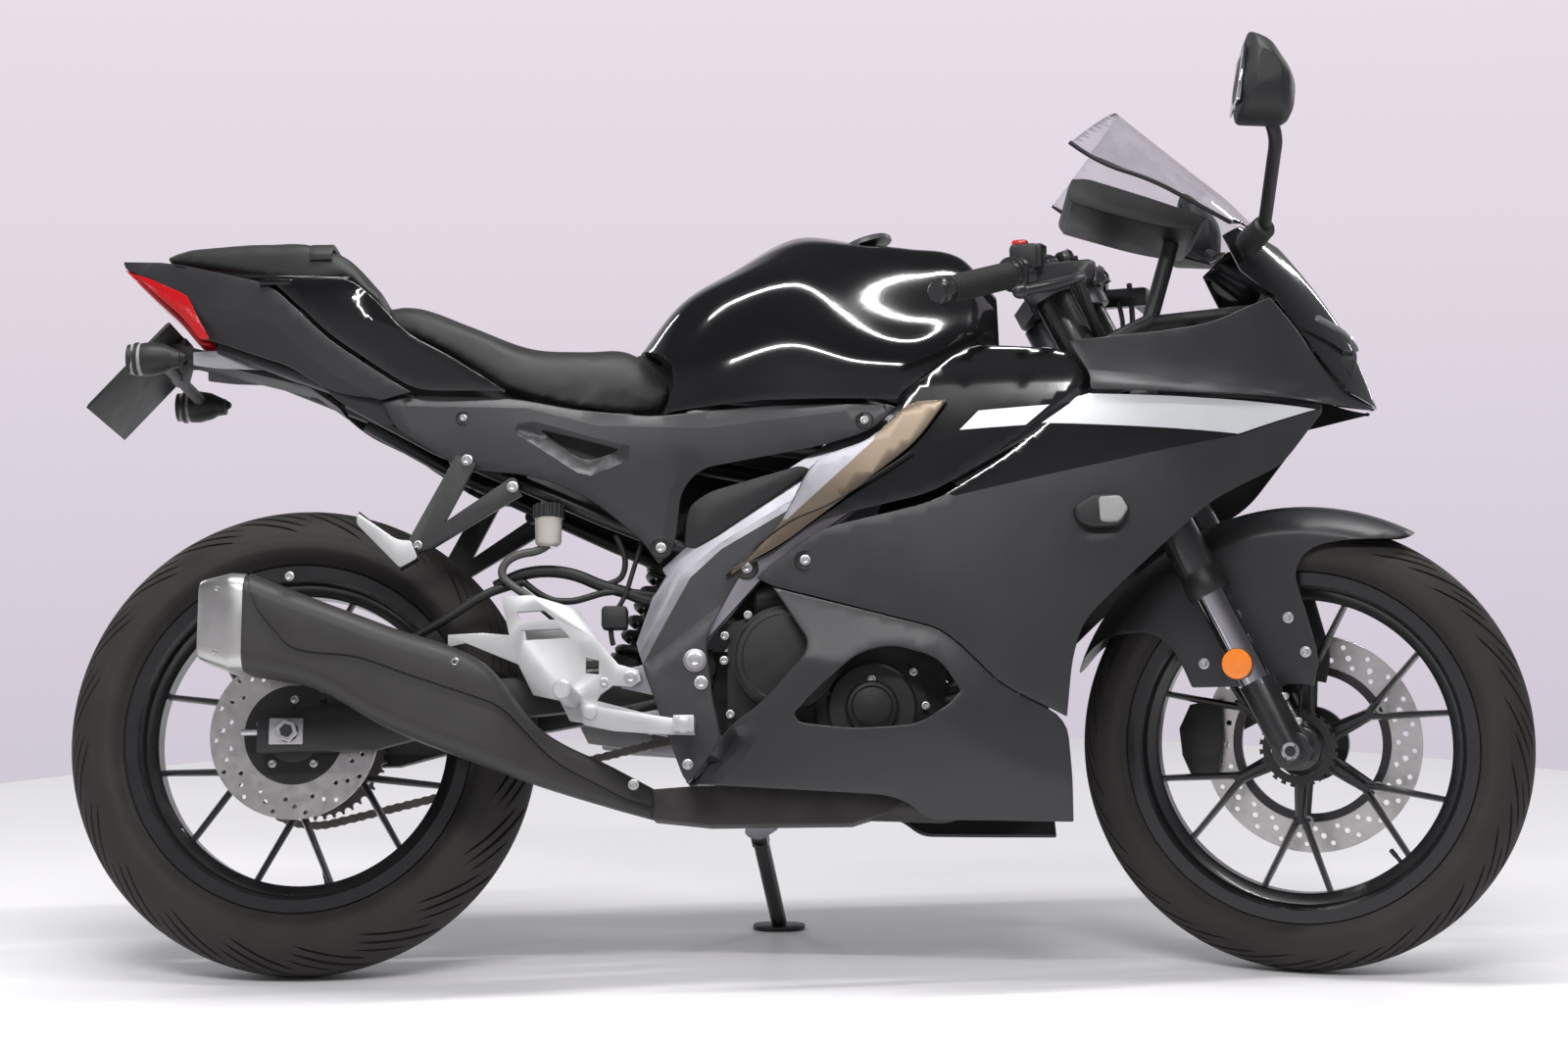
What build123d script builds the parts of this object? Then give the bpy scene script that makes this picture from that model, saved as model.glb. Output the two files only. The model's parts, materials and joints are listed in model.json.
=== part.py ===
"""Sport motorcycle of the 125 class, parked on its side stand with the bars turned to the right.

Every piece is drawn on an upright machine: x forward from the rear axle, y to the left, z up from the
ground, in millimetres.  The steered pieces are then turned about the steering axis, the whole machine
leans onto its side stand, and the bottom centre of its box becomes the origin.
"""
from build123d import *
from math import acos, asin, atan2, cos, degrees, hypot, radians, sin, sqrt, tan
import os

# ------------------------------------------------------------------ driving sizes: chassis geometry
WHEELBASE = 1325.0
RAKE = 26.0                  # steering axis, degrees from upright
TRAIL = 95.0                 # ground distance from the steering axis to the front contact
LEAN = 13.14                 # degrees to the left, onto the stand
STEER_REST = 20.34           # degrees to the right as it is parked
PIVOT_X = 525.0              # swingarm pivot
PIVOT_Z = 396.0

# ------------------------------------------------------------------ driving sizes: wheels
REAR_TYRE_R = 309.6
REAR_TYRE_W = 140.0
REAR_CROWN_R = 76.0
REAR_RIM_W = 104.0
FRONT_TYRE_R = 294.2
FRONT_TYRE_W = 100.0
FRONT_CROWN_R = 54.0
FRONT_RIM_W = 78.0
RIM_FLANGE_R = 229.0
FLANGE_H = 15.0              # flange above the bead seat
WELL_DEPTH = 22.0            # drop of the barrel under the bead seat
RIM_SEAT_R = RIM_FLANGE_R - FLANGE_H
RIM_BARREL_R = RIM_SEAT_R - WELL_DEPTH
RIM_WALL = 6.0
RIM_LIP = 5.0
SPOKE_PAIRS = 6
SPOKE_SPLIT_R = 95.0
SPOKE_SPREAD = {"front": 26.5, "rear": 30.0}   # degrees between the two ends of a pair
SPOKE_PHASE = {"front": 25.0, "rear": 27.0}    # degrees of the first pair's centre
SPOKE_DEPTH = 22.0
HUB_R = 36.0
REAR_HUB_HALF = 62.0
FRONT_HUB_HALF = 58.0
CARRIER_T = 8.0              # carrier of the front disc
CARRIER_HUB_R = 50.0
CARRIER_ARM_R = 3.4
AXLE_R = 8.5
RUN_FIT = 0.05               # radial clearance of a running fit
CLEAR = 5.0                  # clearance of moving pieces

# ------------------------------------------------------------------ driving sizes: brakes and drive
FRONT_DISC_R = 146.0
FRONT_DISC_IN_R = 105.0
FRONT_DISC_Y = 68.0
REAR_DISC_R = 110.0
REAR_DISC_IN_R = 60.0
REAR_DISC_Y = -78.0
DISC_T = 4.5
SPROCKET_R = 98.0
SPROCKET_T = 7.0
FRONT_SPROCKET_R = 34.0
FRONT_SPROCKET_X = 585.0
FRONT_SPROCKET_Z = 384.0
CHAIN_Y = 84.0
CHAIN_W = 15.0
CHAIN_T = 13.0
MESH_GAP = 0.5               # chain to sprocket

# ------------------------------------------------------------------ driving sizes: fork and steering
FORK_HALF = 97.0             # fork leg to the middle plane
FORK_OUTER_R = 26.0
FORK_INNER_R = 20.5
FORK_FOOT_R = 24.5
FORK_FOOT_TOP = 100.0        # along the leg, from the axle
FORK_SLIDER_TOP = 236.0      # lower end of the outer tube
FORK_TOP = 716.0             # upper end of the outer tube
LOWER_CLAMP = 512.0          # under side of the lower triple clamp, along the axis from the axle
UPPER_CLAMP = 668.0
CLAMP_T = 24.0
STEM_R = 13.0
HEAD_TUBE_R = 29.0
BAR_R = 11.0
GRIP_R = 16.5

# ------------------------------------------------------------------ driving sizes: body
PANEL_WALL = 4.0
SEAM = 1.5                   # gap between neighbouring panels
SEAT_GAP = 0.4               # soft pad to its base
SWINGARM_IN_Y = 97.0         # inner face of each arm at the axle
SWINGARM_W = 24.0
STAND_PIVOT = (598.0, 118.0, 205.0)
STAND_FOOT = (623.0, 337.0)  # on the floor, leaning machine, before the origin shift
STAND_R = 11.0
STAND_FOOT_T = 6.0
STAND_PIN_R = 6.0
STAND_TONGUE = 34.0          # flat length between the ears
KNUCKLE_R = 15.0
WEB_IN = 19.0                # web that joins the two ears beside the knuckle
WEB_OUT = 29.0
KNUCKLE_T = 14.0
EAR_T = 7.0
EAR_GAP = 0.3

REAR_AXLE = (0.0, 0.0, REAR_TYRE_R)
FRONT_AXLE = (WHEELBASE, 0.0, FRONT_TYRE_R)
SIDES = (("right", -1), ("left", 1))

# ------------------------------------------------------------------ steering axis
UP = (-sin(radians(RAKE)), 0.0, cos(radians(RAKE)))
AHEAD = (cos(radians(RAKE)), 0.0, sin(radians(RAKE)))
STEER_GROUND = (WHEELBASE + TRAIL, 0.0, 0.0)
AXLE_S = -TRAIL * UP[0] + FRONT_TYRE_R * UP[2]
FORK_OFFSET = -TRAIL * AHEAD[0] + FRONT_TYRE_R * AHEAD[2]


def steer_point(s, ahead=0.0, y=0.0):
    """Point at height s above the axle along the steering axis, and ahead of that axis."""
    along = AXLE_S + s
    return (STEER_GROUND[0] + along * UP[0] + ahead * AHEAD[0], y,
            along * UP[2] + ahead * AHEAD[2])


def fork_plane(s, ahead=0.0, y=0.0):
    """Plane square to the steering axis, its x ahead and its y to the left."""
    return Plane(origin=steer_point(s, ahead, y), x_dir=AHEAD, z_dir=UP)


# ------------------------------------------------------------------ how the machine stands
STEER_AXIS = Axis(STEER_GROUND, UP)


def lowest(centre, axle, radius, crown_r):
    """Height of the lowest point of a tyre whose crown is round, from its centre and axle direction."""
    return centre.Z - (radius - crown_r) * sqrt(1 - axle.Z ** 2) - crown_r


def steered(point, angle):
    """Point turned about the steering axis."""
    ground = Vector(*STEER_GROUND)
    return (Vector(*point) - ground).rotate(STEER_AXIS, angle) + ground


ACROSS = Vector(0, 1, 0)
REAR_LOW = lowest(Vector(*REAR_AXLE).rotate(Axis.X, -LEAN), ACROSS.rotate(Axis.X, -LEAN),
                  REAR_TYRE_R, REAR_CROWN_R)
FRONT_STOOD = steered(FRONT_AXLE, -STEER_REST).rotate(Axis.X, -LEAN)
FRONT_LOW = lowest(FRONT_STOOD, ACROSS.rotate(STEER_AXIS, -STEER_REST).rotate(Axis.X, -LEAN),
                   FRONT_TYRE_R, FRONT_CROWN_R)
PITCH = degrees(asin((FRONT_LOW - REAR_LOW) / FRONT_STOOD.X))
LIFT = -REAR_LOW


def park(shape):
    """Upright piece leaned onto the stand with both tyres on the ground."""
    return shape.rotate(Axis.X, -LEAN).rotate(Axis.Y, PITCH).moved(Location((0, 0, LIFT)))


def unpark(x, y, z):
    """Point of the parked machine back on the upright one."""
    return Vector(x, y, z - LIFT).rotate(Axis.Y, -PITCH).rotate(Axis.X, LEAN)


STAND_PAD = unpark(STAND_FOOT[0], STAND_FOOT[1], 0)
FLOOR_UP = (unpark(0, 0, 1) - unpark(0, 0, 0)).normalized()
FLOOR_AHEAD = (unpark(1, 0, 0) - unpark(0, 0, 0)).normalized()
STAND_DOWN = (STAND_PAD - Vector(*STAND_PIVOT)).normalized()
STAND_BACK = Vector(-0.98, 0.17, 0.06).normalized()      # folded against the left side
STAND_AXIS = STAND_DOWN.cross(STAND_BACK).normalized()
STAND_SWING = degrees(acos(STAND_DOWN.dot(STAND_BACK)))

# ------------------------------------------------------------------ pieces, kept by body
PIECES = []


def keep(builder, name, body="chassis"):
    builder.part.label = name
    PIECES.append((name, body, builder.part))


def side_plane(y):
    """Plane facing right at lateral position y: its x is forward and its y is up."""
    return Plane.XZ.offset(-y)


def prism(points, y_from, y_to, mode=Mode.ADD):
    """Side outline made solid between two lateral positions, inside the open part."""
    with BuildSketch(side_plane(max(y_from, y_to))) as outline:
        with BuildLine():
            Polyline(*points, close=True)
        make_face()
    extrude(outline.sketch, amount=abs(y_to - y_from), mode=mode)


def rod(start, end, radius, mode=Mode.ADD):
    """Round bar between two points."""
    axis = Vector(*end) - Vector(*start)
    with BuildSketch(Plane(origin=Vector(*start), z_dir=axis.normalized())) as section:
        Circle(radius)
    extrude(section.sketch, amount=axis.length, mode=mode)


def drum(x, z, y_from, y_to, radius, mode=Mode.ADD):
    """Cylinder across the machine."""
    rod((x, min(y_from, y_to), z), (x, max(y_from, y_to), z), radius, mode)


def tube(points, radii, radius):
    """Round bar along straight runs joined by tangent arcs."""
    with BuildLine() as path:
        FilletPolyline(*points, radius=radii)
    with BuildSketch(Plane(origin=path.line @ 0, z_dir=path.line % 0)) as section:
        Circle(radius)
    sweep(section.sketch, path=path.line)


def inner_line(points, wall):
    """The line of points moved by one wall to the right hand of its direction."""
    moved = []
    for i, (x, y) in enumerate(points):
        x0, y0 = points[max(i - 1, 0)]
        x1, y1 = points[min(i + 1, len(points) - 1)]
        run = hypot(x1 - x0, y1 - y0)
        moved.append((x + wall * (y1 - y0) / run, y - wall * (x1 - x0) / run))
    return moved


def loft_face(points):
    """Flat face that keeps every corner, straight ones too, so that all slices of a loft match."""
    return Face(Wire.make_polygon([Vector(*p) for p in points], close=True))


def skin(levels, wall, outline, side, ruled=True):
    """Panel of even wall: plan lines (x, half width) at several heights, trimmed to a side outline."""
    slices = []
    for z, line in levels:
        ring = line + inner_line(line, wall)[::-1]
        slices.append(loft_face([(x, side * y, z) for x, y in ring]))
    loft(slices, ruled=ruled)
    trim(outline)


def trim(outline, reach=400.0):
    with BuildSketch(side_plane(reach)) as shape:
        with BuildLine():
            Polyline(*outline, close=True)
        make_face()
    extrude(shape.sketch, amount=2 * reach, mode=Mode.INTERSECT)


def symmetric_loft(stations, ruled=False):
    """Loft along the machine: stations (x, right half profile from top centre to bottom centre)."""
    slices = []
    for x, half in stations:
        ring = [(y, z) for y, z in half] + [(-y, z) for y, z in half[::-1] if y > 0]
        slices.append(loft_face([(x, y, z) for y, z in ring]))
    loft(slices, ruled=ruled)


def wheel_plane(axle):
    """Plane through the wheel's axis: its x is along the axis, its y is the radius."""
    return Plane(origin=axle, x_dir=(0, 1, 0), z_dir=(1, 0, 0))


def ring_about(axle, points):
    """Turned ring of a profile (along the axis, radius)."""
    with BuildSketch(wheel_plane(axle)) as profile:
        with BuildLine():
            Polyline(*points, close=True)
        make_face()
    revolve(profile.sketch, axis=Axis(axle, (0, 1, 0)))


# ================================================================== wheels
def tyre(name, body, axle, radius, width, crown_r, rim_w):
    bead = rim_w / 2 - RIM_LIP - 0.2
    shoulder_r = radius - crown_r + sqrt(crown_r ** 2 - (width / 2 - 3) ** 2)
    wall_r = RIM_FLANGE_R + 0.45 * (shoulder_r - RIM_FLANGE_R)
    with BuildPart() as ring:
        with BuildSketch(wheel_plane(axle)):
            with BuildLine():
                ThreePointArc((-width / 2 + 3, shoulder_r), (0, radius), (width / 2 - 3, shoulder_r))
                ThreePointArc((width / 2 - 3, shoulder_r), (width / 2, wall_r), (bead + 4, RIM_FLANGE_R + 1))
                Polyline((bead + 4, RIM_FLANGE_R + 1), (bead, RIM_FLANGE_R + 1), (bead, RIM_SEAT_R + 0.2),
                         (-bead, RIM_SEAT_R + 0.2), (-bead, RIM_FLANGE_R + 1), (-bead - 4, RIM_FLANGE_R + 1))
                ThreePointArc((-bead - 4, RIM_FLANGE_R + 1), (-width / 2, wall_r), (-width / 2 + 3, shoulder_r))
            make_face()
        revolve(axis=Axis(axle, (0, 1, 0)))
    keep(ring, name, body)


def disc_carrier():
    """Black ring and arms that carry the front disc on the left of the hub."""
    x, _, z = FRONT_AXLE
    inner, outer = FRONT_DISC_Y - CARRIER_T / 2, FRONT_DISC_Y + CARRIER_T / 2
    drum(x, z, inner, outer, FRONT_DISC_IN_R - 0.2)
    drum(x, z, inner - 1, outer + 1, FRONT_DISC_IN_R - 12, Mode.SUBTRACT)
    drum(x, z, FRONT_HUB_HALF - 2, outer, CARRIER_HUB_R)
    for arm in range(SPOKE_PAIRS):
        turn = radians(85 + arm * 360 / SPOKE_PAIRS)
        rod((x + (CARRIER_HUB_R - 6) * cos(turn), FRONT_DISC_Y, z + (CARRIER_HUB_R - 6) * sin(turn)),
            (x + (FRONT_DISC_IN_R - 8) * cos(turn), FRONT_DISC_Y, z + (FRONT_DISC_IN_R - 8) * sin(turn)),
            CARRIER_ARM_R)


def rim(name, body, axle, rim_w, hub_half, which):
    half = rim_w / 2
    with BuildPart() as wheel:
        ring_about(axle, [(-half, RIM_FLANGE_R), (-half + RIM_LIP, RIM_FLANGE_R),
                          (-half + RIM_LIP, RIM_SEAT_R), (half - RIM_LIP, RIM_SEAT_R),
                          (half - RIM_LIP, RIM_FLANGE_R), (half, RIM_FLANGE_R),
                          (half, RIM_SEAT_R - RIM_WALL), (half * 0.55, RIM_SEAT_R - RIM_WALL),
                          (half * 0.35, RIM_BARREL_R), (-half * 0.35, RIM_BARREL_R),
                          (-half * 0.55, RIM_SEAT_R - RIM_WALL), (-half, RIM_SEAT_R - RIM_WALL)])
        drum(axle[0], axle[2], -hub_half, hub_half, HUB_R)
        for pair in range(SPOKE_PAIRS):
            centre = SPOKE_PHASE[which] + pair * 360 / SPOKE_PAIRS
            bar(axle, (HUB_R - 6, centre), (SPOKE_SPLIT_R, centre), 19, 15)
            for end in (-1, 1):
                tip = centre + end * SPOKE_SPREAD[which] / 2
                bar(axle, (SPOKE_SPLIT_R - 8, centre), (RIM_BARREL_R + 4, tip), 12, 9)
        if which == "front":
            disc_carrier()
        drum(axle[0], axle[2], -hub_half - 1, hub_half + CARRIER_T * 2, AXLE_R + RUN_FIT, Mode.SUBTRACT)
    keep(wheel, name, body)


def bar(axle, start, end, w0, w1):
    """Flat spoke between two polar points (radius, angle), width w0 to w1."""
    p0 = Vector(start[0] * cos(radians(start[1])), start[0] * sin(radians(start[1])))
    p1 = Vector(end[0] * cos(radians(end[1])), end[0] * sin(radians(end[1])))
    run = (p1 - p0).normalized()
    across = Vector(-run.Y, run.X)
    ring = [p0 + across * w0 / 2, p1 + across * w1 / 2, p1 - across * w1 / 2, p0 - across * w0 / 2]
    prism([(axle[0] + p.X, axle[2] + p.Y) for p in ring], -SPOKE_DEPTH / 2, SPOKE_DEPTH / 2)


def disc(name, body, axle, y, r_out, r_in, holes, thick=DISC_T):
    with BuildPart() as plate:
        with BuildSketch(Plane(origin=(axle[0], y - thick / 2, axle[2]), x_dir=(1, 0, 0), z_dir=(0, 1, 0))):
            Circle(r_out)
            Circle(r_in, mode=Mode.SUBTRACT)
            for row, (share, phase) in enumerate(((0.28, 0.0), (0.62, 0.5))):
                with PolarLocations(r_in + share * (r_out - r_in), holes, start_angle=phase * 360 / holes):
                    Circle(3.6, mode=Mode.SUBTRACT)
        extrude(amount=thick)
    keep(plate, name, body)


tyre("rear_tyre", "rear_wheel", REAR_AXLE, REAR_TYRE_R, REAR_TYRE_W, REAR_CROWN_R, REAR_RIM_W)
tyre("front_tyre", "front_wheel", FRONT_AXLE, FRONT_TYRE_R, FRONT_TYRE_W, FRONT_CROWN_R, FRONT_RIM_W)
rim("rear_rim", "rear_wheel", REAR_AXLE, REAR_RIM_W, REAR_HUB_HALF, "rear")
rim("front_rim", "front_wheel", FRONT_AXLE, FRONT_RIM_W, FRONT_HUB_HALF, "front")
disc("front_disc", "front_wheel", FRONT_AXLE, FRONT_DISC_Y, FRONT_DISC_R, FRONT_DISC_IN_R, 24)

# rear disc on a flange that carries it to the hub
with BuildPart() as rear_disc:
    with BuildSketch(side_plane(REAR_DISC_Y + DISC_T / 2)):
        with Locations((REAR_AXLE[0], REAR_AXLE[2])):
            Circle(REAR_DISC_R)
            with PolarLocations(76, 24):
                Circle(3.6, mode=Mode.SUBTRACT)
            with PolarLocations(95, 24, start_angle=7.5):
                Circle(3.6, mode=Mode.SUBTRACT)
            with PolarLocations(52, 5):
                Circle(11, mode=Mode.SUBTRACT)
    extrude(amount=DISC_T)
    drum(REAR_AXLE[0], REAR_AXLE[2], -REAR_HUB_HALF, REAR_DISC_Y, 36)
    drum(REAR_AXLE[0], REAR_AXLE[2], -REAR_HUB_HALF + 1, REAR_DISC_Y - DISC_T, AXLE_R + RUN_FIT, Mode.SUBTRACT)
keep(rear_disc, "rear_disc", "rear_wheel")

# sprocket and its carrier on the left of the rear hub
with BuildPart() as sprocket:
    drum(REAR_AXLE[0], REAR_AXLE[2], CHAIN_Y - SPROCKET_T / 2, CHAIN_Y + SPROCKET_T / 2, SPROCKET_R)
    for hole in range(5):
        turn = radians(hole * 72)
        drum(REAR_AXLE[0] + 68 * cos(turn), REAR_AXLE[2] + 68 * sin(turn),
             CHAIN_Y - SPROCKET_T, CHAIN_Y + SPROCKET_T, 15, Mode.SUBTRACT)
    drum(REAR_AXLE[0], REAR_AXLE[2], REAR_HUB_HALF, CHAIN_Y, 46)
    drum(REAR_AXLE[0], REAR_AXLE[2], REAR_HUB_HALF - 1, CHAIN_Y + SPROCKET_T, AXLE_R + RUN_FIT, Mode.SUBTRACT)
keep(sprocket, "sprocket", "rear_wheel")

# ================================================================== swingarm, axles, chain
AXLE_HALF = SWINGARM_IN_Y + SWINGARM_W + 12
HUB_FACE = {-1: -REAR_DISC_Y + DISC_T / 2, 1: CHAIN_Y + SPROCKET_T / 2}   # outer faces of the wheel
PIVOT_IN_Y = 46.0            # inner face of each arm at the pivot
# stations of an arm: x, inner face, lower and upper edge
ARM_STATIONS = ((PIVOT_X + 20, PIVOT_IN_Y, PIVOT_Z - 24, PIVOT_Z + 24),
                (PIVOT_X - 95, PIVOT_IN_Y, PIVOT_Z - 50, PIVOT_Z - 2),
                (250, SWINGARM_IN_Y, 322, 374), (110, SWINGARM_IN_Y, 286, 346),
                (-40, SWINGARM_IN_Y, 283, 336))
with BuildPart() as swingarm:
    for _, side in SIDES:
        for x, y, low, high in ARM_STATIONS:
            with BuildSketch(Plane.YZ.offset(x)):
                with Locations((side * (y + SWINGARM_W / 2), (low + high) / 2)):
                    Rectangle(SWINGARM_W, high - low)
        loft(ruled=True)
        drum(REAR_AXLE[0], REAR_AXLE[2], side * (SWINGARM_IN_Y + SWINGARM_W - 1),
             side * (SWINGARM_IN_Y + SWINGARM_W + 7), 14)
        drum(REAR_AXLE[0], REAR_AXLE[2], side * (HUB_FACE[side] + 0.3), side * (SWINGARM_IN_Y + 1), 15)
    prism([(PIVOT_X - 90, 352), (PIVOT_X - 40, 366), (PIVOT_X - 40, 398), (PIVOT_X - 90, 390)],
          -PIVOT_IN_Y - 2, PIVOT_IN_Y + 2)
    drum(PIVOT_X, PIVOT_Z, -PIVOT_IN_Y - SWINGARM_W - 1, PIVOT_IN_Y + SWINGARM_W + 1, 24)
    drum(REAR_AXLE[0], REAR_AXLE[2], -AXLE_HALF, AXLE_HALF, AXLE_R)
keep(swingarm, "swingarm")


def tangent_loop(c0, r0, c1, r1, grow):
    """Belt line around two circles: upper and lower tangent points on each."""
    dx, dz = c1[0] - c0[0], c1[1] - c0[1]
    line, dist = atan2(dz, dx), hypot(dx, dz)
    swing = atan2(sqrt(dist ** 2 - (r0 - r1) ** 2), r0 - r1)
    points = []
    for c, r, sign in ((c0, r0, 1), (c1, r1, 1), (c1, r1, -1), (c0, r0, -1)):
        turn = line + sign * swing
        points.append((c[0] + (r + grow) * cos(turn), c[1] + (r + grow) * sin(turn)))
    back = (c0[0] - (r0 + grow) * cos(line), c0[1] - (r0 + grow) * sin(line))
    nose = (c1[0] + (r1 + grow) * cos(line), c1[1] + (r1 + grow) * sin(line))
    return points, back, nose


def belt(grow, width, mode):
    """Solid between the two faces of the chain that lies at a distance outside the sprockets."""
    points, back, nose = tangent_loop((REAR_AXLE[0], REAR_AXLE[2]), SPROCKET_R,
                                      (FRONT_SPROCKET_X, FRONT_SPROCKET_Z), FRONT_SPROCKET_R, grow)
    with BuildSketch(side_plane(CHAIN_Y + width / 2)) as loop:
        with BuildLine():
            Line(points[0], points[1])
            ThreePointArc(points[1], nose, points[2])
            Line(points[2], points[3])
            ThreePointArc(points[3], back, points[0])
        make_face()
    extrude(loop.sketch, amount=width, mode=mode)


with BuildPart() as chain:
    belt(MESH_GAP + CHAIN_T, CHAIN_W, Mode.ADD)
    belt(MESH_GAP, CHAIN_W + 2, Mode.SUBTRACT)
keep(chain, "chain")

# ================================================================== fork and steering
for side_name, side in SIDES:
    with BuildPart() as leg:
        with BuildSketch(fork_plane(FORK_SLIDER_TOP, FORK_OFFSET, side * FORK_HALF)):
            Circle(FORK_OUTER_R)
        extrude(amount=FORK_TOP - FORK_SLIDER_TOP)
        with BuildSketch(fork_plane(FORK_FOOT_TOP - 12, FORK_OFFSET, side * FORK_HALF)):
            Circle(FORK_INNER_R)
        extrude(amount=FORK_SLIDER_TOP - FORK_FOOT_TOP + 30)
        with BuildSketch(fork_plane(-14, FORK_OFFSET, side * FORK_HALF)):
            Circle(FORK_FOOT_R)
        extrude(amount=FORK_FOOT_TOP + 14)
        drum(FRONT_AXLE[0], FRONT_AXLE[2], side * (FORK_HALF - 20), side * (FORK_HALF + 18), 25)
        if side < 0:
            drum(FRONT_AXLE[0], FRONT_AXLE[2], -FORK_HALF - 22, FORK_HALF + 24, AXLE_R)
            drum(FRONT_AXLE[0], FRONT_AXLE[2], -FORK_HALF - 26, -FORK_HALF, 13)
            drum(FRONT_AXLE[0], FRONT_AXLE[2], -FRONT_HUB_HALF - 0.3, -FORK_HALF, 15)
        else:
            drum(FRONT_AXLE[0], FRONT_AXLE[2], FRONT_DISC_Y + CARRIER_T / 2 + 0.3, FORK_HALF, 15)
            drum(FRONT_AXLE[0], FRONT_AXLE[2], 0, 150, AXLE_R + RUN_FIT, Mode.SUBTRACT)
    keep(leg, f"fork_{side_name}", "steering")

# triple clamps and stem: waisted plates around both legs and the stem
with BuildPart() as clamps:
    for s in (LOWER_CLAMP, UPPER_CLAMP):
        with BuildSketch(fork_plane(s)):
            with BuildLine():
                Polyline((FORK_OFFSET + 30, -FORK_HALF + 6), (FORK_OFFSET + 18, -30), (FORK_OFFSET + 18, 30),
                         (FORK_OFFSET + 30, FORK_HALF - 6), (FORK_OFFSET - 30, FORK_HALF - 6),
                         (-26, 26), (-26, -26), (FORK_OFFSET - 30, -FORK_HALF + 6), close=True)
            make_face()
            with Locations((FORK_OFFSET, FORK_HALF), (FORK_OFFSET, -FORK_HALF)):
                Circle(FORK_OUTER_R + 9)
            with Locations((FORK_OFFSET, FORK_HALF), (FORK_OFFSET, -FORK_HALF)):
                Circle(FORK_OUTER_R, mode=Mode.SUBTRACT)
        extrude(amount=CLAMP_T)
    with BuildSketch(fork_plane(LOWER_CLAMP)):
        Circle(STEM_R)
    extrude(amount=UPPER_CLAMP + CLAMP_T + 10 - LOWER_CLAMP)
keep(clamps, "triple_clamps", "steering")

# clip-on handlebars: clamp, neck and bar on each side
BAR_CLAMP_S = UPPER_CLAMP + CLAMP_T + 1
BAR_IN = (1052.0, 104.0, 943.0)
BAR_OUT = (951.0, 336.0, 888.0)


def on_bar(share, side):
    """Point of the bar's centre line, 0 at its inner end and 1 at its outer end."""
    return (BAR_IN[0] + share * (BAR_OUT[0] - BAR_IN[0]),
            side * (BAR_IN[1] + share * (BAR_OUT[1] - BAR_IN[1])),
            BAR_IN[2] + share * (BAR_OUT[2] - BAR_IN[2]))


for side_name, side in SIDES:
    with BuildPart() as handlebar:
        with BuildSketch(fork_plane(BAR_CLAMP_S, FORK_OFFSET, side * FORK_HALF)):
            Circle(FORK_OUTER_R + 8)
            with Locations((24, 0)):
                Rectangle(50, 30)
            Circle(FORK_OUTER_R, mode=Mode.SUBTRACT)
        extrude(amount=CLAMP_T - 1)
        rod(on_bar(-0.02, side), on_bar(1.0, side), BAR_R)
        rod(on_bar(0.46, side), on_bar(0.985, side), GRIP_R)
        rod(on_bar(0.44, side), on_bar(0.47, side), 23)
        rod(on_bar(0.47, side), on_bar(0.50, side), 19)
        rod(on_bar(0.985, side), on_bar(1.07, side), 15)
        rod(on_bar(0.27, side), on_bar(0.43, side), 21)
        x, y, z = on_bar(0.35, side)
        with Locations((x + 8, y, z + 18)):
            Box(34, 34, 30)
        rod(on_bar(0.15, side), on_bar(0.26, side), 15)
        with Locations((x + 52, y - side * 12, z - 4)):
            Box(70, 26, 24)
        lever_in = (x + 70, y - side * 4, z - 10)
        lever_mid = (x + 78, y + side * 60, z - 22)
        lever_out = (x + 28, y + side * 150, z - 44)
        rod(lever_in, lever_mid, 7)
        rod(lever_mid, lever_out, 6.5)
        with Locations(lever_out):
            Sphere(8.5)
    keep(handlebar, f"handlebar_{side_name}", "steering")

# front fender: arch over the tyre, trimmed to its side outline, with a stay on each leg
FENDER_R = FRONT_TYRE_R + 21.0
FENDER_HALF = 58.8
FENDER_WALL = 3.6
FENDER_SKIRT_R = 84.0        # lowest reach of the side wings above the axle
FENDER_SHAPE = [(1483, 572), (1440, 640), (1200, 640), (1000, 470), (1024, 392), (1045, 425), (1080, 447),
                (1138, 452), (1170, 425), (1190, 376), (1262, 376), (1296, 362), (1334, 358), (1346, 366),
                (1357, 410), (1329, 521), (1340, 545), (1362, 558), (1402, 563), (1461, 562)]
with BuildPart() as fender:
    with BuildSketch(wheel_plane(FRONT_AXLE)):
        with BuildLine():
            Polyline((-FENDER_HALF, FENDER_SKIRT_R), (-FENDER_HALF, FENDER_R - 24),
                     (-FENDER_HALF + 20, FENDER_R - 5), (-14, FENDER_R), (14, FENDER_R),
                     (FENDER_HALF - 20, FENDER_R - 5), (FENDER_HALF, FENDER_R - 24),
                     (FENDER_HALF, FENDER_SKIRT_R), (FENDER_HALF - FENDER_WALL, FENDER_SKIRT_R),
                     (FENDER_HALF - FENDER_WALL, FENDER_R - 26), (FENDER_HALF - 22, FENDER_R - 9),
                     (13, FENDER_R - 4), (-13, FENDER_R - 4), (-FENDER_HALF + 22, FENDER_R - 9),
                     (-FENDER_HALF + FENDER_WALL, FENDER_R - 26),
                     (-FENDER_HALF + FENDER_WALL, FENDER_SKIRT_R), close=True)
        make_face()
    revolve(axis=Axis(FRONT_AXLE, (0, 1, 0)))
    trim(FENDER_SHAPE)
    for _, side in SIDES:
        drum(1250, 468, side * (FENDER_HALF - 1), side * (FORK_HALF - 12), 9)
        drum(1237, 490, side * (FENDER_HALF - 1), side * (FORK_HALF - 12), 9)
        with BuildSketch(fork_plane(FORK_FOOT_TOP - 12, FORK_OFFSET, side * FORK_HALF)):
            Circle(FORK_INNER_R)
        extrude(amount=FORK_SLIDER_TOP - FORK_FOOT_TOP + 30, mode=Mode.SUBTRACT)
keep(fender, "front_fender", "steering")

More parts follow.
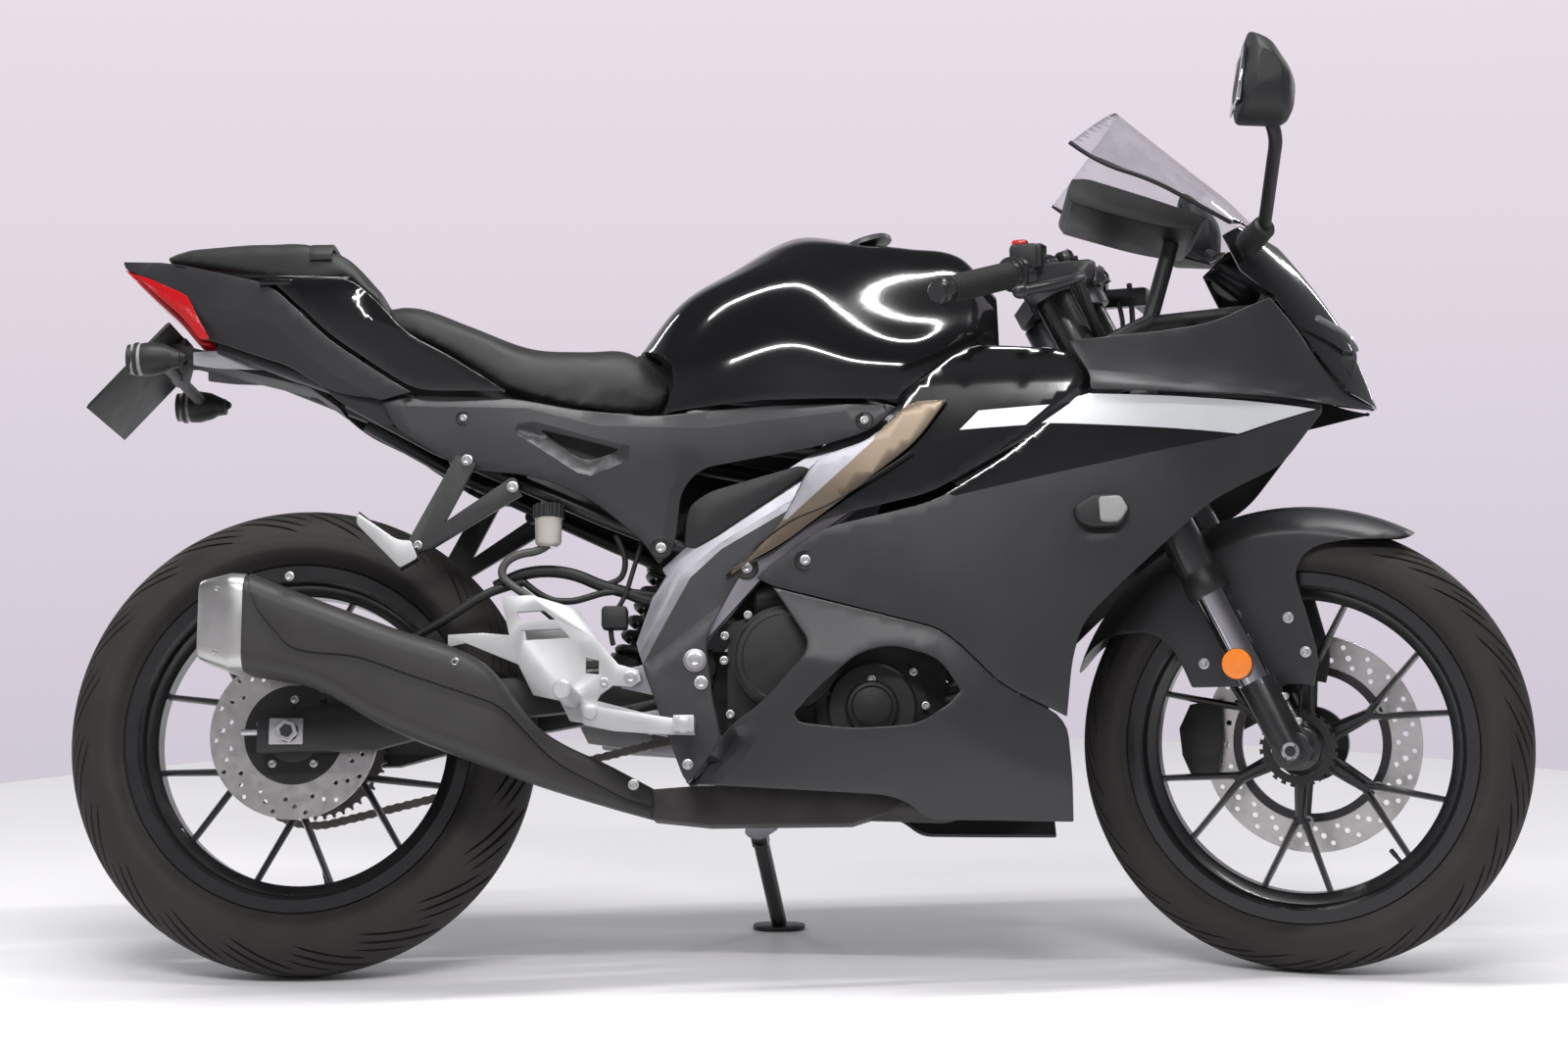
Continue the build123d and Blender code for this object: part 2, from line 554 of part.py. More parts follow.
# front caliper: block that straddles the disc behind the left leg, on two lugs of the leg
with BuildPart() as front_caliper:
    prism([(1208, 356), (1166, 350), (1150, 318), (1153, 282), (1166, 250), (1200, 254), (1208, 300)],
          FRONT_DISC_Y - 20, FRONT_DISC_Y + 34)
    prism([(1200, 350), (1280, 372), (1286, 340), (1205, 300)], FRONT_DISC_Y + CARRIER_T + 6, FRONT_DISC_Y + 22)
    drum(FRONT_AXLE[0], FRONT_AXLE[2], FRONT_DISC_Y - DISC_T / 2 - 1.5, FRONT_DISC_Y + DISC_T / 2 + 1.5,
         FRONT_DISC_R + CLEAR, Mode.SUBTRACT)
    with BuildSketch(fork_plane(-20, FORK_OFFSET, FORK_HALF)):
        Circle(FORK_FOOT_R)
    extrude(amount=300, mode=Mode.SUBTRACT)
keep(front_caliper, "front_caliper", "steering")

# ================================================================== frame
SPAR_W = 26.0
PLATE_OUT = 126.0            # outer face of the pivot plates
EAR_DEPTH = 4.5
CROSS_X = 530.0              # lower cross tube
CROSS_Z = 262.0
HEAD_LOW = LOWER_CLAMP + CLAMP_T + 3
HEAD_HIGH = UPPER_CLAMP - 3
with BuildPart() as frame_part:
    with BuildSketch(fork_plane(HEAD_LOW)):
        Circle(HEAD_TUBE_R)
    extrude(amount=HEAD_HIGH - HEAD_LOW)
    for _, side in SIDES:
        # spar stations: (x, z centre, half width, height)
        for x, z, y, h in ((1030, 790, 22, 60), (900, 744, 90, 86), (740, 654, 120, 90),
                           (600, 560, 116, 96), (510, 470, 112, 110)):
            with BuildSketch(Plane(origin=(x, side * y, z), x_dir=(0, 1, 0), z_dir=(-0.86, 0, -0.5))):
                Rectangle(SPAR_W, h)
        loft(ruled=True)
        prism([(449, 420), (458, 389), (480, 326), (509, 249), (516, 240), (547, 256), (560, 290), (547, 350),
               (538, 425), (561, 469), (590, 545), (524, 548), (470, 480)], side * 102, side * PLATE_OUT)
        # ears behind the plate for the rider's foot bracket
        prism([(475, 396), (432, 386), (430, 362), (485, 350)], side * (PLATE_OUT - EAR_DEPTH), side * PLATE_OUT)
        prism([(505, 338), (454, 330), (452, 306), (505, 296)], side * (PLATE_OUT - EAR_DEPTH), side * PLATE_OUT)
    drum(CROSS_X, CROSS_Z, -106, 106, 14)
    drum(540, 520, -106, 106, 16)
    for _, side in SIDES:
        drum(PIVOT_X, PIVOT_Z, side * (PIVOT_IN_Y + SWINGARM_W + 1), side * 136, 15)
    with BuildSketch(fork_plane(LOWER_CLAMP - 20)):
        Circle(STEM_R + RUN_FIT)
    extrude(amount=UPPER_CLAMP + 60 - LOWER_CLAMP, mode=Mode.SUBTRACT)
    # clevis of the side stand: two ears joined by a web, on a leg from the lower cross tube
    pivot = Vector(*STAND_PIVOT)
    away = (STAND_DOWN + STAND_BACK).normalized() * -1
    inner_face = KNUCKLE_T / 2 + EAR_GAP
    for start in (-inner_face - EAR_T, inner_face):
        with BuildSketch(Plane(origin=pivot + STAND_AXIS * start, x_dir=away, z_dir=STAND_AXIS)):
            Circle(KNUCKLE_R)
            with Locations((WEB_OUT / 2, 0)):
                Rectangle(WEB_OUT, 2 * KNUCKLE_R)
        extrude(amount=EAR_T)
    with BuildSketch(Plane(origin=pivot - STAND_AXIS * (inner_face + EAR_T), x_dir=away, z_dir=STAND_AXIS)):
        with Locations(((WEB_IN + WEB_OUT) / 2, 0)):
            Rectangle(WEB_OUT - WEB_IN, 2 * KNUCKLE_R)
    extrude(amount=2 * (inner_face + EAR_T))
    rod((CROSS_X, 104, CROSS_Z), pivot + STAND_AXIS * (inner_face + EAR_T + 3), 7)
    rod(pivot - STAND_AXIS * 12, pivot + STAND_AXIS * 12, STAND_PIN_R)
keep(frame_part, "main_frame")

# subframe: an upper and a lower tube on each side with cross tubes
with BuildPart() as subframe:
    for _, side in SIDES:
        tube([(690, side * 118, 672), (470, side * 84, 706), (150, side * 76, 736), (-120, side * 46, 842)],
             [80, 80], 12)
        tube([(530, side * 114, 536), (400, side * 100, 590), (180, side * 84, 690), (60, side * 72, 757)],
             [60, 60], 10)
        # seat rail
        prism([(380, 714), (440, 710), (440, 731.8), (380, 734.3)], side * 68, side * 92)
    for x, z, y in ((150, 738, 76), (470, 706, 84), (-92, 838, 48)):
        drum(x, z, -y, y, 9)
    add(frame_part.part, mode=Mode.SUBTRACT)
keep(subframe, "subframe")

# ================================================================== engine and radiator
ENGINE_HALF = 110.0
with BuildPart() as engine:
    prism([(640, 470), (640, 250), (660, 243), (815, 243), (845, 300), (850, 410), (800, 470)],
          -ENGINE_HALF, ENGINE_HALF)
    prism([(566, 446), (566, 300), (590, 252), (642, 243), (642, 470)], -ENGINE_HALF, 66)
    prism([(700, 450), (845, 400), (925, 590), (860, 640), (790, 660)], -78, 78)
    drum(642, 398, -ENGINE_HALF - 28, -ENGINE_HALF + 2, 68)
    drum(752, 334, -ENGINE_HALF - 12, -ENGINE_HALF + 2, 72)
    drum(752, 334, -ENGINE_HALF - 24, -ENGINE_HALF, 34)
    drum(752, 334, ENGINE_HALF - 2, ENGINE_HALF + 14, 80)
    drum(FRONT_SPROCKET_X, FRONT_SPROCKET_Z, 60, CHAIN_Y + 4, FRONT_SPROCKET_R * 0.6)
    drum(FRONT_SPROCKET_X, FRONT_SPROCKET_Z, CHAIN_Y - 4, CHAIN_Y + 4, FRONT_SPROCKET_R)
keep(engine, "engine")

with BuildPart() as radiator:
    prism([(960, 640), (984, 640), (1004, 436), (980, 436)], -125, 125)
    for _, side in SIDES:
        rod((900, side * 64, 578), (972, side * 64, 578), 7)
    add(engine.part, mode=Mode.SUBTRACT)
keep(radiator, "radiator")

# ================================================================== exhaust
with BuildPart() as collector:
    prism([(468, 236), (468, 198), (542, 190), (726, 191), (775, 206), (800, 222), (780, 238), (524, 240)],
          -78, -4)
    tube([(745, -30, 216), (862, -30, 212), (925, -30, 290), (934.5, -30, 497.5), (893.4, -30, 514.8)],
         [45, 60, 24], 19)
keep(collector, "exhaust_collector")

# silencer stations: x, middle y, middle z, half width, half height
SILENCER = ((467.7, -58, 216, 20, 18), (420, -98, 233, 26, 24), (330, -148, 268, 34, 34),
            (262, -172, 320, 44, 62), (138, -182, 368, 47, 62), (45, -187, 411, 46, 54),
            (-40, -190, 437, 50, 62))


def silencer_body(grow, mode=Mode.ADD):
    slices = []
    for x, y, z, a, b in SILENCER:
        with BuildSketch(Plane.YZ.offset(x)) as station:
            with Locations((y, z)):
                RectangleRounded(2 * (a + grow), 2 * (b + grow), min(a, b) * 0.55 + grow)
        slices.append(station.sketch)
    loft(slices, ruled=True, mode=mode)


with BuildPart() as silencer:
    silencer_body(0)
keep(silencer, "silencer")

with BuildPart() as end_cap:
    for x, grow in ((-40.3, 1), (-60, 1), (-98, -12)):
        with BuildSketch(Plane.YZ.offset(x)):
            with Locations((-190, 437 if x > -70 else 441)):
                RectangleRounded(2 * (50 + grow), 2 * (62 + grow), 28)
    loft(ruled=True)
    drum_axis = (-130, -190, 440)
    rod(drum_axis, (-80, -190, 440), 17, Mode.SUBTRACT)
keep(end_cap, "silencer_end_cap")

GUARD_SHAPE = [(-36, 520), (138, 470), (300, 420), (400, 330), (482, 260), (474, 213), (440, 219), (350, 262),
               (285, 331), (246, 344), (163, 371), (105, 393), (53, 396), (22, 402), (-28, 460)]
with BuildPart() as guard:
    silencer_body(4.0)
    silencer_body(0.4, Mode.SUBTRACT)
    trim(GUARD_SHAPE)
    # only the outer side and the crown: plan outline outboard of the silencer's middle
    with BuildSketch(Plane.XY):
        with BuildLine():
            Polyline((500, -60), (420, -96), (330, -146), (262, -168), (130, -180), (-60, -188), (-60, -300),
                     (500, -300), close=True)
        make_face()
    extrude(amount=700, mode=Mode.INTERSECT)
keep(guard, "silencer_guard")

# ================================================================== tank and seats
# stations: x, then the right half profile (half width, height) from the top centre to the bottom
TANK = (
    (440, ((0, 822), (40, 816), (72, 792), (98, 756), (104, 722))),
    (500, ((0, 903), (58, 888), (94, 862), (122, 800), (130, 722))),
    (570, ((0, 951), (62, 930), (112, 897), (140, 812), (147, 731))),
    (655, ((0, 997), (61, 968), (119, 912), (151, 822), (153, 734))),
    (740, ((0, 990), (62, 962), (122, 862), (150, 800), (153, 733))),
    (810, ((0, 979), (64, 956), (118, 850), (146, 796), (148, 733))),
    (880, ((0, 962), (66, 944), (106, 862), (124, 812), (126, 733))),
    (926, ((0, 902), (60, 894), (88, 848), (100, 812), (102, 733))),
)
TANK_SHAPE = [(446, 828), (440, 1100), (950, 1100), (930, 806), (908, 803), (877, 806), (797, 746), (789, 735),
              (701, 736), (616, 735), (484, 725), (496, 762), (494, 790), (474, 811)]
with BuildPart() as tank:
    symmetric_loft([(x, list(half) + [(0, half[-1][1])]) for x, half in TANK])
    trim(TANK_SHAPE)
    for _, side in SIDES:
        prism([(770, 745), (815, 768), (815, 730), (770, 715)], side * 92, side * 112)
    add(frame_part.part, mode=Mode.SUBTRACT)
keep(tank, "fuel_tank")

RIDER_SEAT = (
    (108, ((0, 893), (60, 892), (90, 882), (98, 862), (98, 842))),
    (160, ((0, 883), (70, 882), (102, 870), (114, 845), (114, 822))),
    (224, ((0, 856), (80, 855), (114, 842), (122, 815), (122, 785))),
    (303, ((0, 826), (76, 826), (106, 812), (116, 785), (116, 752))),
    (371, ((0, 825), (66, 824), (92, 806), (104, 775), (104, 737))),
    (430, ((0, 829), (54, 826), (80, 806), (92, 770), (92, 733))),
    (489, ((0, 797), (44, 791), (66, 780), (78, 765), (78, 742))),
)
SEAT_SHAPE = [(105, 840), (105, 900), (160, 900), (300, 840), (430, 840), (444, 825), (466, 808), (487, 788),
              (489, 766), (477, 735), (466, 731), (371, 735), (300, 752), (278, 758.5), (195, 813), (145, 838)]
with BuildPart() as rider_seat:
    symmetric_loft([(x, list(half) + [(0, half[-1][1])]) for x, half in RIDER_SEAT], ruled=True)
    trim(SEAT_SHAPE)
keep(rider_seat, "rider_seat")

PASSENGER_SEAT = (
    (-205, ((0, 972), (34, 970), (44, 966), (44, 959))),
    (-165, ((0, 980), (44, 978), (58, 966), (58, 951))),
    (-15, ((0, 979), (70, 977), (86, 962), (86, 920.4))),
    (28, ((0, 967), (74, 965), (90, 950), (90, 920.4))),
    (58, ((0, 952), (76, 950), (92, 935), (92, 920.4))),
    (104, ((0, 903), (78, 901), (94, 888), (94, 874))),
)
with BuildPart() as passenger_seat:
    symmetric_loft([(x, list(half) + [(0, half[-1][1])]) for x, half in PASSENGER_SEAT], ruled=True)
keep(passenger_seat, "passenger_seat")

# ================================================================== tail
# plan lines of the tail at several heights: (x, half width)
TAIL_X = (330, 200, 100, 0, -100, -190, -262)
TAIL_LEVELS = (
    (690, (121, 115, 105, 92, 78, 64, 54)),
    (780, (124, 120, 112, 98, 84, 68, 58)),
    (860, (122, 121, 115, 105, 88, 68, 56)),
    (920, (116, 115, 110, 101, 84, 62, 50)),
    (985, (106, 104, 98, 88, 72, 52, 40)),
)


def tail_levels(inset=0.0):
    return [(z, [(x, w - inset) for x, w in zip(TAIL_X[::-1], row[::-1])]) for z, row in TAIL_LEVELS]


TAIL_SHAPE = [(-255, 959), (-190, 956), (-120, 935), (-47, 914), (37, 833), (104, 787), (149, 758.5), (108, 748.5),
              (98, 752), (56, 759), (16, 779), (-18, 802), (-128, 843), (-144, 848), (-160, 880), (-192, 900),
              (-210, 930), (-253, 953)]
with BuildPart() as tail_cowl:
    for _, side in SIDES:
        skin(tail_levels(), PANEL_WALL, [(400, 600), (400, 1000), (-300, 1000), (-300, 600)], side)
    trim(TAIL_SHAPE)
    prism([(-254, 958), (-190, 955), (-176, 936), (-192, 900), (-211.5, 927), (-251, 948)], -56, 56)
    for _, side in SIDES:
        drum(68, 766, side * 70, side * 103, 7)
    add(subframe.part, mode=Mode.SUBTRACT)
keep(tail_cowl, "tail_cowl")

TAIL_GLOSS_SHAPE = [(-45, 919), (60, 919), (100, 886), (141, 838), (191, 812), (276, 757), (156, 760), (108, 791),
                    (40, 838)]
with BuildPart() as tail_gloss:
    for _, side in SIDES:
        skin(tail_levels(), PANEL_WALL, [(400, 600), (400, 1000), (-300, 1000), (-300, 600)], side)
    trim(TAIL_GLOSS_SHAPE)
    prism([(0, 920), (58, 920), (58, 913), (0, 913)], -104, 104)
keep(tail_gloss, "tail_side_panels")

with BuildPart() as tail_light:
    prism([(-252, 947), (-212, 926), (-194, 897), (-163, 878), (-146, 846), (-132, 842), (-150, 842),
           (-174, 874), (-200, 896)], -50, 50)
keep(tail_light, "tail_light")

# plate holder on its arm, with a stem through both indicators
PLATE_LOW = (-286, 746)
PLATE_HIGH = (-180, 862)
PLATE_HALF = 97.0
with BuildPart() as plate_holder:
    prism([PLATE_LOW, PLATE_HIGH, (PLATE_HIGH[0] + 2.3, PLATE_HIGH[1] - 2.1),
           (PLATE_LOW[0] + 2.3, PLATE_LOW[1] - 2.1)], -PLATE_HALF, PLATE_HALF)
    prism([(-190, 850), (-160, 842), (-130, 834), (-100, 824.8), (-2, 796), (40, 764), (40, 756), (-2, 786), (-130, 818),
           (-168, 828), (-205, 828)], -34, 34)
    drum(-186, 806, -150, 150, 8)
    prism([(-190, 835), (-170, 835), (-178, 800), (-194, 800)], -20, 20)
    prism([(-46, 802), (-46, 812), (-14, 800), (-14, 790)], -56, 56)
    add(subframe.part, mode=Mode.SUBTRACT)
    for _, side in SIDES:
        for x, r in ((-220, 20), (-152, 11)):
            with BuildSketch(Plane.YZ.offset(x)):
                with Locations((side * 138, 800)):
                    Ellipse(r * 1.1, r)
        loft()
keep(plate_holder, "plate_holder")

# ================================================================== side covers
COVER_X = (60, 200, 330, 470, 620, 820)
COVER_LEVELS = (
    (500, (104, 114, 128, 134, 136, 136)),
    (600, (104, 114, 130, 138, 142, 144)),
    (680, (106, 116, 130, 142, 150, 154)),
    (770, (104, 114, 124, 138, 150, 156)),
)
COVER_SHAPE = [(109.5, 746.5), (154, 756), (281, 749), (320, 741), (371, 730), (468, 718), (616, 729), (769, 730),
               (788, 723), (755, 692), (688, 673), (531, 646), (507, 618), (499, 545), (478, 522), (455, 555),
               (388, 610), (320, 640), (217, 654), (130, 710)]


def levels_of(xs, rows):
    return [(z, list(zip(xs, row))) for z, row in rows]


for side_name, side in SIDES:
    with BuildPart() as cover:
        skin(levels_of(COVER_X, COVER_LEVELS), PANEL_WALL, COVER_SHAPE, side)
        prism([(322, 703), (424, 674), (381, 659)], side * 100, side * 160, Mode.SUBTRACT)
        drum(440, 700, side * 80, side * 139, 8)
        add(subframe.part, mode=Mode.SUBTRACT)
    keep(cover, f"side_cover_{side_name}")

# ================================================================== side fairings
FAIRING_X = (500, 620, 760, 900, 1040, 1180, 1300, 1445)
FAIRING_LEVELS = (
    (165, (132, 124, 116, 116, 102, 88, 76, 60)),
    (250, (138, 144, 150, 156, 142, 116, 96, 70)),
    (350, (138, 152, 170, 182, 174, 146, 118, 84)),
    (480, (138, 154, 176, 194, 194, 170, 136, 92)),
    (600, (138, 152, 174, 194, 200, 184, 148, 84)),
    (690, (136, 150, 168, 190, 197, 180, 134, 46)),
    (760, (134, 146, 162, 184, 190, 168, 116, 18)),
)
SEAM_LINE = ((605, 500), (626, 489), (837, 429), (866, 406), (915, 356), (998, 316))
FAIRING_SHAPE = [SEAM_LINE[0], (618, 512), (687, 562), (766, 578), (833, 592), (921, 646), (1019, 727), (1034, 731),
                 (1184, 729), (1350, 736), (1350, 726), (1285, 643), (1188, 591), (1124, 534), (1066, 481),
                 (1020, 436), (1005, 388)] + list(SEAM_LINE[:0:-1])
LOWER_SHAPE = [(x, z - SEAM) for x, z in SEAM_LINE[1:]] + [(1004, 239), (1006, 186), (822, 189), (797, 210),
               (768, 220), (592, 231), (517, 236), (571, 309), (613, 338), (668, 400), (670, 417)]
LENS = [(653, 323), (681, 353), (736, 399), (778, 408), (837, 390), (863, 348), (848, 331), (810, 306),
        (726, 302), (659, 311)]
INNER_SHAPE = [(799, 744), (881, 803), (1006, 794), (1030, 760), (1028, 748), (921, 661), (833, 607), (766, 593),
               (687, 577), (620, 530), (596, 523), (640, 578), (679, 657), (754, 681), (792, 716)]
FIN_SHAPE = [(804, 729), (853, 728), (812, 673), (723, 606), (639, 545), (562, 505), (590, 523), (639, 577),
             (679, 656), (754, 679)]


def inset(rows, depth):
    return [(z, [w - depth for w in row]) for z, row in rows]


for side_name, side in SIDES:
    with BuildPart() as fairing:
        skin(levels_of(FAIRING_X, FAIRING_LEVELS), PANEL_WALL, FAIRING_SHAPE, side)
        drum(1046, 572, side * 190, side * 224, 17)
        drum(742, 505, side * 70, side * 172, 8)
        add(engine.part, mode=Mode.SUBTRACT)
    keep(fairing, f"side_fairing_{side_name}")
    with BuildPart() as lower:
        skin(levels_of(FAIRING_X, FAIRING_LEVELS), PANEL_WALL, LOWER_SHAPE, side)
        prism(LENS, side * 90, side * 230, Mode.SUBTRACT)
        drum(740, 262, side * 104, side * 147, 8)
        add(engine.part, mode=Mode.SUBTRACT)
    keep(lower, f"lower_cowl_{side_name}")
    with BuildPart() as inner:
        skin(levels_of(FAIRING_X, inset(FAIRING_LEVELS, 14)), PANEL_WALL, INNER_SHAPE, side)
        drum(748, 640, side * 124, side * 152, 8)
        add(frame_part.part, mode=Mode.SUBTRACT)
    keep(inner, f"inner_panel_{side_name}")
    with BuildPart() as fin:
        skin(levels_of(FAIRING_X, inset(FAIRING_LEVELS, 6)), PANEL_WALL, FIN_SHAPE, side)
        drum(757, 668, side * 153.1, side * 161, 8)
        add(inner.part, mode=Mode.SUBTRACT)
    keep(fin, f"frame_fin_{side_name}")

# ================================================================== front cowl, nose and screen
COWL_X = (990, 1100, 1210, 1300, 1370, 1410, 1442)
COWL_LEVELS = (
    (725, (197, 192, 168, 128, 78, 42, 14)),
    (770, (190, 182, 158, 116, 64, 30, 8)),
    (830, (178, 166, 140, 102, 48, 18, 4)),
    (900, (166, 150, 124, 84, 30, 8, 2)),
)
COWL_SHAPE = [(1012, 804), (1131, 821), (1200, 836), (1286, 882), (1320, 846), (1358, 796), (1390, 764), (1436, 746),
              (1354, 739), (1184, 732), (1036, 734), (1036, 759), (1014, 796)]
cowls = []
for side_name, side in SIDES:
    with BuildPart() as cowl:
        skin(levels_of(COWL_X, COWL_LEVELS), PANEL_WALL, COWL_SHAPE, side)
    keep(cowl, f"front_cowl_{side_name}")
    cowls.append(cowl)


def across(half):
    """Whole plan line from its left half, (x, half width) from the side to the middle."""
    return list(half) + [(x, -w) for x, w in half[-2::-1]]


# nose: heights, then the right half of the plan line (x, half width) from the side to the middle
NOSE_LEVELS = (
    (740, ((1290, 122), (1370, 76), (1425, 28), (1444, 0))),
    (790, ((1285, 112), (1350, 72), (1408, 26), (1428, 0))),
    (850, ((1270, 106), (1330, 70), (1384, 26), (1404, 0))),
    (900, ((1240, 112), (1300, 76), (1354, 28), (1374, 0))),
    (950, ((1206, 120), (1262, 84), (1316, 32), (1338, 0))),
    (1010, ((1160, 126), (1216, 90), (1268, 34), (1288, 0))),
)
NOSE_SHAPE = [(1294, 889), (1325, 850), (1362, 799), (1395, 764), (1438, 750), (1460, 750), (1460, 975),
              (1310, 975), (1256, 990), (1226, 966), (1248, 918)]
with BuildPart() as nose:
    skin([(z, across(half)) for z, half in NOSE_LEVELS], PANEL_WALL, NOSE_SHAPE, 1)
keep(nose, "nose_panel")

# windscreen: deep curved bubble over the instruments
SCREEN_WALL = 3.0
SCREEN_LEVELS = (
    (950, ((1244, 116), (1284, 82), (1314, 42), (1326, 0))),
    (1030, ((1128, 138), (1188, 104), (1238, 54), (1258, 0))),
    (1083, ((1018, 142), (1102, 106), (1172, 54), (1199, 0))),
    (1180, ((880, 132), (978, 92), (1056, 46), (1090, 0))),
)
SCREEN_SHAPE = [(1023, 1085), (1058, 1055), (1130, 1034), (1191, 1004), (1238, 985), (1256, 990.8),
                (1310, 975.8), (1345, 975.8), (1310, 1060), (1120, 1180), (1103, 1172)]
with BuildPart() as screen:
    skin([(z, across(half)) for z, half in SCREEN_LEVELS], SCREEN_WALL, SCREEN_SHAPE, 1)
keep(screen, "windscreen")

# instrument panel on the stay that carries the cowl from the head tube
STAY_S = (HEAD_LOW + HEAD_HIGH) / 2
with BuildPart() as dash:
    prism([(1031, 1056), (1024, 1035), (1030, 1022), (1126, 994), (1192, 981), (1208, 1000), (1133, 1026),
           (1050, 1054)], -72, 72)
    rod(steer_point(STAY_S, HEAD_TUBE_R + 0.3), steer_point(STAY_S, 135), 13)
    x, _, z = steer_point(STAY_S, 128)
    rod((x, 0, z), (1172, 0, 990), 11)
    rod((x, 0, z), (1290, 0, 888), 11)
    rod((1286, -70, 890), (1286, 70, 890), 7)
    for _, side in SIDES:
        rod((1286, side * 66, 890), (1309.5, side * 66, 890), 5)
        rod((1200, 0, 862), (1200, side * 140.5, 818), 7)
    for piece in cowls + [nose]:
        add(piece.part, mode=Mode.SUBTRACT)
keep(dash, "dash_and_stay")

# ================================================================== mirrors
MIRROR_SHAPE = ((1233, 1164), (1259, 1152), (1290, 1099), (1286, 1062), (1278, 1045), (1215, 1048), (1211, 1080),
                (1223, 1137))
MIRROR_SECTIONS = ((276, 0.45), (296, 0.92), (335, 1.0), (368, 0.72), (377, 0.4))   # half width, scale
MIRROR_MID = (1250, 1102)
for side_name, side in SIDES:
    with BuildPart() as mirror:
        for y, scale in MIRROR_SECTIONS:
            with BuildSketch(side_plane(side * y)):
                with BuildLine():
                    Polyline(*[(MIRROR_MID[0] + scale * (x - MIRROR_MID[0]),
                                MIRROR_MID[1] + scale * (z - MIRROR_MID[1])) for x, z in MIRROR_SHAPE], close=True)
                make_face()
        loft(ruled=True)
        rod((1274, side * 300, 1062), (1276, side * 134, 966), 10)
        rod((1278, side * 140, 966), (1250, side * 92, 946), 16)
        add(nose.part, mode=Mode.SUBTRACT)
    keep(mirror, f"mirror_{side_name}")

# ================================================================== foot controls
BRACKET_Y = 131.0
BRACKET_T = 8.0
BRACKET_SHAPE = [(275, 480), (314, 482), (356, 469), (377, 460), (399, 423), (427, 391), (452, 384), (456, 370),
                 (444, 362), (420, 364), (404, 352), (400, 344), (476, 324), (474, 312), (425, 310), (365, 319),
                 (352, 345), (318, 352), (298, 392), (230, 420), (207, 415), (207, 431), (251, 433), (286, 430),
                 (280, 455)]
for side_name, side in SIDES:
    with BuildPart() as bracket:
        prism(BRACKET_SHAPE, side * BRACKET_Y, side * (BRACKET_Y + BRACKET_T))
        prism([(296, 460), (330, 462), (345, 450), (300, 447)], side * 100, side * 200, Mode.SUBTRACT)
        prism([(302, 436), (352, 438), (365, 426), (306, 423)], side * 100, side * 200, Mode.SUBTRACT)
        prism([(385, 400), (402, 396), (402, 378), (385, 380)], side * 100, side * 200, Mode.SUBTRACT)
        rod((368, side * (BRACKET_Y + 4), 346), (362, side * 214, 350), 10)
        drum(443, 374, side * PLATE_OUT, side * (BRACKET_Y + 2), 9)
        drum(465, 318, side * PLATE_OUT, side * (BRACKET_Y + 2), 8)
        # foot lever: hub on the bracket, arm and toe pad
        drum(392, 328, side * (BRACKET_Y + 2), side * (BRACKET_Y + 26), 9)
        prism([(380, 338), (468, 324), (496, 320), (526, 320), (526, 298), (496, 299), (423, 304), (384, 312)],
              side * (BRACKET_Y + 14), side * (BRACKET_Y + 22))
        prism([(500, 320), (526, 320), (526, 299), (500, 300)], side * (BRACKET_Y + 20), side * (BRACKET_Y + 52))
    keep(bracket, f"peg_bracket_{side_name}")
    with BuildPart() as hanger:
        prism([(214, 668), (240, 656), (192, 562), (166, 540), (150, 548)], side * 132, side * 142)
        prism([(282, 634), (300, 614), (186, 545), (166, 538), (168, 556)], side * 132, side * 142)
        drum(228, 662, side * 120, side * 134, 8)
        drum(286, 630, side * 96, side * 134, 8)
        add(subframe.part, mode=Mode.SUBTRACT)
        prism([(92, 590), (88, 574), (146, 514), (170, 528), (160, 552), (140, 552)], side * 142, side * 160)
    keep(hanger, f"passenger_peg_{side_name}")

with BuildPart() as reservoir:
    with BuildSketch(Plane.XY.offset(548)):
        with Locations((333, -118)):
            Circle(17)
    extrude(amount=36)
    with BuildSketch(Plane.XY.offset(584)):
        with Locations((333, -118)):
            Circle(19)
    extrude(amount=20)
    rod((333, -118, 594), (346, -97, 616), 6)
    add(subframe.part, mode=Mode.SUBTRACT)
keep(reservoir, "brake_reservoir")

with BuildPart() as rear_caliper:
    prism([(34, 352), (96, 366), (100, 402), (48, 400)], REAR_DISC_Y - 17, REAR_DISC_Y + 20)
    prism([(46, 364), (92, 372), (96, 326), (44, 318)], REAR_DISC_Y - 10, -SWINGARM_IN_Y - 2)
    add(swingarm.part, mode=Mode.SUBTRACT)
    drum(REAR_AXLE[0], REAR_AXLE[2], REAR_DISC_Y - DISC_T / 2 - 1.5, REAR_DISC_Y + DISC_T / 2 + 1.5,
         REAR_DISC_R + CLEAR, Mode.SUBTRACT)
keep(rear_caliper, "rear_caliper")

# ================================================================== side stand
with BuildPart() as stand:
    pivot = Vector(*STAND_PIVOT)
    half = STAND_AXIS * (KNUCKLE_T / 2)
    rod(pivot - half, pivot + half, KNUCKLE_R)
    ankle = STAND_PAD + FLOOR_UP * (STAND_FOOT_T + 3)
    with BuildSketch(Plane(origin=pivot, x_dir=STAND_AXIS, z_dir=STAND_DOWN)):
        Rectangle(KNUCKLE_T, 2 * STAND_R)
    extrude(amount=STAND_TONGUE + 10)
    rod(pivot + STAND_DOWN * STAND_TONGUE, ankle, STAND_R)
    with BuildSketch(Plane(origin=STAND_PAD, x_dir=FLOOR_AHEAD, z_dir=FLOOR_UP)):
        SlotOverall(74, 46)
    extrude(amount=STAND_FOOT_T)
    rod(pivot - half * 3, pivot + half * 3, STAND_PIN_R + RUN_FIT, Mode.SUBTRACT)
keep(stand, "side_stand", "side_stand")

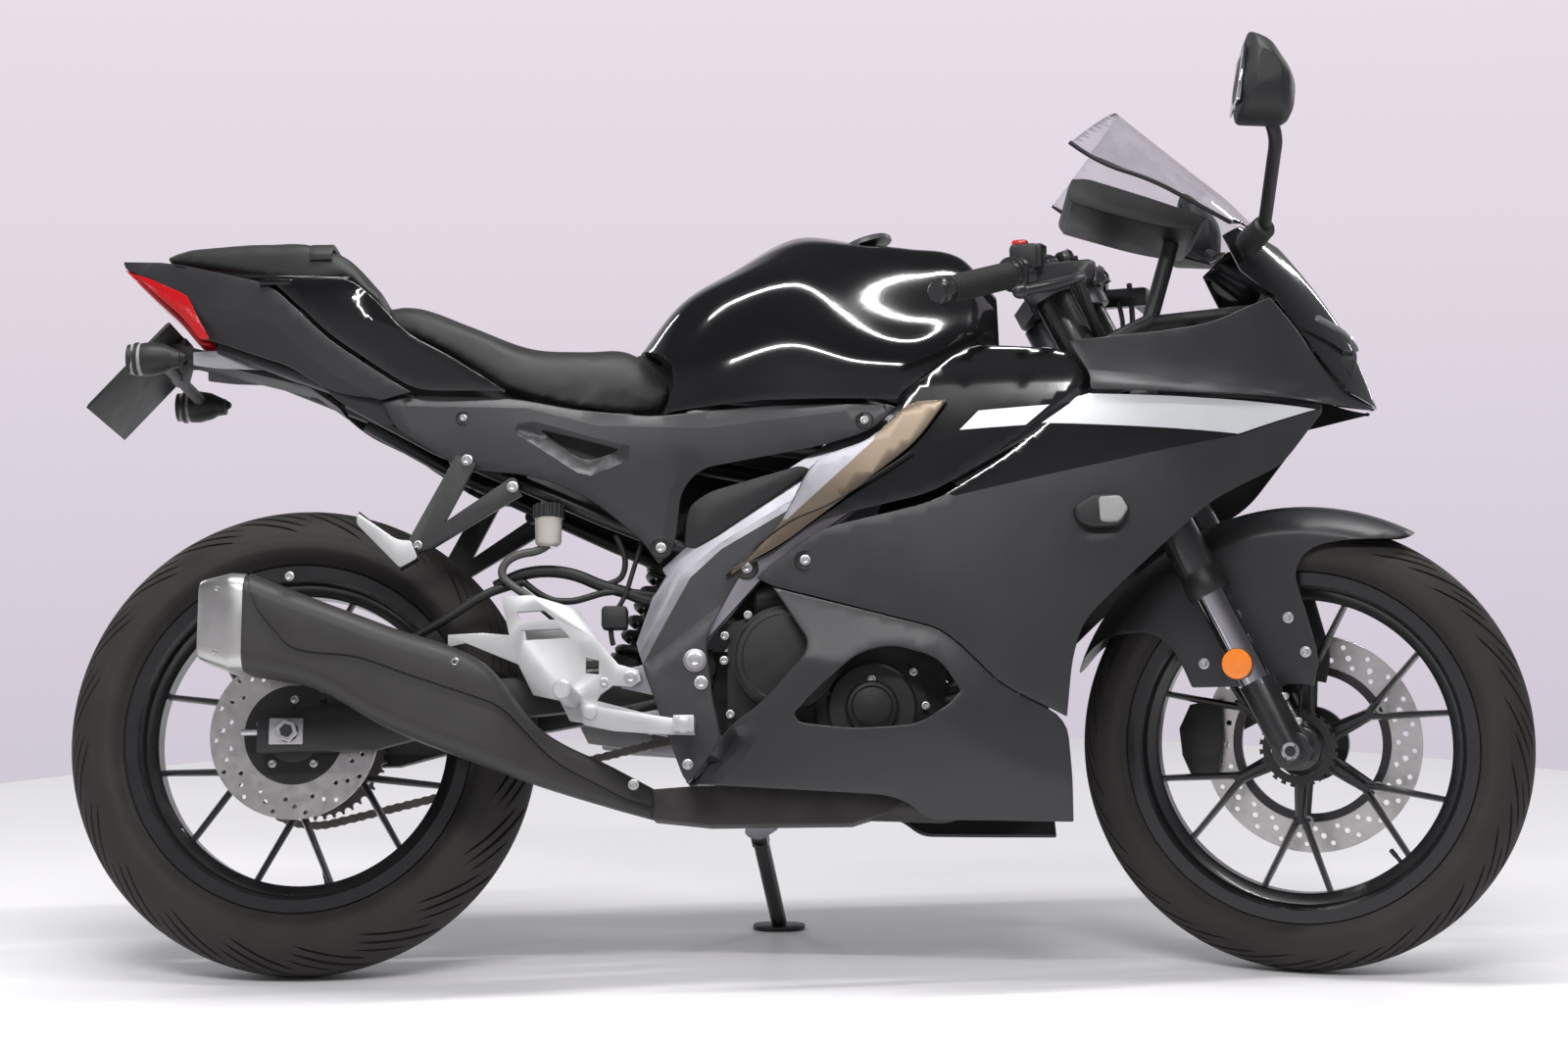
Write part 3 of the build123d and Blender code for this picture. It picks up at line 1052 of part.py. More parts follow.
# ================================================================== onto the stand, origin at the bottom centre
os.makedirs("parts", exist_ok=True)
stood = []
for name, body, part in PIECES:
    if body in ("steering", "front_wheel"):
        part = part.rotate(STEER_AXIS, -STEER_REST)
    stood.append((name, park(part)))
boxes = [part.bounding_box() for _, part in stood]
low = [min(getattr(box.min, axis) for box in boxes) for axis in "XYZ"]
high = [max(getattr(box.max, axis) for box in boxes) for axis in "XYZ"]
CENTRE = Location((-(low[0] + high[0]) / 2, -(low[1] + high[1]) / 2, 0))
for name, part in stood:
    piece = part.moved(CENTRE)
    piece.label = name
    export_step(piece, f"parts/{name}.step")

print("pitch", round(PITCH, 5), "lift", round(LIFT, 4), "shift", [round(v, 4) for v in CENTRE.position])
print("box", [round(v, 2) for v in low], [round(v, 2) for v in high])
print("stand axis", [round(v, 6) for v in STAND_AXIS], "swing", round(STAND_SWING, 2))
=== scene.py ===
import json
from math import atan2, ceil, cos, degrees, hypot, pi, radians, sin, sqrt

import bpy
from bpy.props import FloatProperty, FloatVectorProperty, PointerProperty
from mathutils import Matrix, Vector, kdtree
from mathutils.geometry import delaunay_2d_cdt

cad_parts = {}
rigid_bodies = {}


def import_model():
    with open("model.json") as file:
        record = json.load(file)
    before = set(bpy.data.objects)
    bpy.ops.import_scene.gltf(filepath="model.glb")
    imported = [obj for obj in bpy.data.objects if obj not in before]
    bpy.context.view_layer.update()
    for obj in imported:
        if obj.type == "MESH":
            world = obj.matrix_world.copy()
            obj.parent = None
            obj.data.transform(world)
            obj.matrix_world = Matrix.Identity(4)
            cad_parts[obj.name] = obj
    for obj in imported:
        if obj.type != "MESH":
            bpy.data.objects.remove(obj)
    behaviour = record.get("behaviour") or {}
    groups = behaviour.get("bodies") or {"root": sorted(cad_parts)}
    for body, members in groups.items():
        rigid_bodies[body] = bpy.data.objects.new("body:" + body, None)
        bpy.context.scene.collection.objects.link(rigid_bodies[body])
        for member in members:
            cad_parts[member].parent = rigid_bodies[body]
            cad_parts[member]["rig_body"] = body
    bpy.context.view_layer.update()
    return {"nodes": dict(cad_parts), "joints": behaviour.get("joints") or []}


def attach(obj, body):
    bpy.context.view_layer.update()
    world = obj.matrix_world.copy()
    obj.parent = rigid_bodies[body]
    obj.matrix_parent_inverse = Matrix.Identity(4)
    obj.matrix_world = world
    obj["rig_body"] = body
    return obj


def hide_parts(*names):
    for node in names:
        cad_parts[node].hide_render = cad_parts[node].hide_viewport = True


bl_info = {
    "name": "Sport Motorcycle",
    "version": (1, 0, 0),
    "blender": (4, 5, 0),
    "location": "View3D > Sidebar > Motorcycle",
    "description": "Dresses a packed sport motorcycle with panels, tyres, seats, glass and small fittings",
    "category": "Object",
}

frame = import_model()
SIDES = (("right", -1), ("left", 1))

# ---------------------------------------------------------------- the upright machine, millimetres
REAR_R = 309.6
FRONT_R = 294.2
WHEELBASE = 1325.0
RAKE = 26.0
REST_TURN = -20.34
RIM_R = 229             # outer radius of both rims
BEAD_R = 214.2          # where the tyre's bead sits
VALVE_R = 204
BUTTON_R = 104          # the front disc's fixings
FORK_HALF = 97.0        # from the middle to a fork leg's centre line
CHAIN_Y = 84.0
INDICATOR_Y = 138       # rear indicators
ROUND_COVER = (752, 334)
OUTLET = (-190, 440)    # the silencer's outlet, across and up
SPROCKET_R = 98.0
PINION = (585.0, 384.0)
PINION_R = 34.0
REAR_AXLE = (0.0, 0.0, REAR_R)
FRONT_AXLE = (WHEELBASE, 0.0, FRONT_R)
JOINTS = {joint["name"]: joint for joint in frame["joints"]}


def parked_matrix():
    """Upright millimetres to the leaning machine in metres, from the rear axle of the frame."""
    across = Vector(JOINTS["rear_wheel_spin"]["axis"]).normalized()
    ahead = Vector((-across.z, 0.0, across.x)).normalized()
    ahead = ahead if ahead.x > 0 else -ahead
    turn = Matrix((ahead, across, ahead.cross(across))).transposed().to_4x4()
    scale = Matrix.Scale(0.001, 4)
    axle = Vector(JOINTS["rear_wheel_spin"]["pos_m"])
    start = axle - (turn @ scale @ Vector(REAR_AXLE))
    return Matrix.Translation(start) @ turn @ scale


PARKED = parked_matrix()
STEER_POINT = Vector(JOINTS["steering"]["pos_m"])
TURNED = (Matrix.Translation(STEER_POINT) @ Matrix.Rotation(radians(REST_TURN), 4,
    Vector(JOINTS["steering"]["axis"])) @ Matrix.Translation(-STEER_POINT) @ PARKED)


# ---------------------------------------------------------------- settings
class MotorcyclePaint(bpy.types.PropertyGroup):
    grey: FloatVectorProperty(name="Panel grey", description="Matte body panels", subtype="COLOR",
        default=(0.036, 0.0355, 0.038))
    black: FloatVectorProperty(name="Gloss black", description="Tank and gloss panels", subtype="COLOR",
        default=(0.006, 0.006, 0.0065))
    stripe: FloatVectorProperty(name="Stripe", description="Blank stripe of the fairing", subtype="COLOR",
        default=(0.62, 0.63, 0.65))
    silver: FloatVectorProperty(name="Frame silver", description="Frame spars", subtype="COLOR",
        default=(0.36, 0.352, 0.385))
    alloy: FloatVectorProperty(name="Bright alloy", description="Rider foot brackets", subtype="COLOR",
        default=(0.50, 0.50, 0.505))
    rubber: FloatVectorProperty(name="Rubber", description="Tyres", subtype="COLOR", default=(0.030, 0.027,
        0.025))
    seat: FloatVectorProperty(name="Seat cover", description="Both seats", subtype="COLOR",
        default=(0.016, 0.016, 0.017))
    silencer: FloatVectorProperty(name="Silencer", description="Heat proof coat", subtype="COLOR",
        default=(0.028, 0.026, 0.025))


class MotorcycleSizes(bpy.types.PropertyGroup):
    wall: FloatProperty(name="Panel wall", description="Thickness of a body panel, mm", default=4.0,
        min=1.5)
    edge: FloatProperty(name="Edge radius", description="Rounded edge of a panel, mm", default=1.1, min=0.2)
    step: FloatProperty(name="Panel mesh", description="Point spacing of a panel, mm", default=12.0,
        min=6.0)
    groove: FloatProperty(name="Tread depth", description="Depth of the tread grooves, mm", default=4.4,
        min=0.5)
    bolt: FloatProperty(name="Bolt radius", description="Head radius of a panel bolt, mm", default=7.0,
        min=3.0)
    link: FloatProperty(name="Chain pitch", description="Pin distance of the drive chain, mm", default=12.7,
        min=8.0)


class MotorcycleStage(bpy.types.PropertyGroup):
    floor: FloatVectorProperty(name="Floor", description="Colour of the round floor", subtype="COLOR",
        default=(0.90, 0.88, 0.89))
    backdrop: FloatVectorProperty(name="Backdrop", description="Colour behind the machine", subtype="COLOR",
        default=(0.74, 0.69, 0.745))
    radius: FloatProperty(name="Floor radius", description="Radius of the round floor", default=2.1,
        subtype="DISTANCE")
    lamp: FloatProperty(name="Lamp power", description="Power of the overhead lamp", default=42.0,
        subtype="POWER")


# ---------------------------------------------------------------- finishes
FINISH = {}


def put(node, **values):
    """Sets inputs of a shader node by name, an underscore standing for a space."""
    for name, value in values.items():
        node.inputs[name.replace("_", " ")].default_value = value
    return node


def new_node(tree, kind, *feeds, **values):
    """New shader node with these values. A feed is an input and the output that drives it."""
    made = put(tree.nodes.new(kind), **values)
    for place, output in feeds:
        tree.links.new(output, made.inputs[place])
    return made


def ramp(tree, value, low, high, places=(0.0, 1.0)):
    """Colour between two colours, driven by a value."""
    made = new_node(tree, "ShaderNodeValToRGB", ("Fac", value))
    for element, place, colour in zip(made.color_ramp.elements, places, (low, high)):
        element.position = place
        element.color = (*colour, 1)
    return made.outputs["Color"]


def bumped(tree, height, strength, distance, *feeds):
    """Drives the shader's normal by a height."""
    made = new_node(tree, "ShaderNodeBump", ("Height", height), *feeds, Strength=strength,
        Distance=distance)
    tree.links.new(made.outputs["Normal"], tree.nodes["Principled BSDF"].inputs["Normal"])


def first_node(tree, kind):
    return next(node for node in tree.nodes if node.type == kind)


def new_paint(name, cloud, detail, stretch, low, high, reach):
    """New clouded material, and the output of its clouds."""
    material = bpy.data.materials.new(name)
    material.use_nodes = True
    tree = material.node_tree
    place = tree.nodes.new("ShaderNodeTexCoord")
    mapping = new_node(tree, "ShaderNodeMapping", ("Vector", place.outputs["Object"]), Scale=stretch)
    clouds = new_node(tree, "ShaderNodeTexNoise", ("Vector", mapping.outputs["Vector"]), Scale=cloud,
        Detail=detail)
    tint = ramp(tree, clouds.outputs["Fac"], low, high, reach)
    tree.links.new(tint, tree.nodes["Principled BSDF"].inputs["Base Color"])
    return material, clouds.outputs["Fac"]


def finish(name, colour, rough, metal=0.0, coat=0.0, grain=0.8, bump=0.15, cloud=25.0, mottle=0.12,
        stretch=(1, 1, 1), sheen=0.0, specular=0.5, uneven=0.12):
    """Painted, cast or moulded surface: clouded colour, uneven gloss and a fine grain in the bump."""
    low, high = ([c * (1 + sign * mottle) for c in colour] for sign in (-1, 1))
    material, cloudy = new_paint(name, cloud, 5.0, stretch, low, high, (0.3, 0.7))
    tree = material.node_tree
    shader = put(tree.nodes["Principled BSDF"], Metallic=metal, Coat_Weight=coat, Coat_Roughness=0.04,
        Sheen_Weight=sheen, Specular_IOR_Level=specular)
    gloss = new_node(tree, "ShaderNodeMapRange", ("Value", cloudy), From_Min=0.3, From_Max=0.7,
        To_Min=rough * (1 - uneven), To_Max=rough * (1 + uneven))
    tree.links.new(gloss.outputs["Result"], shader.inputs["Roughness"])
    if bump:
        fine = new_node(tree, "ShaderNodeTexNoise",
            ("Vector", first_node(tree, "MAPPING").outputs["Vector"]), Scale=1000.0 / grain, Detail=2.0)
        bumped(tree, fine.outputs["Fac"], bump, grain * 0.0006)
    FINISH[name] = material
    return material


def leather(name, colour):
    """Seat cover: pebbled cells over a soft cloud."""
    material = finish(name, colour, 0.52, grain=0.9, bump=0.2, mottle=0.18, sheen=0.08, cloud=12.0)
    tree = material.node_tree
    grain = first_node(tree, "BUMP")
    cells = new_node(tree, "ShaderNodeTexVoronoi",
        ("Vector", first_node(tree, "MAPPING").outputs["Vector"]))
    cells.feature = "DISTANCE_TO_EDGE"
    put(cells, Scale=620.0)
    bumped(tree, cells.outputs["Distance"], 0.35, 0.0005, ("Normal", grain.outputs["Normal"]))


def lens(name, colour, rough=0.05, through=0.0, ribs=0.0, glow=0.0, metal=0.0):
    """Moulded lens or glass, with pressed ribs when asked."""
    material = finish(name, colour, rough, metal, coat=1.0 if through < 0.5 else 0.0, bump=0.0,
        mottle=0.06)
    tree = material.node_tree
    put(tree.nodes["Principled BSDF"], Transmission_Weight=through, Emission_Strength=glow,
        Emission_Color=(*colour, 1))
    if ribs:
        wave = new_node(tree, "ShaderNodeTexWave",
            ("Vector", first_node(tree, "MAPPING").outputs["Vector"]), Scale=ribs, Distortion=0.0)
        bumped(tree, wave.outputs["Fac"], 0.5, 0.0006)


def make_finishes():
    paint = bpy.context.scene.motorcycle_paint
    finish("panel_grey", paint.grey, 0.36, metal=0.3, grain=0.35, bump=0.10, mottle=0.05,
        cloud=9)
    finish("panel_black", paint.black, 0.09, coat=1.0, bump=0.0, mottle=0.2, uneven=0.2,
        cloud=9)
    finish("stripe_silver", paint.stripe, 0.3, metal=0.2, coat=0.3, grain=0.3, bump=0.04,
        mottle=0.015, uneven=0.03)
    finish("frame_silver", paint.silver, 0.36, metal=0.85, grain=0.5, bump=0.12,
        mottle=0.10)
    finish("alloy_bright", paint.alloy, 0.34, metal=0.35, grain=0.6, bump=0.16, mottle=0.05)
    # Dark frame grey for the spar's skin; the skin's upward strip takes frame silver as a painted
    # highlight.
    finish("frame_grey", (0.05, 0.0495, 0.053), 0.4, metal=0.4, grain=0.5, bump=0.12,
        mottle=0.08)
    finish("fin_bronze", (0.17, 0.135, 0.10), 0.28, metal=0.9, grain=0.4, bump=0.06,
        mottle=0.15, stretch=(0.3, 1, 0.3))
    finish("clamp_alloy", (0.12, 0.12, 0.125), 0.4, metal=0.8, grain=0.7, bump=0.2)
    finish("fork_black", (0.013, 0.013, 0.014), 0.3, coat=0.25, grain=0.5, bump=0.08,
        cloud=40)
    finish("cast_black", (0.016, 0.016, 0.017), 0.48, grain=1.3, bump=0.28, mottle=0.16,
        cloud=40)
    finish("engine_black", (0.018, 0.018, 0.019), 0.45, metal=0.3, grain=1.5, bump=0.32,
        mottle=0.2, cloud=45)
    finish("rim_black", (0.010, 0.010, 0.011), 0.3, coat=0.3, grain=0.5, bump=0.07, cloud=30)
    finish("tyre_rubber", paint.rubber, 0.72, grain=0.9, bump=0.3, mottle=0.2, cloud=14,
        specular=0.3)
    finish("grip_rubber", (0.014, 0.014, 0.014), 0.75, grain=0.9, bump=0.3, mottle=0.15)
    finish("disc_steel", (0.60, 0.595, 0.58), 0.3, metal=1.0, grain=0.5, bump=0.2,
        mottle=0.08, cloud=70)
    finish("carrier_black", (0.012, 0.012, 0.012), 0.4, grain=0.6, bump=0.1)
    finish("plated_steel", (0.58, 0.58, 0.585), 0.3, metal=0.7, grain=0.6, bump=0.08)
    finish("fork_chrome", (0.42, 0.42, 0.44), 0.1, metal=1.0, bump=0.0, mottle=0.04)
    finish("chain_steel", (0.20, 0.19, 0.17), 0.4, metal=0.9, grain=0.8, bump=0.2, mottle=0.25)
    finish("silencer_coat", paint.silencer, 0.5, grain=0.5, bump=0.16, mottle=0.12,
        cloud=18)
    finish("end_cap_steel", (0.50, 0.50, 0.49), 0.34, metal=0.85, grain=0.5, bump=0.14)
    finish("collector_steel", (0.045, 0.042, 0.04), 0.5, metal=0.5, grain=0.9, bump=0.2,
        mottle=0.3)
    finish("tube_black", (0.014, 0.014, 0.015), 0.38, grain=0.7, bump=0.12)
    finish("plastic_black", (0.013, 0.013, 0.014), 0.5, grain=0.7, bump=0.25, mottle=0.12)
    finish("radiator_core", (0.05, 0.05, 0.05), 0.5, metal=0.6, grain=1.2, bump=0.5,
        stretch=(1, 0.2, 6))
    finish("hose_rubber", (0.012, 0.012, 0.012), 0.45, grain=1.0, bump=0.2)
    finish("hose_grey", (0.07, 0.068, 0.064), 0.4, grain=1.0, bump=0.15)
    finish("pale_plate", (0.34, 0.34, 0.37), 0.4, grain=0.6, bump=0.1, mottle=0.05)
    # Painted shade: a near black, darker than the parts' own colours, for the sheets that fill gaps inside
    # the machine, the cups round the panel bolts, the line on the fin's fold and the dash shell.
    finish("painted_shade_black", (0.006, 0.006, 0.006), 0.5, grain=0.6, bump=0.1)
    leather("seat_leather", paint.seat)
    lens("red_lens", (0.42, 0.006, 0.008), 0.08, ribs=90.0, glow=0.12)
    # The orange lens glows a little though the fork's reflectors are no lamp: painted light.
    lens("glowing_orange_reflector", (0.80, 0.20, 0.01), 0.12, ribs=160.0, glow=0.15)
    lens("clear_lens", (0.80, 0.80, 0.78), 0.06, through=0.6, ribs=120.0)
    lens("lamp_dim", (0.16, 0.16, 0.17), 0.2)
    lens("lamp_light", (0.85, 0.87, 0.9), 0.2, glow=0.35)
    lens("smoke_glass", (0.80, 0.81, 0.83), 0.01, through=1.0)
    lens("mirror_glass", (0.75, 0.77, 0.8), 0.02, metal=1.0)
    lens("screen_dark", (0.01, 0.012, 0.014), 0.06)
    lens("milky_plastic", (0.66, 0.62, 0.55), 0.22, through=0.25)
    lens("switch_red", (0.5, 0.01, 0.01), 0.3)


# ---------------------------------------------------------------- making and placing pieces
def deselect():
    if bpy.context.mode != "OBJECT":
        bpy.ops.object.mode_set(mode="OBJECT")
    for item in bpy.context.selected_objects:
        item.select_set(False)


def choose(piece):
    deselect()
    piece.select_set(True)
    bpy.context.view_layer.objects.active = piece


def primitive(name, add, **values):
    """Starts a piece from one of Blender's own primitives."""
    deselect()
    add(**values)
    bpy.context.object.name = name
    return bpy.context.object


def from_points(name, points, faces, edges=()):
    """Starts from a plane primitive and gives it these corners, edges and faces."""
    piece = primitive(name, bpy.ops.mesh.primitive_plane_add, size=1.0)
    piece.data.clear_geometry()
    piece.data.from_pydata([tuple(p) for p in points], edges, faces)
    piece.data.update()
    return piece


def modify(piece, kind, **values):
    """Adds a modifier, sets it and applies it."""
    choose(piece)
    modifier = piece.modifiers.new(kind.lower(), kind)
    for key, value in values.items():
        setattr(modifier, key, value)
    bpy.ops.object.modifier_apply(modifier=modifier.name)
    return piece


def bevelled(piece, width, angle=50.0, segments=2):
    return modify(piece, "BEVEL", width=width, segments=segments, limit_method="ANGLE",
        angle_limit=radians(angle))


def edited(piece, *steps):
    """Takes each step, a mesh operator with its settings, on the whole of a piece."""
    choose(piece)
    bpy.ops.object.mode_set(mode="EDIT")
    bpy.ops.mesh.select_all(action="SELECT")
    for operator, values in steps:
        operator(**values)
    bpy.ops.object.mode_set(mode="OBJECT")
    return piece


def smooth(piece, angle=25.0):
    choose(piece)
    bpy.ops.object.shade_smooth_by_angle(angle=radians(angle))
    return piece


def outward(piece):
    """Merges doubles and turns every face outwards."""
    return edited(piece, (bpy.ops.mesh.remove_doubles, {"threshold": 0.01}),
        (bpy.ops.mesh.normals_make_consistent, {"inside": False}))


def spun(piece, steps, centre, axis):
    """Turns a line of points all the way about an axis into a skin."""
    return outward(edited(piece, (bpy.ops.mesh.spin, {"steps": steps, "angle": 2 * pi, "center": centre,
        "axis": axis})))


def joined(name, pieces):
    deselect()
    for piece in pieces:
        piece.select_set(True)
    bpy.context.view_layer.objects.active = pieces[0]
    if len(pieces) > 1:
        bpy.ops.object.join()
    pieces[0].name = name
    return pieces[0]


def attached(piece, look, body, nodes):
    """Gives a piece its finish, the body it rides on and the nodes it stands for."""
    if look:
        piece.data.materials.clear()
        piece.data.materials.append(FINISH[look])
    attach(piece, body)
    if nodes:
        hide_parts(*nodes)
    return piece


def settle(piece, look, *nodes, body="chassis"):
    """Moves a piece drawn upright in millimetres to its place on the parked machine, to ride on a body."""
    piece.data.transform((TURNED if body in ("steering", "front_wheel") else PARKED) @ piece.matrix_world)
    piece.matrix_world = Matrix.Identity(4)
    return attached(piece, look, body, nodes)


def steered(piece, look, *nodes):
    return settle(piece, look, *nodes, body="steering")


def dressed(node, look, width=1.0):
    """Copy of a CAD node with its edges rounded by a width in mm, which stands for the node."""
    source = frame["nodes"][node]
    piece = bpy.data.objects.new(f"{node}_finished", source.data.copy())
    bpy.context.scene.collection.objects.link(piece)
    body = source["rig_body"]
    edited(piece, (bpy.ops.mesh.remove_doubles, {"threshold": 0.00002}), (bpy.ops.mesh.dissolve_limited,
        {"angle_limit": radians(1.0)}))
    bevelled(piece, width * 0.001, 32.0)
    return attached(smooth(piece, 30.0), look, body, [node])


# ---------------------------------------------------------------- curves and surfaces
def curve(xs, ys):
    """Smooth line through points, level beyond its ends."""
    slopes = []
    last = len(xs) - 1
    for i in range(last + 1):
        a, b = max(0, i - 1), min(last, i + 1)
        slopes.append((ys[b] - ys[a]) / (xs[b] - xs[a]))

    def at(x):
        if x <= xs[0]:
            return ys[0]
        if x >= xs[last]:
            return ys[last]
        i = 0
        while x > xs[i + 1]:
            i += 1
        span = xs[i + 1] - xs[i]
        t = (x - xs[i]) / span
        return (ys[i] * (2 * t ** 3 - 3 * t ** 2 + 1) + slopes[i] * span * (t ** 3 - 2 * t ** 2 + t)
            + ys[i + 1] * (3 * t ** 2 - 2 * t ** 3) + slopes[i + 1] * span * (t ** 3 - t ** 2))
    return at


def surface(stations, rows):
    """Half width of a body panel at (x, z), smooth through rows of half widths, one row for each height."""
    heights = [z for z, _ in rows]
    lines = [curve(stations, row) for _, row in rows]

    def width(x, z):
        return curve(heights, [line(x) for line in lines])(z)
    return width


def softened(points, sharp=62.0, reach=26.0, tip=2.5):
    """Closed outline with its gentle corners turned into curves and its sharp ones eased a little."""
    result = []
    count = len(points)
    for i in range(count):
        a, b, c = (Vector(points[(i + k) % count]) for k in (-1, 0, 1))
        u, v = a - b, c - b
        if u.length < 1e-6 or v.length < 1e-6:
            continue
        turn = 180 - degrees(u.angle(v))
        cut = min(tip if turn > sharp else reach, 0.45 * u.length, 0.45 * v.length)
        p, q = b + u.normalized() * cut, b + v.normalized() * cut
        steps = 1 if cut < 1 else 4
        for k in range(steps + 1):
            t = k / steps
            result.append(tuple((1 - t) ** 2 * p + 2 * t * (1 - t) * b + t ** 2 * q))
    return result


def divided(points, step, closed=True):
    result = []
    count = len(points)
    for i in range(count if closed else count - 1):
        a, b = Vector(points[i]), Vector(points[(i + 1) % count])
        parts = max(1, ceil((b - a).length / step))
        result += [tuple(a + (b - a) * k / parts) for k in range(parts)]
    if not closed:
        result.append(tuple(points[-1]))
    return result


def inside(point, outline):
    x, z = point
    hit = False
    for i in range(len(outline)):
        (ax, az), (bx, bz) = outline[i - 1], outline[i]
        if (az > z) != (bz > z) and x < (bx - ax) * (z - az) / (bz - az) + ax:
            hit = not hit
    return hit


def rim_loop(loop, depth, into):
    """Loop moved a little way into the sheet; None for a point that would end too near the edge."""
    count = len(loop)
    ring = loop + [loop[0]]
    moved = []
    for i in range(count):
        a, b, c = (Vector(loop[(i + k) % count]) for k in (-1, 0, 1))
        along = (b - a).normalized() + (c - b).normalized()
        if along.length < 0.3:
            moved.append(None)
            continue
        spread = along.length / 2
        along.normalize()
        place = b + Vector((-along.y, along.x)) * depth * into / spread
        moved.append(tuple(place) if near_line(place, ring) > 0.9 * depth else None)
    return moved


def flat_mesh(outline, holes=(), folds=(), step=12.0, rims=()):
    """Points (x, z) and triangles that fill an outline but not its holes, with edges along the folds."""
    loops = [divided(outline, step)] + [divided(hole, step * 0.5) for hole in holes]
    points, edges = [], []
    for number, loop in enumerate(loops):
        first = len(points)
        points += loop
        edges += [(first + i, first + (i + 1) % len(loop)) for i in range(len(loop))]
        area = sum(loop[i - 1][0] * loop[i][1] - loop[i][0] * loop[i - 1][1] for i in range(len(loop)))
        into = (1 if area > 0 else -1) * (-1 if number else 1)
        for depth in rims:
            at = {}
            for i, place in enumerate(rim_loop(loop, depth, into)):
                if place:
                    at[i] = len(points)
                    points.append(place)
            edges += [(at[i], at[(i + 1) % len(loop)]) for i in at if (i + 1) % len(loop) in at]
    for fold in folds:
        line = divided(fold, step, False)
        first = len(points)
        points += line
        edges += [(first + i, first + i + 1) for i in range(len(line) - 1)]
    tree = kdtree.KDTree(len(points))
    for i, (x, z) in enumerate(points):
        tree.insert((x, z, 0), i)
    tree.balance()
    low_x, high_x = min(p[0] for p in outline), max(p[0] for p in outline)
    low_z, high_z = min(p[1] for p in outline), max(p[1] for p in outline)
    row = 0
    z = low_z + step / 2
    while z < high_z:
        x = low_x + (step / 2 if row % 2 else 0)
        while x < high_x:
            if inside((x, z), loops[0]) and not any(inside((x, z), hole) for hole in loops[1:]):
                if tree.find((x, z, 0))[2] > step * 0.55:
                    points.append((x, z))
            x += step
        z += step * 0.866
        row += 1
    places, _, faces, *_ = delaunay_2d_cdt([Vector(p) for p in points], edges, [], 0, 1e-5)
    kept = []
    for face in faces:
        middle = sum((places[i] for i in face), Vector((0, 0))) / len(face)
        if inside(middle, loops[0]) and not any(inside(middle, hole) for hole in loops[1:]):
            kept.append(list(face))
    used = sorted({i for face in kept for i in face})
    index = {old: new for new, old in enumerate(used)}
    return [tuple(places[i]) for i in used], [[index[i] for i in face] for face in kept]


def near_line(point, line):
    """Distance from a point to an open line of points."""
    p = Vector(point)
    best = 1e9
    for i in range(len(line) - 1):
        a, b = Vector(line[i]), Vector(line[i + 1])
        ab = b - a
        t = max(0.0, min(1.0, (p - a).dot(ab) / ab.length_squared))
        best = min(best, (p - a - ab * t).length)
    return best


def eased(t):
    t = max(0.0, min(1.0, t))
    return t * t * (3 - 2 * t)


def relief(features):
    """Offset of a panel at (x, z). A feature is a region, a depth and a reach: it deepens softly from the
    region's outline, or evenly from a crease line when one is given."""
    def at(x, z):
        total = 0.0
        for outline, depth, reach, crease in features:
            if inside((x, z), outline):
                away = near_line((x, z), crease or [*outline, outline[0]]) / reach
                total += depth * (min(1.0, away) if crease else eased(away))
        return total
    return at


def round_edge(outline, holes, edge):
    """How far a sheet is drawn back at (x, z) near its outline, as a quarter circle."""
    rings = [[*loop, loop[0]] for loop in (divided(outline, 12.0),
        *(divided(hole, 12.0) for hole in holes))]
    marks = [p for ring in rings for p in ring]
    tree = kdtree.KDTree(len(marks))
    for i, (x, z) in enumerate(marks):
        tree.insert((x, z, 0), i)
    tree.balance()

    def at(x, z):
        if tree.find((x, z, 0))[2] > edge + 6.5:
            return 0.0
        away = min(near_line((x, z), ring) for ring in rings)
        return edge - sqrt(edge ** 2 - (edge - away) ** 2) if away < edge else 0.0
    return at


def panel(name, outline, width, side, look, *nodes, wall=None, edge=None, holes=(), folds=(), lift=0.0,
        press=(), soft=True, also=()):
    """Curved panel: an outline seen from the side, laid on the body's width, thickened, its rim rounded."""
    sizes = bpy.context.scene.motorcycle_sizes
    wall = sizes.wall if wall is None else wall
    edge = sizes.edge if edge is None else edge
    outline = softened(outline) if soft else list(outline)
    holes = [softened(hole) for hole in holes]
    press = [(*feature, None)[:4] for feature in press]
    creases = [feature[3] for feature in press if feature[3]]
    lines = [[p for p in divided(crease, 6.0, False) if inside(p, outline)] for crease in creases]
    lines = [line for line in lines if len(line) > 1]
    sharp = len(lines)
    lines += folds
    rims = (0.13 * edge, 0.5 * edge, edge) if edge else ()
    points, faces = flat_mesh(outline, holes, lines, sizes.step, rims)
    shape = relief(press)
    back = round_edge(outline, holes, edge) if edge else (lambda x, z: 0.0)
    corners = [(x, side * (width(x, z) + lift + shape(x, z) - back(x, z)), z) for x, z in points]
    if side > 0:
        faces = [face[::-1] for face in faces]
    piece = from_points(name, corners, faces)
    for line in lines[:sharp]:
        for rim in piece.data.edges:
            a, b = (points[i] for i in rim.vertices)
            if near_line(a, line) < 0.2 and near_line(b, line) < 0.2:
                rim.use_edge_sharp = True
    looks = [look] + [other for other, _ in also]
    for other in looks:
        piece.data.materials.append(FINISH[other])
    for face in piece.data.polygons:
        for number, (_, region) in enumerate(also):
            if inside((face.center.x, face.center.z), region):
                face.material_index = number + 1
    modify(piece, "SOLIDIFY", thickness=wall, offset=-1.0, use_even_offset=True)
    smooth(piece, 50.0)
    settle(piece, None, *nodes)
    return piece


def loft(name, rings):
    """Closed skin over rings of equal count, with its ends capped."""
    points, faces = [], []
    count = len(rings[0])
    for ring in rings:
        points += ring
    for i in range(len(rings) - 1):
        for j in range(count):
            a, b = i * count + j, i * count + (j + 1) % count
            faces.append((a, b, b + count, a + count))
    faces.append(tuple(range(count))[::-1])
    faces.append(tuple((len(rings) - 1) * count + j for j in range(count)))
    return outward(from_points(name, points, faces))


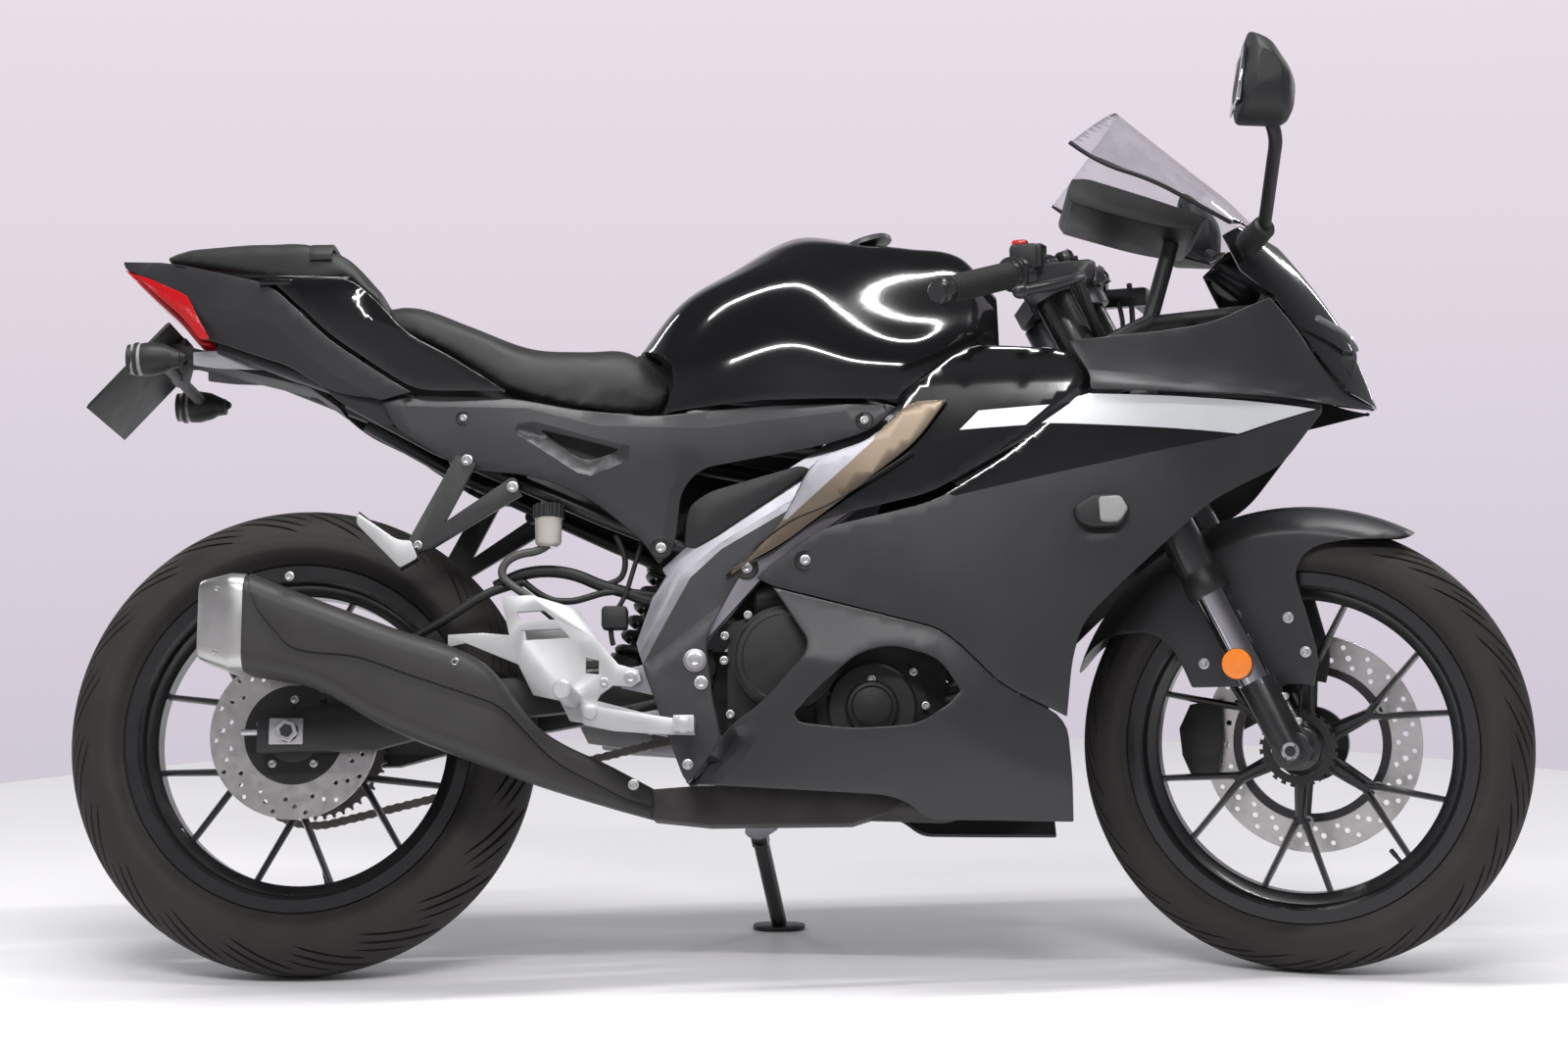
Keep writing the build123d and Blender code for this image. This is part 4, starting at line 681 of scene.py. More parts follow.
def lathe(name, profile, centre, steps=96, closed=True):
    """Ring turned about an axis across the machine: profile of (across, radius)."""
    last = len(profile) - 1
    edges = [(i, i + 1) for i in range(last)] + ([(last, 0)] if closed else [])
    points = [(centre[0], centre[1] + y, centre[2] + r) for y, r in profile]
    return spun(from_points(name, points, [], edges), steps, centre, (0, 1, 0))


def hose(name, points, radius, sides=10, smooth_steps=8):
    """Round tube along a smooth line through points."""
    item = primitive(name, bpy.ops.curve.primitive_nurbs_path_add)
    item.data.splines.clear()
    spline = item.data.splines.new("NURBS")
    spline.points.add(len(points) - 1)
    for knot, place in zip(spline.points, points):
        knot.co = (*place, 1.0)
    spline.order_u = 3
    spline.use_endpoint_u = True
    spline.resolution_u = smooth_steps
    item.data.bevel_depth = radius
    item.data.bevel_resolution = max(1, sides // 4)
    item.data.use_fill_caps = True
    choose(item)
    bpy.ops.object.convert(target="MESH")
    return smooth(bpy.context.object, 40.0)


def tilt(start, end):
    """Turn that takes the vertical to the way from start to end."""
    return Vector((0, 0, 1)).rotation_difference(end - start).to_matrix().to_4x4()


def disc_along(name, start, end, radius, sides=24, edge=0.8):
    """Round bar from one point to another, its rims eased."""
    a, b = Vector(start), Vector(end)
    piece = primitive(name, bpy.ops.mesh.primitive_cylinder_add, vertices=sides, radius=radius,
        depth=(b - a).length, location=(0, 0, 0))
    piece.data.transform(Matrix.Translation((a + b) / 2) @ tilt(a, b))
    if edge:
        bevelled(piece, edge)
    return smooth(piece, 35.0)


def bolt(x, y, z, side, radius, depth=4.0):
    """Dome head on a washer with a round socket, its axis across the machine."""
    washer = disc_along("washer", (x, y, z), (x, y + side * 1.6, z), radius, 20, 0.4)
    head = primitive("bolt", bpy.ops.mesh.primitive_cylinder_add, vertices=18, radius=radius * 0.72,
        depth=depth, location=(0, 0, 0))
    bpy.ops.object.mode_set(mode="EDIT")
    bpy.ops.mesh.select_all(action="DESELECT")
    bpy.ops.object.mode_set(mode="OBJECT")
    for face in head.data.polygons:
        face.select = face.normal.z > 0.9
    bpy.ops.object.mode_set(mode="EDIT")
    for share in (0.18, 0.16):
        bpy.ops.mesh.inset(thickness=radius * share, depth=0)
    bpy.ops.transform.translate(value=(0, 0, -depth * 0.55))
    bpy.ops.object.mode_set(mode="OBJECT")
    place = Matrix.Translation((x, y + side * (1.4 + depth / 2), z))
    head.data.transform(place @ tilt(Vector(), Vector((0, side, 0))))
    return joined("bolt", [bevelled(head, radius * 0.06, segments=1), washer])


def bolts(y, side, places):
    """Bolts at one distance from the middle: places are (x, z, radius)."""
    return [bolt(x, y, z, side, radius) for x, z, radius in places]


def on_circle(middle, radius, turn):
    """Place (x, z) on a circle seen from the side, turn in radians."""
    return middle[0] + radius * cos(turn), middle[-1] + radius * sin(turn)


def circle(middle, radius, count):
    return [on_circle(middle, radius, 2 * pi * k / count) for k in range(count)]


def turned(name, start, end, profile, steps=40, look_angle=30.0):
    """Piece turned about the line from start to end: profile of (distance along, radius)."""
    a = Vector(start)
    axis = (Vector(end) - a).normalized()
    aside = axis.orthogonal().normalized()
    points = [a + axis * d + aside * max(r, 0.01) for d, r in profile]
    edges = [(i, i + 1) for i in range(len(profile) - 1)]
    return smooth(spun(from_points(name, points, [], edges), steps, a, axis), look_angle)


def through(points, count):
    """Smooth line of a number of points through the given ones."""
    knots = [Vector(p) for p in points]
    at = [0.0]
    for a, b in zip(knots, knots[1:]):
        at.append(at[-1] + max(1e-6, (b - a).length ** 0.5))
    lines = [curve(at, [p[k] for p in knots]) for k in range(len(knots[0]))]
    return [tuple(line(at[-1] * i / (count - 1)) for line in lines) for i in range(count)]


def prism_faces(count, first=0):
    """Both ends and the sides of a solid between two rings of points that follow each other."""
    ends = [tuple(first + k for k in range(count)), tuple(first + 2 * count - 1 - k for k in range(count))]
    return ends + [(first + k, first + (k + 1) % count, first + count + (k + 1) % count, first + count + k)
        for k in range(count)]


def prism(name, outline, y_from, y_to):
    """Solid with this side outline between two lateral positions."""
    points = [(x, y, z) for y in (y_from, y_to) for x, z in outline]
    return outward(from_points(name, points, prism_faces(len(outline))))


def combine(piece, other, how):
    """Boolean of a piece with another one, which is used up."""
    modify(piece, "BOOLEAN", operation=how, solver="EXACT", object=other)
    bpy.data.objects.remove(other)
    return piece


def trimmed(piece, outline, y_from=-420.0, y_to=420.0):
    return combine(piece, prism("cutter", outline, y_from, y_to), "INTERSECT")


def edged(piece, width, angle=35.0, segments=2, shade=28.0):
    return smooth(bevelled(piece, width, angle, segments), shade)


def body_skin(name, stations, across=16, along=48):
    """Closed smooth skin over stations of (x, right half profile from the top centre down)."""
    xs = [x for x, _ in stations]
    halves = [through(half, across) for _, half in stations]
    lines = [[curve(xs, [half[j][k] for half in halves]) for k in (0, 1)] for j in range(across)]
    rings = []
    for i in range(along + 1):
        x = xs[0] + (xs[-1] - xs[0]) * i / along
        half = [(max(0.0, wide(x)), high(x)) for wide, high in lines]
        rings.append([(x, -y, z) for y, z in half] + [(x, y, z) for y, z in half[:0:-1]])
    return loft(name, rings)


def level_skin(name, levels, wall, rows=26, columns=41):
    """Bowed shell over plan lines (x, half width) from the side to the middle at several heights."""
    heights = [z for z, _ in levels]
    plans = []
    for _, half in levels:
        whole = list(half) + [(x, -w) for x, w in half[-2::-1]]
        plans.append(through(whole, columns))
    lines = [[curve(heights, [plan[j][k] for plan in plans]) for k in (0, 1)] for j in range(columns)]
    points, faces = [], []
    for i in range(rows + 1):
        z = heights[0] + (heights[-1] - heights[0]) * i / rows
        points += [(ahead(z), wide(z), z) for ahead, wide in lines]
    for i in range(rows):
        for j in range(columns - 1):
            a = i * columns + j
            faces.append((a, a + 1, a + columns + 1, a + columns))
    piece = from_points(name, points, faces)
    return modify(piece, "SOLIDIFY", thickness=wall, offset=1.0, use_even_offset=True)


def rounded_box(name, centre, size, edge=2.0, turn=None, segments=2):
    """Block with rounded edges; turn is a matrix about its middle."""
    piece = primitive(name, bpy.ops.mesh.primitive_cube_add, size=1.0)
    piece.data.transform(Matrix.Diagonal((*size, 1.0)))
    bevelled(piece, edge, 40.0, segments)
    piece.data.transform(Matrix.Translation(centre) @ (turn.to_4x4() if turn else Matrix.Identity(4)))
    return smooth(piece, 30.0)


def tyre_ring(name, radius, width, crown_r, rim_w, axle, pitches, sweep, strokes):
    """Tyre with swept grooves, cut to the depth of the settings and faded out at each stroke's ends."""
    depth = bpy.context.scene.motorcycle_sizes.groove
    bead = rim_w / 2 - 5.2
    half = width / 2 - 3
    shoulder = radius - crown_r + sqrt(crown_r ** 2 - half ** 2)
    wall = RIM_R + 0.45 * (shoulder - RIM_R)
    flank = through([(half, shoulder), (width / 2, wall), (bead + 4, RIM_R + 1)], 15)[1:]
    ribs = {2: 0.5, 3: 0.0, 6: -0.5, 9: 0.6, 10: 0.6, 12: 0.9}
    flank = [(y + ribs.get(i, 0.0) * 0.9, r) for i, (y, r) in enumerate(flank)]
    rows_each = 24
    reach = degrees(atan2(half, sqrt(crown_r ** 2 - half ** 2)))
    rows = [(-bead, BEAD_R, -1, 0.0), (-bead, RIM_R + 0.4, -1, 0.0)]
    rows += [(-y, r, -1, 0.0) for y, r in flank[::-1]]
    for i in range(-rows_each, rows_each + 1):
        turn = radians(reach * i / rows_each)
        rows.append((crown_r * sin(turn), radius - crown_r + crown_r * cos(turn), i / rows_each, turn))
    rows += [(y, r, 1, 0.0) for y, r in flank] + [(bead, RIM_R + 0.4, 1, 0.0), (bead, BEAD_R, 1, 0.0)]
    lines = [(place, number, shift, deep) for number, (_, place, *_) in enumerate(strokes) for shift,
        deep in ((-1.0, 0), (-0.62, 1), (0.62, 1), (1.0, 0))]
    for k in range(12):
        place = k / 12
        if all(min(abs(place - s[1]), 1 - abs(place - s[1])) > s[2] + 0.035 for s in strokes):
            lines.append((place, None, 0.0, 0))
    lines.sort(key=lambda line: line[0] + (line[2] * strokes[line[1]][2] if line[1] is not None else 0.0))
    step = 2 * pi / pitches
    points, faces = [], []
    for y, r, u, turn in rows:
        for pitch in range(pitches):
            for place, number, shift, deep in lines:
                wide = sunk = 0.0
                if number is not None:
                    side, _, wide, start, stop = strokes[number]
                    share = (abs(u) - start) / (stop - start)
                    if side * u >= 0 and 0 < share < 1 and abs(u) < 1:
                        window = min(1.0, 4.5 * min(share, 1 - share))
                        sunk = depth * deep * eased(window)
                        wide *= 0.45 + 0.55 * eased(window)
                angle = (pitch + place + shift * wide) * step + radians(sweep) * abs(u) ** 1.5
                away = r - sunk * cos(turn)
                points.append((axle[0] + away * cos(angle), y - sunk * sin(turn),
                    axle[2] + away * sin(angle)))
    around = pitches * len(lines)
    for i in range(len(rows)):
        for j in range(around):
            a, b = i * around + j, i * around + (j + 1) % around
            c = ((i + 1) % len(rows)) * around
            faces.append((a, b, c + (j + 1) % around, c + j))
    piece = outward(from_points(name, points, faces))
    return smooth(piece, 32.0)


# ---------------------------------------------------------------- stage
def area_lamp(name, place, aim_height, size, power):
    """Long lamp aimed at a height over the middle of the floor."""
    lamp = primitive(name, bpy.ops.object.light_add, type="AREA", location=place)
    lamp.data.shape = "RECTANGLE"
    lamp.data.size, lamp.data.size_y = size
    lamp.data.energy = power
    aim = Vector((0.0, 0.0, aim_height)) - Vector(place)
    lamp.rotation_euler = aim.to_track_quat("-Z", "Y").to_euler()
    return lamp


class MOTORCYCLE_OT_stage(bpy.types.Operator):
    """Round pale floor, backdrop, soft lamps and the camera"""
    bl_idname = "motorcycle.stage"
    bl_label = "Stage"

    def execute(self, context):
        look = context.scene.motorcycle_stage
        floor = primitive("floor", bpy.ops.mesh.primitive_cylinder_add, vertices=160, radius=look.radius,
            depth=0.04, location=(0.0, 0.35, -0.0202))
        smooth(bevelled(floor, 0.012, segments=3))
        material, _ = new_paint("floor_paint", 1.6, 6.0, (1, 1, 1), [c * 0.97 for c in look.floor],
            look.floor, (0.3, 0.75))
        put(material.node_tree.nodes["Principled BSDF"], Roughness=0.42, Specular_IOR_Level=0.35)
        floor.data.materials.append(material)
        self.world(context.scene, look.backdrop)
        for name, place, aim_height, size, share in (("ceiling_lamp", (0.1, -0.5, 3.0), 0.6, (3.2, 0.03),
                1.6), ("front_strip", (-0.3, -3.4, 3.4), 0.6, (2.8, 0.03), 1.4),
                ("front_lamp", (-0.6, -3.0, 3.2), 0.2, (3.0, 1.2), 1.2), ("left_rim_lamp", (-2.6, 2.4, 2.2),
                0.6, (0.08, 1.8), 0.4), ("right_rim_lamp", (2.8, 2.2, 2.2), 0.6, (0.08, 1.8), 0.4)):
            lamp = area_lamp(name, place, aim_height, size, look.lamp * share)
            lamp.visible_glossy = name != "front_lamp"
        camera = primitive("camera", bpy.ops.object.camera_add)
        camera.data.sensor_width = 36.0
        camera.data.lens = 63.08
        aim = (Matrix.Rotation(radians(0.927), 3, "Z") @ Matrix.Rotation(radians(-2.376), 3,
            "X") @ Matrix.Rotation(radians(0.375), 3, "Y"))
        frame_of = Matrix((aim.col[0], aim.col[2], -aim.col[1])).transposed().to_4x4()
        spot = Vector(JOINTS["rear_wheel_spin"]["pos_m"]) + Vector((0.697467, -3.63088, 0.43802))
        camera.matrix_world = Matrix.Translation(spot) @ frame_of
        context.scene.camera = camera
        context.scene.view_settings.view_transform = "Standard"
        return {"FINISHED"}

    def world(self, scene, backdrop):
        """Backdrop for the camera, a dark room for reflections and a soft sky for light."""
        scene.world = scene.world or bpy.data.worlds.new("World")
        scene.world.use_nodes = True
        tree = scene.world.node_tree
        tree.nodes.clear()
        around = tree.nodes.new("ShaderNodeTexCoord")
        parts = new_node(tree, "ShaderNodeSeparateXYZ", ("Vector", around.outputs["Generated"]))
        height = parts.outputs["Z"]
        level = new_node(tree, "ShaderNodeMapRange", ("Value", height), From_Min=-0.12, From_Max=0.16)
        low, high = ([c * f for c, f in zip(backdrop, tint)] for tint in ((0.86, 0.85, 0.91),
            (1.12, 1.08, 1.09)))
        paper = ramp(tree, level.outputs["Result"], low, high)
        room = ramp(tree, height, [c * 0.85 for c in backdrop], (0.045, 0.047, 0.055), (0.0, 0.62))
        sky = ramp(tree, height, (0.16, 0.16, 0.165), (0.93, 0.95, 1.0), (0.0, 0.75))
        seen, mirrored, light = (new_node(tree, "ShaderNodeBackground", ("Color", colour),
            Strength=strength) for colour, strength in ((paper, 1.0), (room, 1.0), (sky, 0.55)))
        rays = tree.nodes.new("ShaderNodeLightPath").outputs
        direct = new_node(tree, "ShaderNodeMath", (0, rays["Is Camera Ray"]),
            (1, rays["Is Transmission Ray"]))
        direct.operation = "MAXIMUM"
        unseen = new_node(tree, "ShaderNodeMixShader", ("Fac", rays["Is Glossy Ray"]),
            (1, light.outputs[0]), (2, mirrored.outputs[0]))
        mix = new_node(tree, "ShaderNodeMixShader", ("Fac", direct.outputs[0]), (1, unseen.outputs[0]),
            (2, seen.outputs[0]))
        new_node(tree, "ShaderNodeOutputWorld", ("Surface", mix.outputs[0]))


# ---------------------------------------------------------------- wheels
# side, place in the pitch, half width, from and to across the tread
REAR_STROKES = ((-1, 0.10, 0.062, 0.05, 0.88), (1, 0.60, 0.062, 0.05, 0.88), (-1, 0.44, 0.052, 0.42, 0.99),
    (1, 0.94, 0.052, 0.42, 0.99), (-1, 0.77, 0.042, 0.30, 0.70), (1, 0.27, 0.042, 0.30, 0.70))
FRONT_STROKES = ((-1, 0.10, 0.066, 0.06, 0.90), (1, 0.60, 0.066, 0.06, 0.90), (-1, 0.45, 0.054, 0.40, 0.99),
    (1, 0.95, 0.054, 0.40, 0.99), (-1, 0.77, 0.046, 0.22, 0.66), (1, 0.27, 0.046, 0.22, 0.66))


class MOTORCYCLE_OT_tyres(bpy.types.Operator):
    """Both tyres with swept grooves and ribbed side walls"""
    bl_idname = "motorcycle.tyres"
    bl_label = "Tyres"

    def execute(self, context):
        settle(tyre_ring("rear_tyre_rubber", REAR_R, 140.0, 76.0, 104.0, REAR_AXLE, 20, -26.0,
            REAR_STROKES), "tyre_rubber", "rear_tyre", body="rear_wheel")
        settle(tyre_ring("front_tyre_rubber", FRONT_R, 100.0, 54.0, 78.0, FRONT_AXLE, 20, 24.0,
            FRONT_STROKES), "tyre_rubber", "front_tyre", body="front_wheel")
        return {"FINISHED"}


# degrees between the two arms of a spoke pair, and the turn of the first pair
SPREAD = {"front": 26.5, "rear": 30.0}
PHASE = {"front": 25.0, "rear": 27.0}


def spoke(axle, start, end, wide, deep):
    """Rounded spoke between two polar places (radius, angle): widths and depths at its ends."""
    a, b = (Vector((r * cos(radians(turn)), 0, r * sin(radians(turn)))) for r, turn in (start, end))
    run = (b - a).normalized()
    aside = Vector((-run.z, 0, run.x))
    rings = []
    for k in range(9):
        t = k / 8
        w = (wide[0] + (wide[1] - wide[0]) * t) / 2
        d = (deep[0] + (deep[1] - deep[0]) * t) / 2
        middle = Vector(axle) + a + (b - a) * t
        rings.append([middle + aside * (w * cos(q) * (1 - 0.18 * abs(sin(2 * q))))
            + Vector((0, d * sin(q) * (1 + 0.12 * abs(sin(2 * q))), 0)) for q in [2 * pi * j / 16
            for j in range(16)]])
    return loft("spoke", rings)


def both_ways(half):
    """Line of (across, radius) followed by its mirror image."""
    return half + [(-y, r) for y, r in half[::-1]]


class MOTORCYCLE_OT_rims(bpy.types.Operator):
    """Cast wheels: turned rim, hub, paired spokes and a valve"""
    bl_idname = "motorcycle.rims"
    bl_label = "Rims"

    def execute(self, context):
        for which, axle, rim_w, hub in (("rear", REAR_AXLE, 104.0, 62.0), ("front", FRONT_AXLE, 78.0,
                58.0)):
            half = rim_w / 2
            lip = [(-half + 0.4, 226), (-half + 0.4, RIM_R - 0.8), (-half + 1.4, RIM_R),
                (-half + 4.0, RIM_R), (-half + 5, RIM_R - 1), (-half + 5.2, BEAD_R + 0.4)]
            well = [(half - 0.6, 212), (half - 3.5, 208.6), (half * 0.62, 207.5), (half * 0.50, 205.5),
                (half * 0.38, 195), (half * 0.30, 192)]
            parts = [smooth(lathe("rim_ring", both_ways(lip) + both_ways(well), axle, 128), 30)]
            barrel = [(-hub + 0.3, 9), (-hub + 0.3, 26), (-hub + 2, 29), (-hub + 12, 30), (-hub + 18, 35.6),
                (-14, 37), (14, 37), (hub - 18, 35.6), (hub - 12, 34), (hub - 2, 33), (hub - 0.3, 31),
                (hub - 0.3, 9)]
            parts.append(smooth(lathe("hub", barrel, axle, 64), 32))
            for pair in range(6):
                middle = PHASE[which] + pair * 60
                parts.append(spoke(axle, (30, middle), (102, middle), (25, 15), (27, 21)))
                for end in (-1, 1):
                    tip = middle + end * SPREAD[which] / 2
                    parts.append(spoke(axle, (88, middle), (197, tip), (10.5, 8.6), (20, 22)))
            for part in parts[2:]:
                smooth(part, 40)
            if which == "front":
                ring = [(64.4, 93.5), (64.4, 104.2), (65, 104.8), (71, 104.8), (71.6, 104.2), (71.6, 93.5)]
                parts.append(smooth(lathe("carrier_ring", ring, axle, 96), 30))
                dish = [(57.7, 9), (57.7, 49), (59, 50), (70.5, 50), (71.7, 49), (71.7, 9)]
                parts.append(smooth(lathe("carrier_dish", dish, axle, 64), 30))
                for arm in range(6):
                    parts.append(smooth(spoke((axle[0], 68, axle[2]), (46, 85 + arm * 60),
                        (97, 85 + arm * 60), (9, 6.4), (7, 6.4)), 40))
            settle(joined(f"{which}_wheel_casting", parts), "rim_black", f"{which}_rim",
                body=f"{which}_wheel")
            x, z = on_circle(axle, VALVE_R, radians(-52 if which == "front" else -80))
            settle(turned(f"{which}_valve", (x, 0, z), (axle[0], -9, axle[2]), [(0, 0), (0, 4.6), (5, 4.2),
                (8, 3), (20, 2.7), (20, 3.4), (31, 3.2), (32, 0)], 18), "hose_rubber",
                body=f"{which}_wheel")
        return {"FINISHED"}


def flat_plate(name, outline, holes, step, y, thick):
    """Flat plate with holes, from y towards the right side."""
    points, faces = flat_mesh(outline, holes, step=step)
    piece = from_points(name, [(x, y, z) for x, z in points], [face[::-1] for face in faces])
    return modify(piece, "SOLIDIFY", thickness=thick, offset=-1.0)


def drilled(name, axle, y, r_out, r_in, rows, thick):
    """Brake disc with rows of holes (radius, count, hole radius, phase)."""

    holes = [circle(axle, r_in, 96)]
    for radius, count, size, phase in rows:
        for h in range(count):
            holes.append(circle(on_circle(axle, radius, 2 * pi * (h + phase) / count), size, 16))
    piece = flat_plate(name, circle(axle, r_out, 180), holes, 9.0, y + thick / 2, thick)
    return smooth(bevelled(outward(piece), 0.35, segments=1), 25)


class MOTORCYCLE_OT_brakes(bpy.types.Operator):
    """Drilled discs with their fixings, the toothed ring and both calipers"""
    bl_idname = "motorcycle.brakes"
    bl_label = "Brakes"

    def execute(self, context):
        rows = [(114, 24, 3.4, 0.0), (124, 24, 4.0, 0.33), (135, 24, 3.4, 0.66)]
        settle(drilled("front_disc_drilled", FRONT_AXLE, 68.0, 145.8, 105.2, rows, 4.4), "disc_steel",
            "front_disc", body="front_wheel")
        rear_rows = [(84, 15, 2.9, 0.0), (93, 15, 2.9, 0.33), (102, 15, 2.9, 0.66)]
        rear = drilled("rear_disc_drilled", REAR_AXLE, -78.0, 109.8, 64.0, rear_rows, 4.4)
        flange = lathe("rear_disc_flange", [(-82.3, 10), (-82.3, 34), (-81.6, 35.5), (-80.4, 35.5),
            (-80.2, 65), (-75.8, 65), (-75.6, 35), (-62.3, 35), (-62.3, 10)], REAR_AXLE, 72)
        settle(rear, "disc_steel", "rear_disc", body="rear_wheel")
        settle(smooth(flange, 30), "carrier_black", body="rear_wheel")
        buttons = []
        for k in range(6):
            x, z = on_circle(FRONT_AXLE, BUTTON_R, radians(85 + 60 * k))
            for side, from_y in ((-1, 65.7), (1, 70.3)):
                buttons.append(turned("button", (x, from_y, z), (x, from_y + side * 9, z),
                    [(0, 8), (1.6, 8), (2.2, 7.2), (2.2, 4.4), (1.2, 3.8), (1.2, 0)], 20))
        settle(joined("disc_buttons", buttons), "plated_steel", body="front_wheel")
        studs = []
        for k in range(5):
            x, z = on_circle(REAR_AXLE, 46, radians(18 + 72 * k))
            studs.append(bolt(x, -80.3, z, -1, 5.4))
        settle(joined("rear_disc_bolts", studs), "plated_steel", body="rear_wheel")
        teeth = []
        for k in range(48):
            turn = 2 * pi * k / 48
            for r in (1, 0):
                teeth.append(on_circle(FRONT_AXLE, 50.5 if k % 2 == r else 46.5, turn + r * 0.02))
        points, faces = flat_mesh(teeth, [circle(FRONT_AXLE, 36, 48)], step=7)
        ring = modify(from_points("speed_ring", [(x, -53.0, z) for x, z in points], faces), "SOLIDIFY",
            thickness=2.0, offset=0.0)
        settle(smooth(ring, 25), "carrier_black", body="front_wheel")
        dressed("front_caliper", "cast_black", 2.2)
        dressed("rear_caliper", "cast_black", 2.0)
        pins = [bolt(x, 102.4, z, 1, 8.0, depth=5) for x, z in ((1172, 334), (1166, 268))]
        steered(joined("front_caliper_bolts", pins), "plated_steel")
        return {"FINISHED"}


def chain_line(grow):
    """Closed line of points around both sprockets, drawn larger by grow."""
    c0, r0, c1, r1 = (0.0, REAR_R), SPROCKET_R, PINION, PINION_R
    dx, dz = c1[0] - c0[0], c1[1] - c0[1]
    line, apart = atan2(dz, dx), hypot(dx, dz)
    swing = atan2(sqrt(apart ** 2 - (r0 - r1) ** 2), r0 - r1)
    points = []
    for c, r, start, stop in ((c0, r0 + grow, line + swing, line + 2 * pi - swing),
            (c1, r1 + grow, line - swing, line + swing)):
        for k in range(41):
            turn = start + (stop - start) * k / 40
            points.append(Vector((c[0] + r * cos(turn), c[1] + r * sin(turn))))
    return points


class MOTORCYCLE_OT_chain(bpy.types.Operator):
    """Drive chain of plates and rollers with the toothed sprocket"""
    bl_idname = "motorcycle.chain"
    bl_label = "Chain"

    def execute(self, context):
        line = chain_line(7.0)
        line.append(line[0])
        at = [0.0]
        for a, b in zip(line, line[1:]):
            at.append(at[-1] + (b - a).length)
        count = 2 * round(at[-1] / context.scene.motorcycle_sizes.link / 2)

        def place(share):
            want = (share % 1.0) * at[-1]
            i = max(k for k in range(len(at) - 1) if at[k] <= want)
            t = (want - at[i]) / max(1e-9, at[i + 1] - at[i])
            return line[i] + (line[i + 1] - line[i]) * t

        points, faces = [], []

        def slab(ring, y_from, y_to):
            faces.extend(prism_faces(len(ring), len(points)))
            points.extend([(x, y, z) for y in (y_from, y_to) for x, z in ring])
        for link in range(count):
            a, b = place(link / count), place((link + 1) / count)
            run = (b - a).normalized()
            aside = Vector((-run.y, run.x))
            ring = []
            for middle, turn_from in ((b, -90), (a, 90)):
                for k in range(5):
                    q = radians(turn_from + 45 * k)
                    ring.append(tuple(middle + run * 5.2 * cos(q) + aside * 5.4 * sin(q)))
            waist = [tuple((a + b) / 2 + aside * s * 4.1) for s in (1, -1)]
            ring = ring[:5] + [waist[0]] + ring[5:] + [waist[1]]
            for side in (-1, 1):
                near = CHAIN_Y + side * (4.0 if link % 2 else 5.8)
                slab(ring, near, near + side * 1.6)
            for radius, count_round, half in ((3.9, 10, 4.0), (1.9, 8, 7.8)):
                slab([tuple(a + Vector(p)) for p in circle((0, 0), radius, count_round)], CHAIN_Y - half,
                    CHAIN_Y + half)
        piece = outward(from_points("drive_chain", points, faces))
        settle(smooth(piece, 30), "chain_steel", "chain")
        teeth = []
        for k in range(46):
            for share, r in ((0.0, 91.5), (0.28, 93.0), (0.42, 98.0), (0.58, 98.0), (0.72, 93.0)):
                teeth.append(on_circle(REAR_AXLE, r, 2 * pi * (k + share) / 46))
        holes = [circle(REAR_AXLE, 9.6, 24)]
        holes += [circle(on_circle(REAR_AXLE, 68, radians(72 * h)), 14.6, 24) for h in range(5)]
        plate = flat_plate("sprocket_plate", teeth, holes, 9, 87.4, 6.8)
        carrier = lathe("sprocket_carrier", [(62.3, 10), (62.3, 44), (63.5, 45.8), (78, 45.8), (80.6, 50),
            (80.6, 10)], REAR_AXLE, 64)
        nuts = []
        for h in range(5):
            x, z = on_circle(REAR_AXLE, 50, radians(36 + 72 * h))
            nuts.append(bolt(x, 87.3, z, 1, 6.5))
        settle(smooth(joined("sprocket_toothed", [outward(plate), carrier]), 28), "chain_steel", "sprocket",
            body="rear_wheel")
        settle(joined("sprocket_nuts", nuts), "plated_steel", body="rear_wheel")
        return {"FINISHED"}


# ---------------------------------------------------------------- fork, steering and controls
UP = Vector((-sin(radians(RAKE)), 0, cos(radians(RAKE))))
AHEAD = Vector((cos(radians(RAKE)), 0, sin(radians(RAKE))))


def on_leg(s, side, ahead=0.0):
    """Point of a fork leg's centre line at height s above the axle."""
    return Vector(FRONT_AXLE) + UP * s + AHEAD * ahead + Vector((0, side * FORK_HALF, 0))


